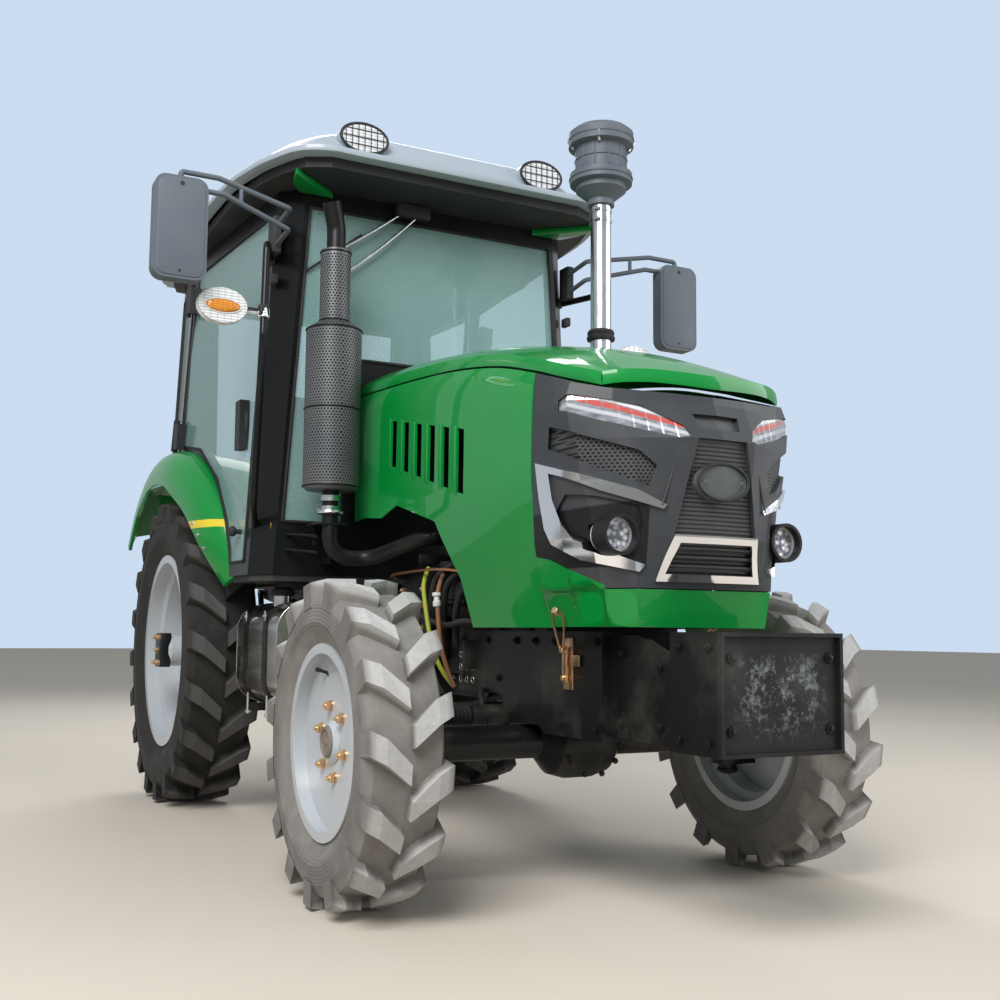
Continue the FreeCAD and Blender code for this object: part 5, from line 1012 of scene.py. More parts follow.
# The way from the last hood row to the nose's front edge, and the half width there.
NOSE_HALVES = ((0.33, 0.326), (0.68, 0.315), (1.0, 0.297))
HOOD_SHARES = (0.0, 0.3, 0.6, 0.85, 1.0)
LIP = 0.04
ARCH = ((0.08, 1.21), (-0.08, 1.22), (-0.25, 1.205), (-0.4, 1.24), (-0.73, 1.155), (-0.78, 1.09),
        (-0.9, 0.955), (-0.96, 0.8), (-0.96, 0.7), (0.08, 0.7))


def louvres():
    """Each louvre's front and rear edge along the tractor, and its top and foot."""
    first, pitch = -0.335, 0.685 / 6
    for number in range(6):
        near = first - pitch * number
        yield near, near - pitch * 0.5, 1.56 - (first - near) * 0.2, 1.39 - (first - near) * 0.27


class TRACTOR_OT_hood(bpy.types.Operator):
    """Forms the hood's curved top, its sides with the louvres, and the bumper under the mask"""

    bl_idname = "tractor.hood"
    bl_label = "Hood"

    def execute(self, context):
        tops, lips = [], {-1: [], 1: []}
        stations = [(y, 0.328, crest, seam, None) for y, crest, seam, low in HOOD_ROWS]
        stations += [(None, half, None, None, share) for share, half in NOSE_HALVES]
        for y, half, crest, seam, share in stations:
            row = []
            for side in sorted({sign * part for sign in SIGNS for part in HOOD_SHARES}):
                here = y if share is None else -1.41 + (at(NOSE, abs(side)) + 1.41) * share
                top = crest if share is None else at(CREST, here)
                edge = (seam if share is None else at(SEAM, here)) + LIP
                row.append((half * side, here, edge + (top - edge) * (1 - abs(side) ** 2.3)))
            tops.append(row)
            for sign in SIGNS:
                last = row[-1] if sign > 0 else row[0]
                lips[sign].append([last, (last[0] + 0.004 * sign, last[1], last[2] - LIP * 0.5),
                                   (last[0] + 0.003 * sign, last[1], last[2] - LIP + 0.0035)])
        pieces = [skin("hood_top", tops, 3, 4, 0.012)]
        pieces += [skin("hood_lip", rows, 2, 4, 0.006) for rows in lips.values()]
        front = [[spot, (spot[0], spot[1] - 0.003, spot[2] - LIP * 0.5),
                  (spot[0], spot[1] - 0.001, spot[2] - LIP + 0.0035)] for spot in tops[-1]]
        pieces.append(skin("hood_front", front, 2, 3, 0.006))
        whole = joined(*pieces)
        given(whole, "hood_top", "green", 30, body="hood")
        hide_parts("hood")
        for side, sign in SIDES:
            rows = []
            for y, crest, seam, low in HOOD_ROWS:
                spots = ((0.333, seam - 0.0035), (0.341, seam - 0.045), (0.345, seam - 0.12), (0.346, 1.33),
                         (0.345, 1.2), (0.33 + (low - 0.31) * 0.4, 1.02), (low, 0.8))
                rows.append([(x * sign, y, z) for x, z in spots])
            cutters = [slab("arch", [(y, z, 0.2 * sign) for y, z in ARCH], 0.3 * sign, "YZ")]
            for near, far, top, foot in louvres():
                drop = (near - far) * 0.2
                edge = [(near - 0.004, foot), (near - 0.004, top), (far + 0.002, top - drop),
                        (far + 0.002, foot - drop)]
                cutters.append(slab("slot", [(y, z, 0.3 * sign) for y, z in edge], 0.1 * sign, "YZ"))
            panel = skin("hood_side_" + side, rows, 3, 4, 0.006, cutters=cutters)
            given(panel, "hood_side_" + side, "green", 40, body="hood")
            blades = []
            for near, far, top, foot in louvres():
                edge = [(near - 0.004, foot - 0.008), (near - 0.004, top + 0.006), (near + 0.02, top + 0.012),
                        (near + 0.02, foot)]
                blade = slab("blade", [(y, z, 0.3445 * sign) for y, z in edge], 0.0065 * sign, "YZ")
                blades.append(eased(blade, 0.0025))
            given(joined(*blades), "hood_blades_" + side, "green", 40, body="hood")
        bumper = shell_copy("hood_lower_front", "bumper_shell", 28)
        bumper = given(bumper, "bumper_shell", "green", 28, body="hood")
        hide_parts("hood_lower_front")
        return {"FINISHED"}


# The roof's outline at its edge, its brow and its crown: x above 0, from the front to the rear.
ROOF_EDGE = ((0.42, -0.24), (0.56, -0.24), (0.676, -0.18), (0.742, -0.05), (0.788, 0.097), (0.833, 0.409),
             (0.833, 1.2), (0.8, 1.7), (0.75, 1.85), (0.6, 1.88))
ROOF_BROW = ((0.38, -0.13), (0.475, -0.13), (0.575, -0.105), (0.665, -0.025), (0.722, 0.11), (0.778, 0.42),
             (0.79, 1.2), (0.755, 1.67), (0.705, 1.795), (0.56, 1.825))
ROOF_CROWN = ((0.33, -0.04), (0.4, -0.035), (0.47, 0.01), (0.52, 0.07), (0.57, 0.18), (0.62, 0.47),
              (0.63, 1.2), (0.6, 1.56), (0.55, 1.66), (0.44, 1.69))


class TRACTOR_OT_roof(bpy.types.Operator):
    """Forms the curved roof with the pods of its two lamps"""

    bl_idname = "tractor.roof"
    bl_label = "Roof"

    def execute(self, context):
        def loop(half, z, inward=0.0):
            left = [(x * (1 - inward), 0.8 + (y - 0.8) * (1 - inward), z) for x, y in half]
            return left + [(-x, y, z) for x, y, z in reversed(left)]

        bulge = Vector((0, 0, 0.014))
        middle_row = [(Vector(first) + Vector(second)) / 2 + bulge
                      for first, second in zip(loop(ROOF_BROW, 2.655), loop(ROOF_CROWN, 2.761))]
        rows = [loop(ROOF_EDGE, 2.586, 0.055), loop(ROOF_EDGE, 2.5865, 0.008), loop(ROOF_EDGE, 2.59),
                loop(ROOF_EDGE, 2.606), loop(ROOF_EDGE, 2.615, 0.012), loop(ROOF_BROW, 2.655), middle_row,
                loop(ROOF_CROWN, 2.759), loop(ROOF_CROWN, 2.767, 0.2), loop(ROOF_CROWN, 2.77, 0.6),
                loop(ROOF_CROWN, 2.7705, 0.995)]
        pods = []
        for sign in SIGNS:
            pod = turned("pod", ((0.0575, 0.0), (0.0625, 0.003), (0.0635, 0.012), (0.0635, 0.2), (0.058, 0.3),
                                 (0.045, 0.36), (0.02, 0.385)), 40)
            inside = turned("pod_bore", ((0.0575, -0.02), (0.0575, 0.19)), 40)
            spot = Matrix.Translation((ROOF_LAMP[0] * sign, -0.127, ROOF_LAMP[1]))
            tilt = Matrix.Rotation(-math.pi / 2 - 0.05, 4, "X")
            pod, inside = (copies(piece, [spot @ Matrix.Diagonal((wide, 1, 1, 1)) @ tilt])
                           for piece, wide in ((pod, 1.58), (inside, 1.6)))
            pods.append(opened(pod, [inside]))
        roof = skin("roof_skin", rows, 4, 2, 0.004, True)
        roof = joined(roof, *pods)
        roof = given(roof, "roof_skin", "roof_silver", 42)
        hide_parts("cab_roof")
        return {"FINISHED"}


# Round the rear axle: degrees above the forward level, and the fender's outer side from the middle.
FENDER_ROWS = ((21, 0.722), (35, 0.806), (52, 0.85), (75, 0.884), (100, 0.885), (122, 0.885), (140, 0.885))

# The fender's section from its outer side: distance outward and radius.
FENDER_LIP = ((-0.13, 0.932), (-0.08, 0.926), (-0.04, 0.904), (-0.012, 0.862), (0.002, 0.806), (0.003, 0.77))


def round_rear(radius, turn):
    """Place along the tractor and height at a radius and turn round the rear axle."""
    along, height = AXLES["rear"]
    return along - radius * math.cos(turn), height + radius * math.sin(turn)


class TRACTOR_OT_fenders(bpy.types.Operator):
    """Forms the fenders' curved skins and the seals along them"""

    bl_idname = "tractor.fenders"
    bl_label = "Fenders"

    def execute(self, context):
        for side, sign in SIDES:
            rows = []
            for angle, lip in FENDER_ROWS:
                turn = math.radians(angle)
                section = ((0.5, 0.9075), (0.6, 0.9215), *((lip + x, radius) for x, radius in FENDER_LIP))
                rows.append([(x * sign, *round_rear(radius, turn)) for x, radius in section])
            fender = skin("fender_skin_" + side, rows, 2, 5, 0.004)
            given(fender, "fender_skin_" + side, "fender_green", 50)
            seal = []
            for angle in range(24, 128, 4):
                turn = math.radians(angle)
                wide = at(((21, 0.6), (60, 0.705), (140, 0.72)), angle)
                seal.append((wide * sign, *round_rear(0.944, turn)))
            seal = tube("seal", seal, 0.009)
            given(seal, "fender_seal_" + side, "rubber_black")
            bolts = []
            for angle in (33, 38, 43):
                turn = math.radians(angle)
                lip = at(FENDER_ROWS, angle)
                spot = Vector((sign * (lip + 0.002), *round_rear(0.8, turn)))
                bolts.append(set_at(spot, (sign, -0.25, 0)))
            given(copies(hex_bolt("bolt", 0.016, 0.008), bolts), "fender_bolts_" + side, "steel")
        return {"FINISHED"}


# Half width of the cab's outside: place along the tractor, at its foot and at its head.
CAB_HALVES = ((0.07, 0.66, 0.565), (0.17, 0.73, 0.65), (1.2, 0.79, 0.735), (1.72, 0.74, 0.68),
              (1.78, 0.66, 0.6))
WINDSCREEN = ((-0.628, 1.205), (-0.545, 2.47), (0.545, 2.47), (0.628, 1.205), (0.385, 1.205), (0.385, 1.79),
              (0.31, 1.872), (-0.31, 1.872), (-0.385, 1.79), (-0.385, 1.205))
DOOR = ((0.229, 1.054), (0.395, 1.054), (0.412, 1.111), (0.489, 1.241), (0.658, 1.425), (0.947, 1.592),
        (1.275, 1.65), (1.285, 1.652), (1.138, 2.456), (0.229, 2.456))
REAR_WINDOW = ((-0.485, 1.33), (-0.485, 1.51), (-0.5, 2.45), (0.5, 2.45), (0.485, 1.51), (0.485, 1.33))
QUARTER = ((1.352, 1.65), (1.205, 2.456), (1.68, 2.456), (1.68, 1.56), (1.5, 1.626))


def cab_half(y, z):
    """Half width of the cab's outside at a place and height."""
    foot = at([(row[0], row[1]) for row in CAB_HALVES], y)
    head = at([(row[0], row[2]) for row in CAB_HALVES], y)
    return foot + (head - foot) * (z - 1.0) / 1.545


def oval_line(x, y, z, half_x, half_z, count=36):
    """Points round an upright oval that faces the front."""
    turns = [math.tau * i / count for i in range(count + 1)]
    return [(x + half_x * math.cos(turn), y, z + half_z * math.sin(turn)) for turn in turns]


def dome(name, centre, half_x, half_z, deep):
    """A shallow oval dome that faces the front."""
    piece = turned(name, ((1.0, 0.0), (0.97, 0.35), (0.86, 0.7), (0.6, 0.92), (0.25, 1.0)), 36)
    turn = Matrix.Translation(Vector(centre)) @ Matrix.Diagonal((half_x, deep, half_z, 1))
    return copies(piece, [turn @ Matrix.Rotation(math.pi / 2, 4, "X")])


def bolted(name, spots, across=0.016, height=0.009, finish="frame_black", body="chassis"):
    """Hexagon bolts at spots, each given as a place and the direction that it points in."""
    places = [set_at(spot, toward, 0.4 * number) for number, (spot, toward) in enumerate(spots)]
    return given(copies(hex_bolt(name, across, height), places), name, finish, body=body)


def piped(name, lines, finish, sides=6, body="chassis"):
    """Pipes and bars along lines, each a radius and its points, as one piece."""
    made = [tube("pipe", points, radius, sides) for radius, points in lines]
    return given(joined(*made), name, finish, 40, body)


def boxed(name, rows, finish, width=0.003, body="chassis"):
    """Eased plates and housings, each given by its low and high corner, as one piece."""
    made = [eased(block("plate", low, high), width) for low, high in rows]
    return given(joined(*made), name, finish, 40, body)


# The latches' plates and lever: two corners and the rounding.
LATCH_PLATES = (((0.2005, -1.41, 0.622), (0.2065, -1.358, 0.772), 0.002),
                ((0.2065, -1.452, 0.69), (0.2105, -1.378, 0.722), 0.0015),
                ((0.214, -1.396, 0.64), (0.221, -1.372, 0.748), 0.003))


class TRACTOR_OT_mask_fittings(bpy.types.Operator):
    """Adds the oval plate's rim and rivets, the mask's folds and the hood's latches"""

    bl_idname = "tractor.mask_fittings"
    bl_label = "Mask fittings"

    def execute(self, context):
        low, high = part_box("oval_plate")
        spot = (low + high) / 2
        rim = tube("rim", oval_line(spot.x, low.y + 0.001, spot.z, 0.083, 0.049), 0.0045, 6)
        given(rim, "plate_rim", "dark_plastic", 40, body="hood")
        rivets = stood(((0.0045, 0.0), (0.0042, 0.0012), (0.002, 0.002)), 16,
                       *(((x, low.y + 0.0005, spot.z), (0, -1, 0)) for x in (-0.06, 0.06)))
        given(rivets, "plate_rivets", "plate_grey", body="hood")
        folds = [(0.003, row) for row in mirrored([[(0.118, -1.826, 1.305), (0.15, -1.815, 1.19),
                                                    (0.172, -1.807, 1.12)]])]
        piped("mask_folds", folds, "mask_grey", body="hood")
        plates, hooks = [], []
        for sign in SIGNS:
            for (near, *low), (far, *high), width in LATCH_PLATES:
                plates.append(eased(block("plate", (near * sign, *low), (far * sign, *high)), width))
            for end, z in ((0.232, 0.735), (0.228, 0.655)):
                plates.append(rod("grip", (0.2105 * sign, -1.384, z), (end * sign, -1.384, z), 0.009))
            hooks.append(rod("hook", (0.308 * sign, -1.512, 0.838), (0.332 * sign, -1.52, 0.848), 0.01))
        given(joined(*plates), "hood_latches", "zinc_gold", 40)
        given(joined(*hooks), "hood_hooks", "zinc_gold", 40, body="hood")
        loops = mirrored([[(0.226, -1.386, 0.735), (0.24, -1.42, 0.775), (0.3, -1.52, 0.838),
                           (0.322, -1.512, 0.852), (0.318, -1.48, 0.842), (0.25, -1.392, 0.776),
                           (0.228, -1.376, 0.738)]])
        piped("hood_latch_loops", [(0.0035, row) for row in loops], "zinc_gold")
        return {"FINISHED"}


class TRACTOR_OT_stack_fittings(bpy.types.Operator):
    """Adds the stacks' clamps, flanges and bands and the precleaner's ribs"""

    bl_idname = "tractor.stack_fittings"
    bl_label = "Stack fittings"

    def execute(self, context):
        low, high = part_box("precleaner")
        x, y = (low.x + high.x) / 2, (low.y + high.y) / 2
        clamps = []
        for z in (2.412, 2.372):
            clamps.append(stood(((0.0403, 0.0), (0.0425, 0.001), (0.0425, 0.014), (0.0403, 0.015)), 48,
                                ((x, y, z), UP)))
            clamps.append(rod("screw", (x - 0.046, y - 0.02, z + 0.007), (x - 0.03, y - 0.042, z + 0.007), 0.0055))
        given(joined(*clamps), "intake_clamps", "steel", 40)
        foot = stood(((0.0405, 0.0), (0.053, 0.002), (0.055, 0.012), (0.05, 0.02), (0.053, 0.03), (0.048, 0.04),
                      (0.0405, 0.043)), 48, ((x, y, 1.905), UP))
        given(foot, "intake_boot", "rubber_black", 40)
        bands = [ring("band", (x, y, z), radius, thick, sides=72)
                 for z, radius, thick in ((2.546, 0.121, 0.004), (2.62, 0.1005, 0.0035), (2.702, 0.127, 0.0035),
                                          (2.474, 0.062, 0.003))]
        ribs = []
        for turn in around(12, math.tau / 24):
            out = Vector((math.cos(turn), math.sin(turn), 0))
            ribs.append(rod("rib", Vector((x, y, 2.578)) + out * 0.1, Vector((x, y, 2.664)) + out * 0.1, 0.0035, 8))
        given(joined(*bands, *ribs), "precleaner_bands", "grey_plastic", 40)
        clips = []
        for turn in (-2.2, -0.5, 1.2, 2.8):
            out = Vector((math.cos(turn), math.sin(turn), 0))
            clips.append(rod("clip", Vector((x, y, 2.664)) + out * 0.106, Vector((x, y, 2.7)) + out * 0.13, 0.006,
                             8))
        given(joined(*clips), "precleaner_clips", "steel", 40)
        x, y = MUFFLER
        rims = [ring("band", (x, y, z), radius, 0.0035, sides=64)
                for z, radius in ((1.326, 0.1062), (1.926, 0.1062), (1.962, 0.0585), (2.23, 0.0585),
                                  (1.62, 0.1062))]
        given(joined(*rims), "muffler_bands", "frame_black", 40)
        flange = stood(((0.031, 0.0), (0.05, 0.001), (0.052, 0.006), (0.05, 0.012), (0.036, 0.013), (0.036, 0.03),
                        (0.031, 0.031)), 40, ((x, y, 1.222), UP))
        collar = stood(((0.0305, 0.0), (0.038, 0.001), (0.038, 0.022), (0.0305, 0.023)), 40, ((x, y, 1.27), UP))
        given(joined(flange, collar), "muffler_flange", "steel", 40)
        bolted("muffler_bolts", [((x + 0.044 * math.cos(a), y + 0.044 * math.sin(a), 1.2345), (0, 0, 1))
                                 for a in (0.6, 2.7, 4.5)], 0.012, 0.008, "steel")
        boxed("exhaust_brackets", [((-0.56, -0.15, 1.18), (-0.44, -0.02, 1.187)),
                                   ((-0.47, -0.03, 1.04), (-0.462, 0.07, 1.187)),
                                   ((-0.535, -0.026, 1.11), (-0.465, -0.018, 1.187))], "frame_black", 0.002)
        tag = slab("tag", [(0.092, 1.165, -0.664), (0.14, 1.165, -0.664), (0.14, 1.199, -0.664),
                           (0.092, 1.199, -0.664)], -0.0015, "YZ")
        given(eased(tag, 0.0006), "yellow_tag", "tag_yellow")
        hanger = [(0.006, [(-0.53, -0.07, z), (-0.56, -0.01, z + 0.01), (-0.61, 0.066, z + 0.015)])
                  for z in (1.08, 1.14)]
        piped("exhaust_hangers", hanger, "frame_black")
        return {"FINISHED"}


class TRACTOR_OT_cab_fittings(bpy.types.Operator):
    """Adds the cab's seals, wipers, lamp rims, mirror pads, knobs and brackets"""

    bl_idname = "tractor.cab_fittings"
    bl_label = "Cab fittings"

    def execute(self, context):
        seals = [[(x, 0.0685, z) for x, z in WINDSCREEN + WINDSCREEN[:1]]]
        for sign in SIGNS:
            for edge in (DOOR, QUARTER):
                seals.append([((cab_half(y, z) - 0.001) * sign, y, z) for y, z in edge + edge[:1]])
        made = [tube("seal", points, SEAL_RADIUS, 5, True) for points in seals]
        given(joined(*made), "glass_seals", "rubber_black", 40)
        wipers = []
        for pivot, elbow, tip in (((-0.15, 2.515), (-0.29, 2.4), (-0.44, 2.3)),
                                  ((-0.08, 2.515), (-0.235, 2.35), (-0.4, 2.215))):
            wipers.append((0.0065, [(pivot[0], 0.05, pivot[1]), (elbow[0], 0.04, elbow[1]),
                                    (tip[0], 0.056, tip[1])]))
            wipers.append((0.011, [(pivot[0], 0.072, pivot[1]), (pivot[0], 0.04, pivot[1])]))
        piped("wiper_arms", wipers, "steel")
        blade = [(0.005, [(-0.56, 0.064, 2.205), (-0.44, 0.062, 2.3), (-0.33, 0.064, 2.39)])]
        piped("wiper_blade", blade, "rubber_black")
        boxed("wiper_motor", [((-0.19, 0.02, 2.488), (-0.04, 0.069, 2.543))], "dark_plastic", 0.008)
        wedges = []
        for sign in SIGNS:
            corners = [(-0.668 * sign, -0.125, 2.5445), (-0.455 * sign, 0.06, 2.5445), (-0.6 * sign, 0.06, 2.5445),
                       (-0.65 * sign, -0.03, 2.5445)]
            wedges.append(eased(slab("wedge", corners, -0.026, "XY"), 0.004))
        given(joined(*wedges), "roof_wedges", "green")
        rims = [tube("rim", oval_line(ROOF_LAMP[0] * sign, -0.132, ROOF_LAMP[1] - 0.0015, 0.097, 0.059), 0.006, 6)
                for sign in SIGNS]
        given(joined(*rims), "roof_lamp_rims", "dark_plastic", 50)
        bars = []
        for sign in SIGNS:
            lamp_x, lamp_z = ROOF_LAMP[0] * sign, ROOF_LAMP[1]
            for i in range(-3, 4):
                x = lamp_x + i * 0.026
                reach = 0.054 * math.sqrt(max(0.05, 1 - (i * 0.026 / 0.092) ** 2))
                bars.append((0.0016, [(x, -0.1355, lamp_z - reach), (x, -0.1375, lamp_z),
                                      (x, -0.1355, lamp_z + reach)]))
            for z in (lamp_z - 0.03, lamp_z, lamp_z + 0.03):
                reach = 0.09 * math.sqrt(1 - ((z - lamp_z) / 0.058) ** 2)
                bars.append((0.0016, [(lamp_x - reach, -0.1355, z), (lamp_x, -0.1375, z),
                                      (lamp_x + reach, -0.1355, z)]))
        piped("roof_lamp_grids", bars, "dark_plastic", 5)
        clamps = mirrored([((0.737, -0.06, 1.968), (0.775, -0.02, 2.014)),
                           ((0.775, -0.05, 1.978), (0.828, -0.03, 1.998))])
        ambers, rims = [], []
        for sign in SIGNS:
            ambers.append(dome("amber", (TURN_LAMP * sign, -0.0715, 1.982), 0.064, 0.024, 0.01))
            rims.append(tube("rim", oval_line(TURN_LAMP * sign, -0.05, 1.985, 0.0905, 0.0655), 0.0055, 6))
            rims.append(tube("rim", oval_line(TURN_LAMP * sign, -0.0725, 1.982, 0.067, 0.027), 0.0028, 5))
        given(joined(*ambers), "turn_lamp_ambers", "orange_lens", 60)
        given(joined(*rims), "turn_lamp_rims", "white_fitting", 50)
        boxed("turn_lamp_clamps", clamps, "dark_plastic", 0.006)
        brackets = mirrored([((0.655, 0.085, 2.27), (0.69, 0.16, 2.42)), ((0.66, 0.1, 2.15), (0.684, 0.15, 2.19)),
                             ((0.655, 0.16, 2.245), (0.676, 0.205, 2.292))])
        pads, glass, dots = [], [], []
        for sign in SIGNS:
            x = MIRROR * sign
            outline = corner_line(((x + 0.052, 2.376, 0), (x - 0.052, 2.376, 90), (x - 0.052, 2.084, 180),
                                   (x + 0.052, 2.084, 270)), 0.034, 18, 6)
            pads.append(eased(slab("pad", [(a, b, -0.1445) for a, b in outline], -0.0035), 0.0015))
            glass.append(eased(slab("glass", [(a, b, -0.0825) for a, b in outline], 0.002), 0.0008))
            for z, radius in ((2.392, 0.008), (2.068, 0.005)):
                dots.append(rod("dot", (x, -0.143, z), (x, -0.15, z), radius))
        given(joined(*pads), "mirror_pads", "grey_plastic")
        given(joined(*glass), "mirror_glasses", "chrome")
        given(joined(*dots), "mirror_dots", "dark_plastic")
        boxed("mirror_brackets", brackets, "dark_plastic", 0.006)
        for side, sign in SIDES:
            knob = stood(((0.01, 0.0), (0.01, 0.02), (0.019, 0.026), (0.022, 0.036), (0.018, 0.046),
                          (0.008, 0.05)), 28, (((cab_half(0.3, 1.176) - 0.004) * sign, 0.3, 1.176), (sign, 0, 0)))
            pull = turned("pull", ((0.042, 0.0), (0.044, 0.006), (0.038, 0.016), (0.02, 0.021)), 36)
            flat = Matrix.Diagonal((1.0, 1.0, 1.9, 1))
            spot = Vector(((cab_half(0.33, 1.62) + 0.002) * sign, 0.33, 1.62))
            pull = copies(pull, [Matrix.Translation(spot) @ flat @ Matrix.Rotation(sign * math.pi / 2, 4, "Y")])
            given(joined(knob, pull), "door_knob_" + side, "dark_plastic", 40, body="door_" + side)
            bolts = []
            for y, z in ((1.15, 2.37), (1.15, 2.29), (1.262, 1.735), (1.262, 1.665)):
                bolts.append(((cab_half(y, z) * sign + 0.012 * sign, y, z), (sign, 0, 0)))
            bolted("door_bolts_" + side, bolts, 0.013, 0.006, "steel", body="door_" + side)
        box = [((0.215, 0.12, 2.3), (0.47, 0.33, 2.5)), ((-0.52, 0.11, 2.44), (0.52, 0.15, 2.54))]
        boxed("cab_cooler_box", box, "dark_plastic", 0.012)
        visor = eased(block("visor", (-0.5, 0.1, 2.36), (-0.06, 0.106, 2.5)), 0.0025)
        given(visor, "sun_visor", "dark_plastic")
        return {"FINISHED"}


class TRACTOR_OT_engine_fittings(bpy.types.Operator):
    """Adds the hoses, pipes, filters' ribs and brackets that show below the hood's arch"""

    bl_idname = "tractor.engine_fittings"
    bl_label = "Engine fittings"

    def execute(self, context):
        piped("hose_yellow_green", [(0.008, [(-0.262, -0.505, 1.01), (-0.3, -0.545, 0.96), (-0.305, -0.57, 0.9),
                                             (-0.3, -0.62, 0.74), (-0.262, -0.64, 0.64), (-0.222, -0.645, 0.6)])],
                                             "hose_green")
        piped("hose_brown", [(0.008, [(-0.25, -0.62, 1.000), (-0.296, -0.655, 0.93), (-0.3, -0.672, 0.86),
                                      (-0.292, -0.69, 0.7), (-0.24, -0.685, 0.6)])], "hose_brown")
        piped("copper_pipe", [(0.005, [(-0.24, -0.15, 0.985), (-0.292, -0.18, 0.994), (-0.302, -0.42, 1.000),
                                       (-0.3, -0.73, 1.000), (-0.25, -0.775, 0.985)])], "copper")
        fitting = stood(((0.012, 0.0), (0.014, 0.003), (0.014, 0.018), (0.01, 0.021), (0.01, 0.034), (0.015, 0.037),
                         (0.015, 0.048)), 20, ((-0.3, -0.667, 0.87), (0, 0.1, 1)))
        given(fitting, "white_fitting", "white_fitting", 40)
        black = []
        for y, z in ((-0.9, 0.98), (-0.8, 1.02), (-0.7, 1.04)):
            black.append((0.012, [(-0.17, y, z), (-0.255, y + 0.04, z - 0.02), (-0.285, y + 0.14, z - 0.1),
                                  (-0.24, y + 0.2, 0.74)]))
        black.append((0.02, [(-0.14, -1.06, 1.09), (-0.21, -1.1, 1.12), (-0.215, -1.18, 1.15),
                              (-0.19, -1.235, 1.16)]))
        black.append((0.022, [(0.14, -1.06, 0.8), (0.215, -1.1, 0.82), (0.215, -1.18, 0.84),
                              (0.19, -1.235, 0.85)]))
        black.append((0.01, [(-0.17, -0.3, 0.9), (-0.29, -0.34, 0.93), (-0.3, -0.5, 0.84),
                              (-0.27, -0.7, 0.8), (-0.29, -0.86, 0.83), (-0.215, -0.98, 0.8)]))
        piped("engine_hoses", black, "rubber_black")
        lines = []
        for i in range(4):
            y = -0.94 + 0.135 * i
            for sign in SIGNS:
                lines.append((0.0035, [(0.172 * sign, -0.76 + 0.028 * i, 0.96),
                                       (0.2 * sign, -0.78 + 0.03 * i, 1.08), (0.15 * sign, y, 1.17),
                                       (0.121 * sign, y, 1.15)]))
        piped("injector_lines", lines, "steel", 5)
        rings = []
        for y in (-0.7, -0.59):
            for z in (0.885, 0.9, 1.018):
                rings.append(ring("ring", (-0.207, y, z), 0.0445, 0.0035))
            rings.append(stood(((0.02, 0.0), (0.022, 0.004), (0.02, 0.014)), 6, ((-0.207, y, 0.88), (0, 0, -1))))
        for z in (0.7, 0.765, 0.828):
            rings.append(ring("ring", (-0.205, -0.46, z), 0.0505, 0.004))
            rings.append(ring("ring", (0.205, -0.62, z + 0.17), 0.0465, 0.004))
        given(joined(*rings), "filter_rings", "engine_black", 40)
        bolts = []
        for y in (-1.02, -0.9, -0.78, -0.66, -0.54, -0.46):
            for sign in SIGNS:
                bolts += [((0.166 * sign, y, 1.02), (sign, 0, 0)), ((0.131 * sign, y, 0.625), (sign, 0, 0)),
                          ((0.121 * sign, y + 0.03, 1.12), (sign, 0, 0))]
        bolted("engine_bolts", bolts, 0.014, 0.009, "steel")
        bell = []
        for x, z in [(0.236 * sign, z) for sign in SIGNS for z in (0.72, 0.8, 0.88, 0.94)]:
            bell += [((x, y, z), (x, 0, 0)) for y in (-0.4, -0.215)]
        bolted("bell_bolts", bell, 0.016, 0.01, "zinc_gold")
        plates = [((-0.262, -0.79, 0.9), (-0.16, -0.755, 0.95)), ((-0.24, -0.76, 0.66), (-0.1655, -0.745, 0.76)),
                  ((-0.282, -0.47, 1.03), (-0.12, -0.462, 1.06)), ((-0.25, -0.3, 0.7), (-0.2355, -0.24, 0.86)),
                  ((0.2355, -0.3, 0.7), (0.25, -0.24, 0.86)), ((-0.268, -0.56, 0.82), (-0.21, -0.548, 0.9))]
        boxed("engine_brackets", plates, "frame_black", 0.0025)
        pump = [((-0.235, -0.905, 0.85), (-0.1655, -0.76, 0.96)), ((-0.216, -0.93, 0.88), (-0.17, -0.905, 0.93)),
                ((0.1655, -0.43, 0.84), (0.245, -0.33, 0.92))]
        boxed("injection_pump", pump, "engine_black", 0.01)
        fan = []
        for turn in around(6):
            out = Vector((math.cos(turn), 0, math.sin(turn)))
            fan.append(eased(slab("blade", [(out.x * r + dx * out.z, 0.98 + out.z * r - dx * out.x, -1.19)
                                            for r, dx in ((0.03, -0.02), (0.165, -0.055), (0.175, 0.03),
                                                          (0.03, 0.02))], 0.006, "XZ"), 0.0015))
        fan.append(rod("hub", (0, -1.205, 0.98), (0, -1.12, 0.98), 0.045, 28))
        given(joined(*fan), "cooling_fan", "dark_plastic", 40)
        belt = ((0.085, 0.745), (0.045, 1.0), (-0.02, 1.03), (-0.175, 1.025), (-0.235, 0.985), (-0.2, 0.915),
                (-0.085, 0.745), (0.0, 0.674), (0.085, 0.745))
        belt = tube("belt", [(x, -1.115, z) for x, z in belt], 0.007)
        given(belt, "fan_belt", "rubber_black", 40)
        return {"FINISHED"}


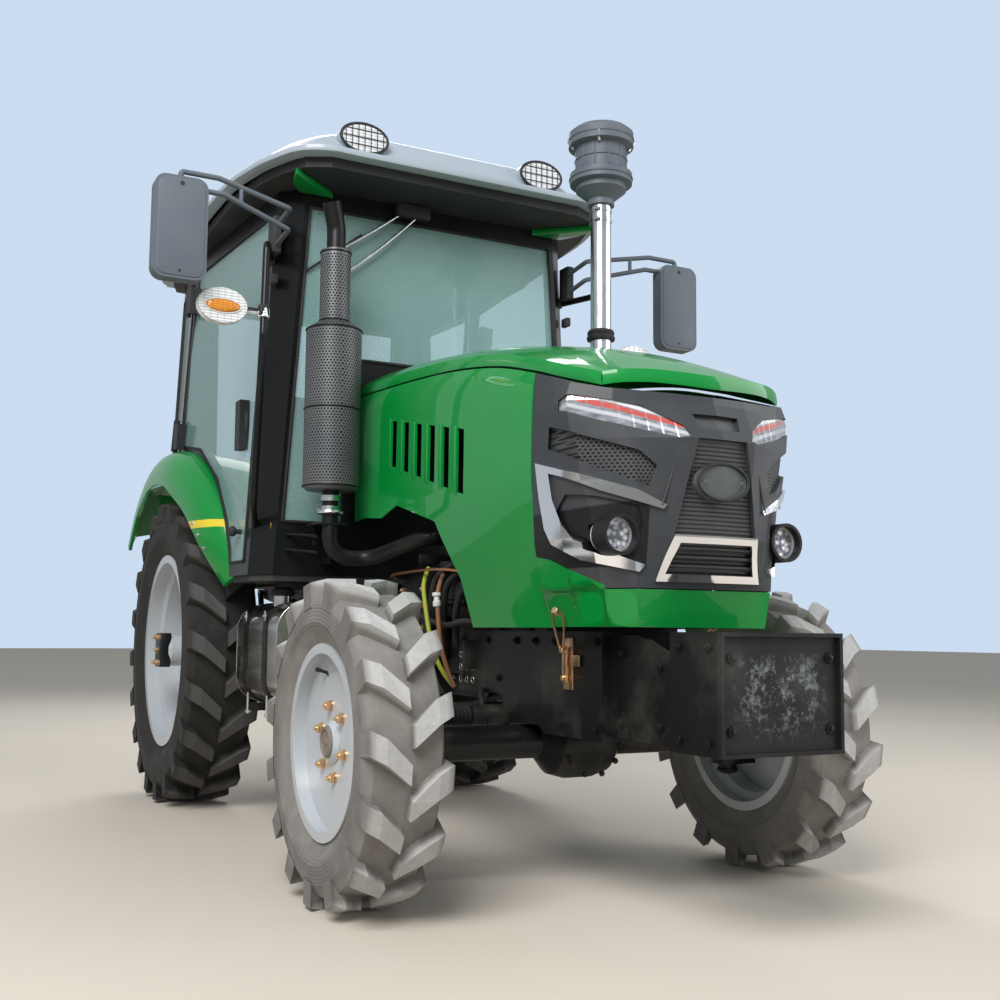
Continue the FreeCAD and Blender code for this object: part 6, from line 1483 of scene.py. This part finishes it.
class TRACTOR_OT_frame_fittings(bpy.types.Operator):
    """Adds the bolts of the frame, axles and gearbox, the tank's cap, seams and lines, and the steps' treads"""

    bl_idname = "tractor.frame_fittings"
    bl_label = "Frame fittings"

    def execute(self, context):
        spots = []
        plates = ((FRAME_SIDE, ((-1.53, 0.76), (-1.53, 0.52), (-1.3, 0.76), (-1.18, 0.76), (-1.06, 0.76),
                                (-0.94, 0.64), (-0.68, 0.76), (-0.68, 0.64), (-0.86, 0.76))),
                  (0.1723, ((-1.62, 0.545), (-1.62, 0.73), (-1.8, 0.545), (-1.8, 0.7))),
                  (0.1923, ((-2.03, 0.755), (-2.03, 0.525), (-1.91, 0.755), (-1.91, 0.525))))
        for sign in SIGNS:
            spots += [((x * sign, y, z), (sign, 0, 0)) for x, places in plates for y, z in places]
        bolted("frame_bolts", spots, 0.019, 0.01)
        edges = [ring("edge", (0.2005 * sign, -0.7 + 0.046 * i, 0.667 + 0.042 * j), 0.01, 0.0016, (1, 0, 0), 20)
                 for sign in SIGNS for i in (-1, 0, 1) for j in (-1, 0, 1)]
        given(joined(*edges), "frame_hole_edges", "steel", 50)
        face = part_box("front_axle_beam")[0].y + 0.002
        spots = [((0.09912 * math.cos(turn), face, 0.448 + 0.1 * math.sin(turn)), (0, -1, 0))
                 for turn in around(10)]
        bolted("axle_case_bolts", spots, 0.014, 0.008)
        for side, sign in SIDES:
            caps = stood(((0.034, 0.0), (0.036, 0.004), (0.036, 0.012), (0.02, 0.02), (0.008, 0.021)), 28,
                         ((KINGPIN * sign, -1.075, 0.6252), UP), ((KINGPIN * sign, -1.075, 0.3348), (0, 0, -1)))
            given(caps, "kingpin_caps_" + side, "frame_black", 40)
            knuckle = [((KINGPIN * sign + 0.045 * math.cos(a), -1.075 + 0.045 * math.sin(a), 0.6005), (0, 0, 1))
                       for a in (0.8, 2.4, 3.9, 5.5)]
            bolted("knuckle_bolts_" + side, knuckle, 0.013, 0.008, body="knuckle_" + side)
        gaiters = []
        for sign in SIGNS:
            rows = [(0.02, 0.0)]
            for i in range(7):
                rows += [(0.031, 0.006 + i * 0.014), (0.022, 0.013 + i * 0.014)]
            gaiters.append(stood(rows, 24, ((0.301 * sign, -0.93, 0.522), (sign, 0, 0))))
        given(joined(*gaiters), "steering_gaiters", "rubber_black", 50)
        lines = [(0.008, row) for row in mirrored([[(0.24, -0.905, 0.55), (0.235, -0.86, 0.6), (0.15, -0.78, 0.59),
                                                    (0.12, -0.64, 0.54), (0.13, -0.4, 0.52), (0.14, -0.1, 0.5)]])]
        piped("steering_hoses", lines, "rubber_black")
        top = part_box("fuel_tank")[1].z
        cap = stood(((0.036, 0.0), (0.046, 0.002), (0.047, 0.008), (0.044, 0.01), (0.044, 0.022), (0.04, 0.027),
                     (0.014, 0.028), (0.013, 0.024)), 40, ((-0.575, 0.215, top - 0.002), UP))
        wing = eased(block("wing", (-0.611, 0.207, top + 0.022), (-0.539, 0.223, top + 0.036)), 0.004)
        given(joined(cap, wing), "tank_cap", "dark_plastic", 40)
        line = corner_line(((-0.475, 0.787, 0), (-0.56, 0.787, 90), (-0.56, 0.6, 180), (-0.475, 0.6, 270)),
                           0.104, 15, 7)
        beads = [(0.0028, [(x, y, z) for x, z in line + line[:1]]) for y in (-0.0285, 0.5385)]
        piped("tank_seams", beads, "tank_steel")
        hooks = []
        for y in (0.13, 0.4):
            hooks.append(rod("bolt", (-0.65, y, 0.45), (-0.65, y, 0.535), 0.006))
            hooks.append(stood(((0.01, 0.0), (0.011, 0.002), (0.011, 0.01)), 6, ((-0.65, y, 0.454), UP)))
            hooks.append(eased(block("lug", (-0.6705, y - 0.012, 0.82), (-0.6655, y + 0.012, 0.86)), 0.002))
            hooks.append(rod("bolt", (-0.676, y, 0.84), (-0.66, y, 0.84), 0.007))
        plug = stood(((0.013, 0.0), (0.013, 0.01), (0.009, 0.012)), 6, ((-0.52, 0.255, 0.4952), (0, 0, -1)))
        given(joined(plug, *hooks), "tank_bolts", "steel", 40)
        piped("tank_lines", [(0.006, [(-0.42, -0.03, 0.56), (-0.4, -0.08, 0.6), (-0.32, -0.2, 0.76),
                                      (-0.24, -0.28, 0.8)]),
                                      (0.005, [(-0.5, 0.3, 0.895), (-0.44, 0.25, 0.935), (-0.33, 0.1, 0.94),
                                               (-0.2, -0.1, 0.93)])], "rubber_black")
        treads = [((0.53 + 0.0215 * i, 0.16, z + 0.0005), (0.538 + 0.0215 * i, 0.32, z + 0.006))
                  for z in (0.464, 0.724) for i in range(8)]
        boxed("step_treads", treads, "frame_black", 0.0015)
        handle = [((0.4, 0.01, 0.826), (0.48, 0.016, 0.846)), ((0.505, 0.18, 0.78), (0.514, 0.24, 0.806))]
        boxed("battery_catches", handle, "steel", 0.0015)
        case_bolts = []
        for sign in SIGNS:
            for y, z in ((1.1, 0.9), (1.25, 0.93), (1.45, 0.9), (1.1, 0.56), (1.45, 0.56), (1.55, 0.74),
                         (1.08, 0.74)):
                case_bolts.append(((0.2053 * sign, y, z), (sign, 0, 0)))
            for x, radius, start in ((0.2053, 0.128, 0.2), (0.5903, 0.084, 0.0)):
                for turn in around(8, start):
                    case_bolts.append(((x * sign, AXLES["rear"][0] + radius * math.cos(turn),
                                        AXLES["rear"][1] + radius * math.sin(turn)), (sign, 0, 0)))
            for y in (-0.15, 0.05, 0.25, 0.45, 0.65, 0.85, 1.0):
                case_bolts.append(((0.1503 * sign, y, 0.855), (sign, 0, 0)))
        bolted("case_bolts", case_bolts, 0.017, 0.01)
        return {"FINISHED"}


CUSHION_VOXEL = 0.006


class TRACTOR_OT_cab_inside(bpy.types.Operator):
    """Furnishes the cab: seat cushions, levers, pedals, gauges, mats and vents"""

    bl_idname = "tractor.cab_inside"
    bl_label = "Inside of the cab"

    def execute(self, context):
        for node, low, high, lean in (("seat_cushion", (-0.235, 1.1, 1.405), (0.235, 1.55, 1.515), 0.0),
                                      ("seat_back", (-0.225, 1.565, 1.44), (0.225, 1.66, 2.03), 0.045)):
            piece = block(node + "_pad", low, high)
            bpy.ops.object.mode_set(mode="EDIT")
            bpy.ops.mesh.select_all(action="SELECT")
            bpy.ops.mesh.subdivide(number_cuts=5)
            form = bmesh.from_edit_mesh(piece.data)
            middle = (Vector(low) + Vector(high)) / 2
            for vert in form.verts:
                up = (vert.co.z - low[2]) / (high[2] - low[2])
                wing = abs(vert.co.x / high[0])
                if lean:
                    vert.co.y += lean * up
                    if vert.co.y < middle.y + lean * up:
                        vert.co.y -= 0.03 * wing ** 3
                    vert.co.x *= 1 - 0.16 * up ** 3
                elif vert.co.z > middle.z:
                    vert.co.z += 0.022 * wing ** 3 - 0.01
            bmesh.update_edit_mesh(piece.data)
            bpy.ops.object.mode_set(mode="OBJECT")
            piece = eased(piece, 0.028, 4)
            pick(piece)
            bpy.ops.object.modifier_add(type="REMESH")
            piece.modifiers[-1].mode = "VOXEL"
            piece.modifiers[-1].voxel_size = CUSHION_VOXEL
            bpy.ops.object.modifier_apply(modifier=piece.modifiers[-1].name)
            piece = padded_piece(piece)
            given(piece, node + "_pad", "cloth", 60)
            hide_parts(node)
        boxed("seat_shell", [((-0.14, 1.2, 1.3995), (0.14, 1.5, 1.4045))], "dark_plastic")
        arms = mirrored([((0.262, 1.28, 1.61), (0.318, 1.6, 1.648)), ((0.27, 1.56, 1.42), (0.3, 1.61, 1.625))])
        boxed("arm_rests", arms, "dark_plastic", 0.01)
        consoles = [((-0.47, 1.06, 1.2505), (-0.33, 1.56, 1.47)), ((0.33, 1.06, 1.2505), (0.47, 1.52, 1.43))]
        boxed("consoles", consoles, "dark_plastic", 0.02)
        sticks, knobs = [], []
        for x, y, z, dx, dy, tall in ((-0.4, 1.15, 1.46, 0.02, -0.05, 0.2), (-0.4, 1.28, 1.46, 0.0, -0.03, 0.17),
                                      (-0.38, 1.4, 1.46, -0.01, -0.02, 0.15), (0.4, 1.2, 1.42, 0.0, -0.04, 0.2),
                                      (0.4, 1.35, 1.42, 0.0, -0.02, 0.15), (0.12, 0.78, 1.0, 0.02, 0.05, 0.42)):
            tip = Vector((x + dx, y + dy, z + tall))
            sticks.append((0.006, [(x, y, z), (x + dx * 0.3, y + dy * 0.4, z + tall * 0.5), tip]))
            knobs.append(stood(((0.007, 0.0), (0.016, 0.012), (0.018, 0.026), (0.014, 0.04), (0.006, 0.046)), 20,
                               (tip - Vector((0, 0, 0.004)), UP)))
        piped("lever_rods", sticks, "steel")
        given(joined(*knobs), "lever_knobs", "dark_plastic", 50)
        pads, stems = [], []
        for x, y, z in ((-0.3, 0.3, 1.15), (0.27, 0.3, 1.15), (0.36, 0.3, 1.15)):
            pads.append(((x - 0.032, y, z - 0.035), (x + 0.032, y + 0.01, z + 0.035)))
            stems.append((0.008, [(x, y, z), (x, y - 0.06, z + 0.03), (x, 0.135, z + 0.12)]))
        boxed("pedal_pads", pads, "rubber_black", 0.004)
        piped("pedal_stems", stems, "frame_black")
        boxed("floor_mat", [((-0.44, 0.38, 1.0003), (0.44, 1.02, 1.0075))], "rubber_black")
        lean = Vector((0, 0.55, 0.83))
        hub = stood(((0.036, 0.0), (0.048, 0.01), (0.048, 0.024), (0.036, 0.032), (0.012, 0.034)), 36,
                    (Vector((0, 0.57, 1.82)) - lean.normalized() * 0.006, lean))
        given(hub, "steering_boss", "dark_plastic", 40)
        dials = [ring("dial", (x, 0.335, 1.668), 0.038, 0.004, (0, 0.32, 0.95)) for x in (-0.1, 0.0, 0.1)]
        given(joined(*dials), "dash_dials", "chrome", 50)
        switches = [((x + 0.035 * i, 0.262, 1.6905), (x + 0.024 + 0.035 * i, 0.284, 1.7005))
                    for x in (-0.19, 0.1) for i in range(3)]
        boxed("dash_switches", switches, "dark_plastic", 0.002)
        vents = []
        for x in (-0.42, -0.14, 0.14, 0.42):
            vents.append(ring("vent", (x, 0.95, 2.541), 0.045, 0.006))
            for i in range(-2, 3):
                vents.append(rod("slat", (x - 0.036, 0.95 + i * 0.014, 2.541),
                                 (x + 0.036, 0.95 + i * 0.014, 2.541), 0.002, 8))
        given(joined(*vents), "ceiling_vents", "dark_plastic", 50)
        glass = eased(block("glass", (-0.12, 0.205, 2.3), (0.12, 0.222, 2.37)), 0.006)
        given(glass, "inside_mirror", "dark_plastic")
        piped("inside_mirror_stem", [(0.006, [(0.0, 0.15, 2.46), (0.0, 0.19, 2.41), (0.0, 0.212, 2.36)])],
              "frame_black")
        return {"FINISHED"}


def padded_piece(piece):
    """Fills a cushion's cover: a pressed cloth, run and applied, with its movement held small."""
    limit, frames = 0.012, 20
    before = [vert.co.copy() for vert in piece.data.vertices]
    cloth = piece.modifiers.new("fill", "CLOTH")
    cloth.settings.use_pressure = True
    cloth.settings.uniform_pressure_force = 4.0
    cloth.settings.effector_weights.gravity = 0.0
    cloth.settings.quality = 5
    cloth.point_cache.frame_start = 1
    cloth.point_cache.frame_end = frames
    scene = bpy.context.scene
    for step in range(1, frames + 1):
        scene.frame_set(step)
    pick(piece)
    bpy.ops.object.modifier_apply(modifier="fill")
    scene.frame_set(1)
    for vert, spot in zip(piece.data.vertices, before):
        move = vert.co - spot
        if move.length > limit:
            vert.co = spot + move.normalized() * limit
    smooth = piece.modifiers.new("round", "SUBSURF")
    smooth.levels = 1
    bpy.ops.object.modifier_apply(modifier="round")
    return piece


class TRACTOR_OT_rear_fittings(bpy.types.Operator):
    """Adds the power take-off's splines and guard, couplers, tail lenses and the linkage's pins"""

    bl_idname = "tractor.rear_fittings"
    bl_label = "Rear fittings"

    def execute(self, context):
        splines = []
        for turn in around(6):
            out = Vector((math.cos(turn), 0, math.sin(turn)))
            start = Vector((0, 1.628, 0.64)) + out * 0.0155
            splines.append(rod("spline", start, start + Vector((0, 0.078, 0)), 0.0042, 8))
        given(joined(*splines), "pto_splines", "steel", 40)
        guard = tube("guard", [(-0.085, 1.606, 0.6), (-0.085, 1.606, 0.7), (-0.06, 1.606, 0.735),
                               (0.06, 1.606, 0.735), (0.085, 1.606, 0.7), (0.085, 1.606, 0.6)], 0.005, 5)
        hood = skin("pto_guard", [[(-0.088, y, 0.59), (-0.088, y, 0.69), (-0.06, y, 0.732), (0.0, y, 0.742),
                                   (0.06, y, 0.732), (0.088, y, 0.69), (0.088, y, 0.59)]
                                  for y in (1.606, 1.65, 1.69)], 3, 1, 0.004)
        given(joined(hood, guard), "pto_guard", "frame_black", 40)
        bolted("pto_bolts", [((0.05 * math.cos(turn), 1.6225, 0.64 + 0.05 * math.sin(turn)), (0, 1, 0))
                             for turn in around(6, 0.3)], 0.01, 0.006)
        couplers, caps = [], []
        for x in (-0.095, -0.05, 0.05, 0.095):
            couplers.append(stood(((0.013, 0.0), (0.013, 0.02), (0.018, 0.023), (0.018, 0.042), (0.014, 0.045),
                                   (0.014, 0.055)), 24, ((x, 1.62, 1.055), (0, 1, 0.25))))
            caps.append(stood(((0.016, 0.0), (0.018, 0.004), (0.016, 0.01), (0.008, 0.012)), 24,
                              ((x, 1.672, 1.068), (0, 1, 0.25))))
        given(joined(*couplers), "couplers", "steel", 40)
        given(joined(*caps), "coupler_caps", "red_lens", 40)
        boxed("coupler_block", [((-0.116, 1.585, 1.03), (0.116, 1.622, 1.082))], "engine_black", 0.006)
        threads = [ring("thread", (0, y + i * 0.005, 0.885), 0.0195, 0.0018, (0, 1, 0), 24)
                   for i in range(10) for y in (1.96, 1.775)]
        given(joined(*threads), "top_link_threads", "steel", 50)
        grips = [(0.006, [(0.018, 1.85, 0.885), (0.034, 1.862, 0.885), (0.036, 1.93, 0.885),
                          (0.022, 1.945, 0.885)])]
        piped("top_link_handle", grips, "frame_black")
        pins = [ring("linch", (0.262 * sign, 1.43, 0.452), 0.015, 0.002, (sign, 0.3, 0)) for sign in SIGNS]
        pins.append(ring("linch", (0.068, 1.73, 0.898), 0.015, 0.002, (1, 0.3, 0)))
        given(joined(*pins), "linch_pins", "zinc_gold", 50)
        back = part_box("tail_lamps")[1].y
        for name, foot, head, finish in (("tail_lenses", 1.268, 1.318, "red_lens"),
                                         ("tail_ambers", 1.321, 1.366, "orange_lens")):
            lenses = [eased(block("lens", (0.662 * sign, back - 0.001, foot), (0.738 * sign, back + 0.004, head)),
                            0.003) for sign in SIGNS]
            given(joined(*lenses), name, finish)
        plate = eased(block("plate", (-0.2, 1.7825, 1.15), (0.2, 1.786, 1.26)), 0.001)
        given(plate, "blank_plate", "white_fitting")
        socket = stood(((0.028, 0.0), (0.03, 0.004), (0.03, 0.03), (0.026, 0.034), (0.01, 0.035)), 28,
                       ((0.3, 1.78, 1.18), (0, 1, 0)))
        given(socket, "trailer_socket", "dark_plastic", 40)
        boxed("rear_window_fittings", [((-0.04, 1.779, 1.35), (0.04, 1.8, 1.372)),
                                       ((-0.3, 1.77, 2.452), (-0.24, 1.8, 2.485)),
                                       ((0.24, 1.77, 2.452), (0.3, 1.8, 2.485))], "dark_plastic", 0.004)
        seal = tube("seal", [(x, 1.7805, z) for x, z in REAR_WINDOW + REAR_WINDOW[:1]], SEAL_RADIUS, 5, True)
        given(seal, "rear_window_seal", "rubber_black")
        chains = []
        for sign in SIGNS:
            for i in range(9):
                share = (i + 0.5) / 9
                spot = Vector((0.17, 1.56, 0.56)).lerp(Vector((0.212, 1.8, 0.445)), share)
                spot.x *= sign
                link = ring("link", (0, 0, 0), 0.012, 0.0028, (1, 0, 0) if i % 2 else (0, 0, 1), 16)
                toward = Vector((0.042 * sign, 0.24, -0.115))
                turn = Vector((0, 1, 0)).rotation_difference(toward).to_matrix().to_4x4()
                chains.append(copies(link, [Matrix.Translation(spot) @ turn @ Matrix.Diagonal((1, 1.35, 1, 1))]))
        given(joined(*chains), "check_chains", "zinc_gold", 50)
        return {"FINISHED"}


ROOM_LIGHT = (0.86, 0.93, 1.0)
ROOM_VIEW = (0.6, 0.72, 0.88)
# How much brighter the room looks in glossy surfaces.
SHINE = 0.35
# The camera: its place, then its turn about the upright, its tilt and its roll in degrees.
CAMERA_SPOT = (-1.953, -4.332, 0.786)
CAMERA_TURN = (27.304, 5.545, 0.506)


class TRACTOR_OT_stage(bpy.types.Operator):
    """Sets the floor, the lamps, the room's light and the camera"""

    bl_idname = "tractor.stage"
    bl_label = "Stage"

    def execute(self, context):
        scene = context.scene
        studio = scene.tractor_studio
        clear_pick()
        bpy.ops.mesh.primitive_plane_add(size=90, location=(0, 0, 0))
        floor = named("studio_floor")
        floor.data.materials.append(concrete("studio_floor", tuple(studio.floor)).material)
        lamps = (
            ("key", (-4.6, -5.2, 6.4), 4.2, studio.key_power),
            ("fill", (5.5, -4.0, 3.2), 4.5, studio.fill_power),
            ("back", (2.0, 7.0, 6.5), 4.0, studio.rim_power),
        )
        for name, place, size, power in lamps:
            bpy.ops.object.light_add(type="AREA", location=place)
            lamp = bpy.context.object
            lamp.name = "studio_" + name
            lamp.data.size = size
            lamp.data.energy = power
            lamp.rotation_euler = (Vector((0, 0, 1.0)) - Vector(place)).to_track_quat("-Z", "Y").to_euler()
        world = bpy.data.worlds.new("studio_room")
        scene.world = world
        world.use_nodes = True
        room = Graph(world.node_tree)
        rays = room.add("LightPath")
        seen, glossy, through = (Wire(room, rays.outputs[key])
                                 for key in ("Is Camera Ray", "Is Glossy Ray", "Is Transmission Ray"))
        light = room.put("Background", {}, {0: ROOM_LIGHT, 1: glossy * (studio.sky * SHINE) + studio.sky})
        view = room.put("Background", {}, {0: ROOM_VIEW, 1: 1.0})
        mixed = room.put("MixShader", {}, {0: seen.worked("MAXIMUM", seen, through), 1: light, 2: view})
        room.add("OutputWorld", {}, {0: mixed})
        yaw, pitch, roll = (math.radians(turn) for turn in CAMERA_TURN)
        ahead = Vector((math.sin(yaw) * math.cos(pitch), math.cos(yaw) * math.cos(pitch), math.sin(pitch)))
        right = ahead.cross(Vector((0, 0, 1))).normalized()
        up = right.cross(ahead)
        right, up = (right * math.cos(roll) + up * math.sin(roll), up * math.cos(roll) - right * math.sin(roll))
        turn = Matrix((right, up, -ahead)).transposed().to_4x4()
        bpy.ops.object.camera_add()
        camera = bpy.context.object
        camera.name = "photo_camera"
        camera.matrix_world = Matrix.Translation(CAMERA_SPOT) @ turn
        camera.data.sensor_width = 36
        camera.data.lens = 42.29
        camera.data.shift_y = 0.018
        camera.data.dof.use_dof = False
        scene.camera = camera
        scene.view_settings.view_transform = "Standard"
        return {"FINISHED"}


class TRACTOR_PT_panel(bpy.types.Panel):
    """Lists the tractor's pieces and its values"""

    bl_idname = "TRACTOR_PT_panel"
    bl_label = "Tractor"
    bl_space_type = "VIEW_3D"
    bl_region_type = "UI"
    bl_category = "Tractor"

    def draw(self, context):
        layout = self.layout
        for group in (context.scene.tractor_colours, context.scene.tractor_studio):
            for key in group.bl_rna.properties.keys():
                if key not in ("rna_type", "name"):
                    layout.prop(group, key)
        for maker in MAKERS:
            layout.operator(maker.bl_idname)


GROUPS = (TractorColours, StudioSettings)
MAKERS = (
    TRACTOR_OT_finishes,
    TRACTOR_OT_wheel_fittings,
    TRACTOR_OT_ballast_fittings,
    TRACTOR_OT_hood,
    TRACTOR_OT_roof,
    TRACTOR_OT_fenders,
    TRACTOR_OT_mask_fittings,
    TRACTOR_OT_stack_fittings,
    TRACTOR_OT_cab_fittings,
    TRACTOR_OT_engine_fittings,
    TRACTOR_OT_frame_fittings,
    TRACTOR_OT_cab_inside,
    TRACTOR_OT_rear_fittings,
    TRACTOR_OT_stage,
)


def register():
    """Registers the values, the operators and the panel."""
    for group in GROUPS + MAKERS + (TRACTOR_PT_panel,):
        bpy.utils.register_class(group)
    bpy.types.Scene.tractor_colours = bpy.props.PointerProperty(type=TractorColours)
    bpy.types.Scene.tractor_studio = bpy.props.PointerProperty(type=StudioSettings)


def unregister():
    """Takes back what register added."""
    del bpy.types.Scene.tractor_studio
    del bpy.types.Scene.tractor_colours
    for group in reversed(GROUPS + MAKERS + (TRACTOR_PT_panel,)):
        bpy.utils.unregister_class(group)


def main():
    """Makes every piece and the stage."""
    register()
    for maker in MAKERS:
        area, call = maker.bl_idname.split(".")
        getattr(getattr(bpy.ops, area), call)()


if __name__ == "__main__":
    main()
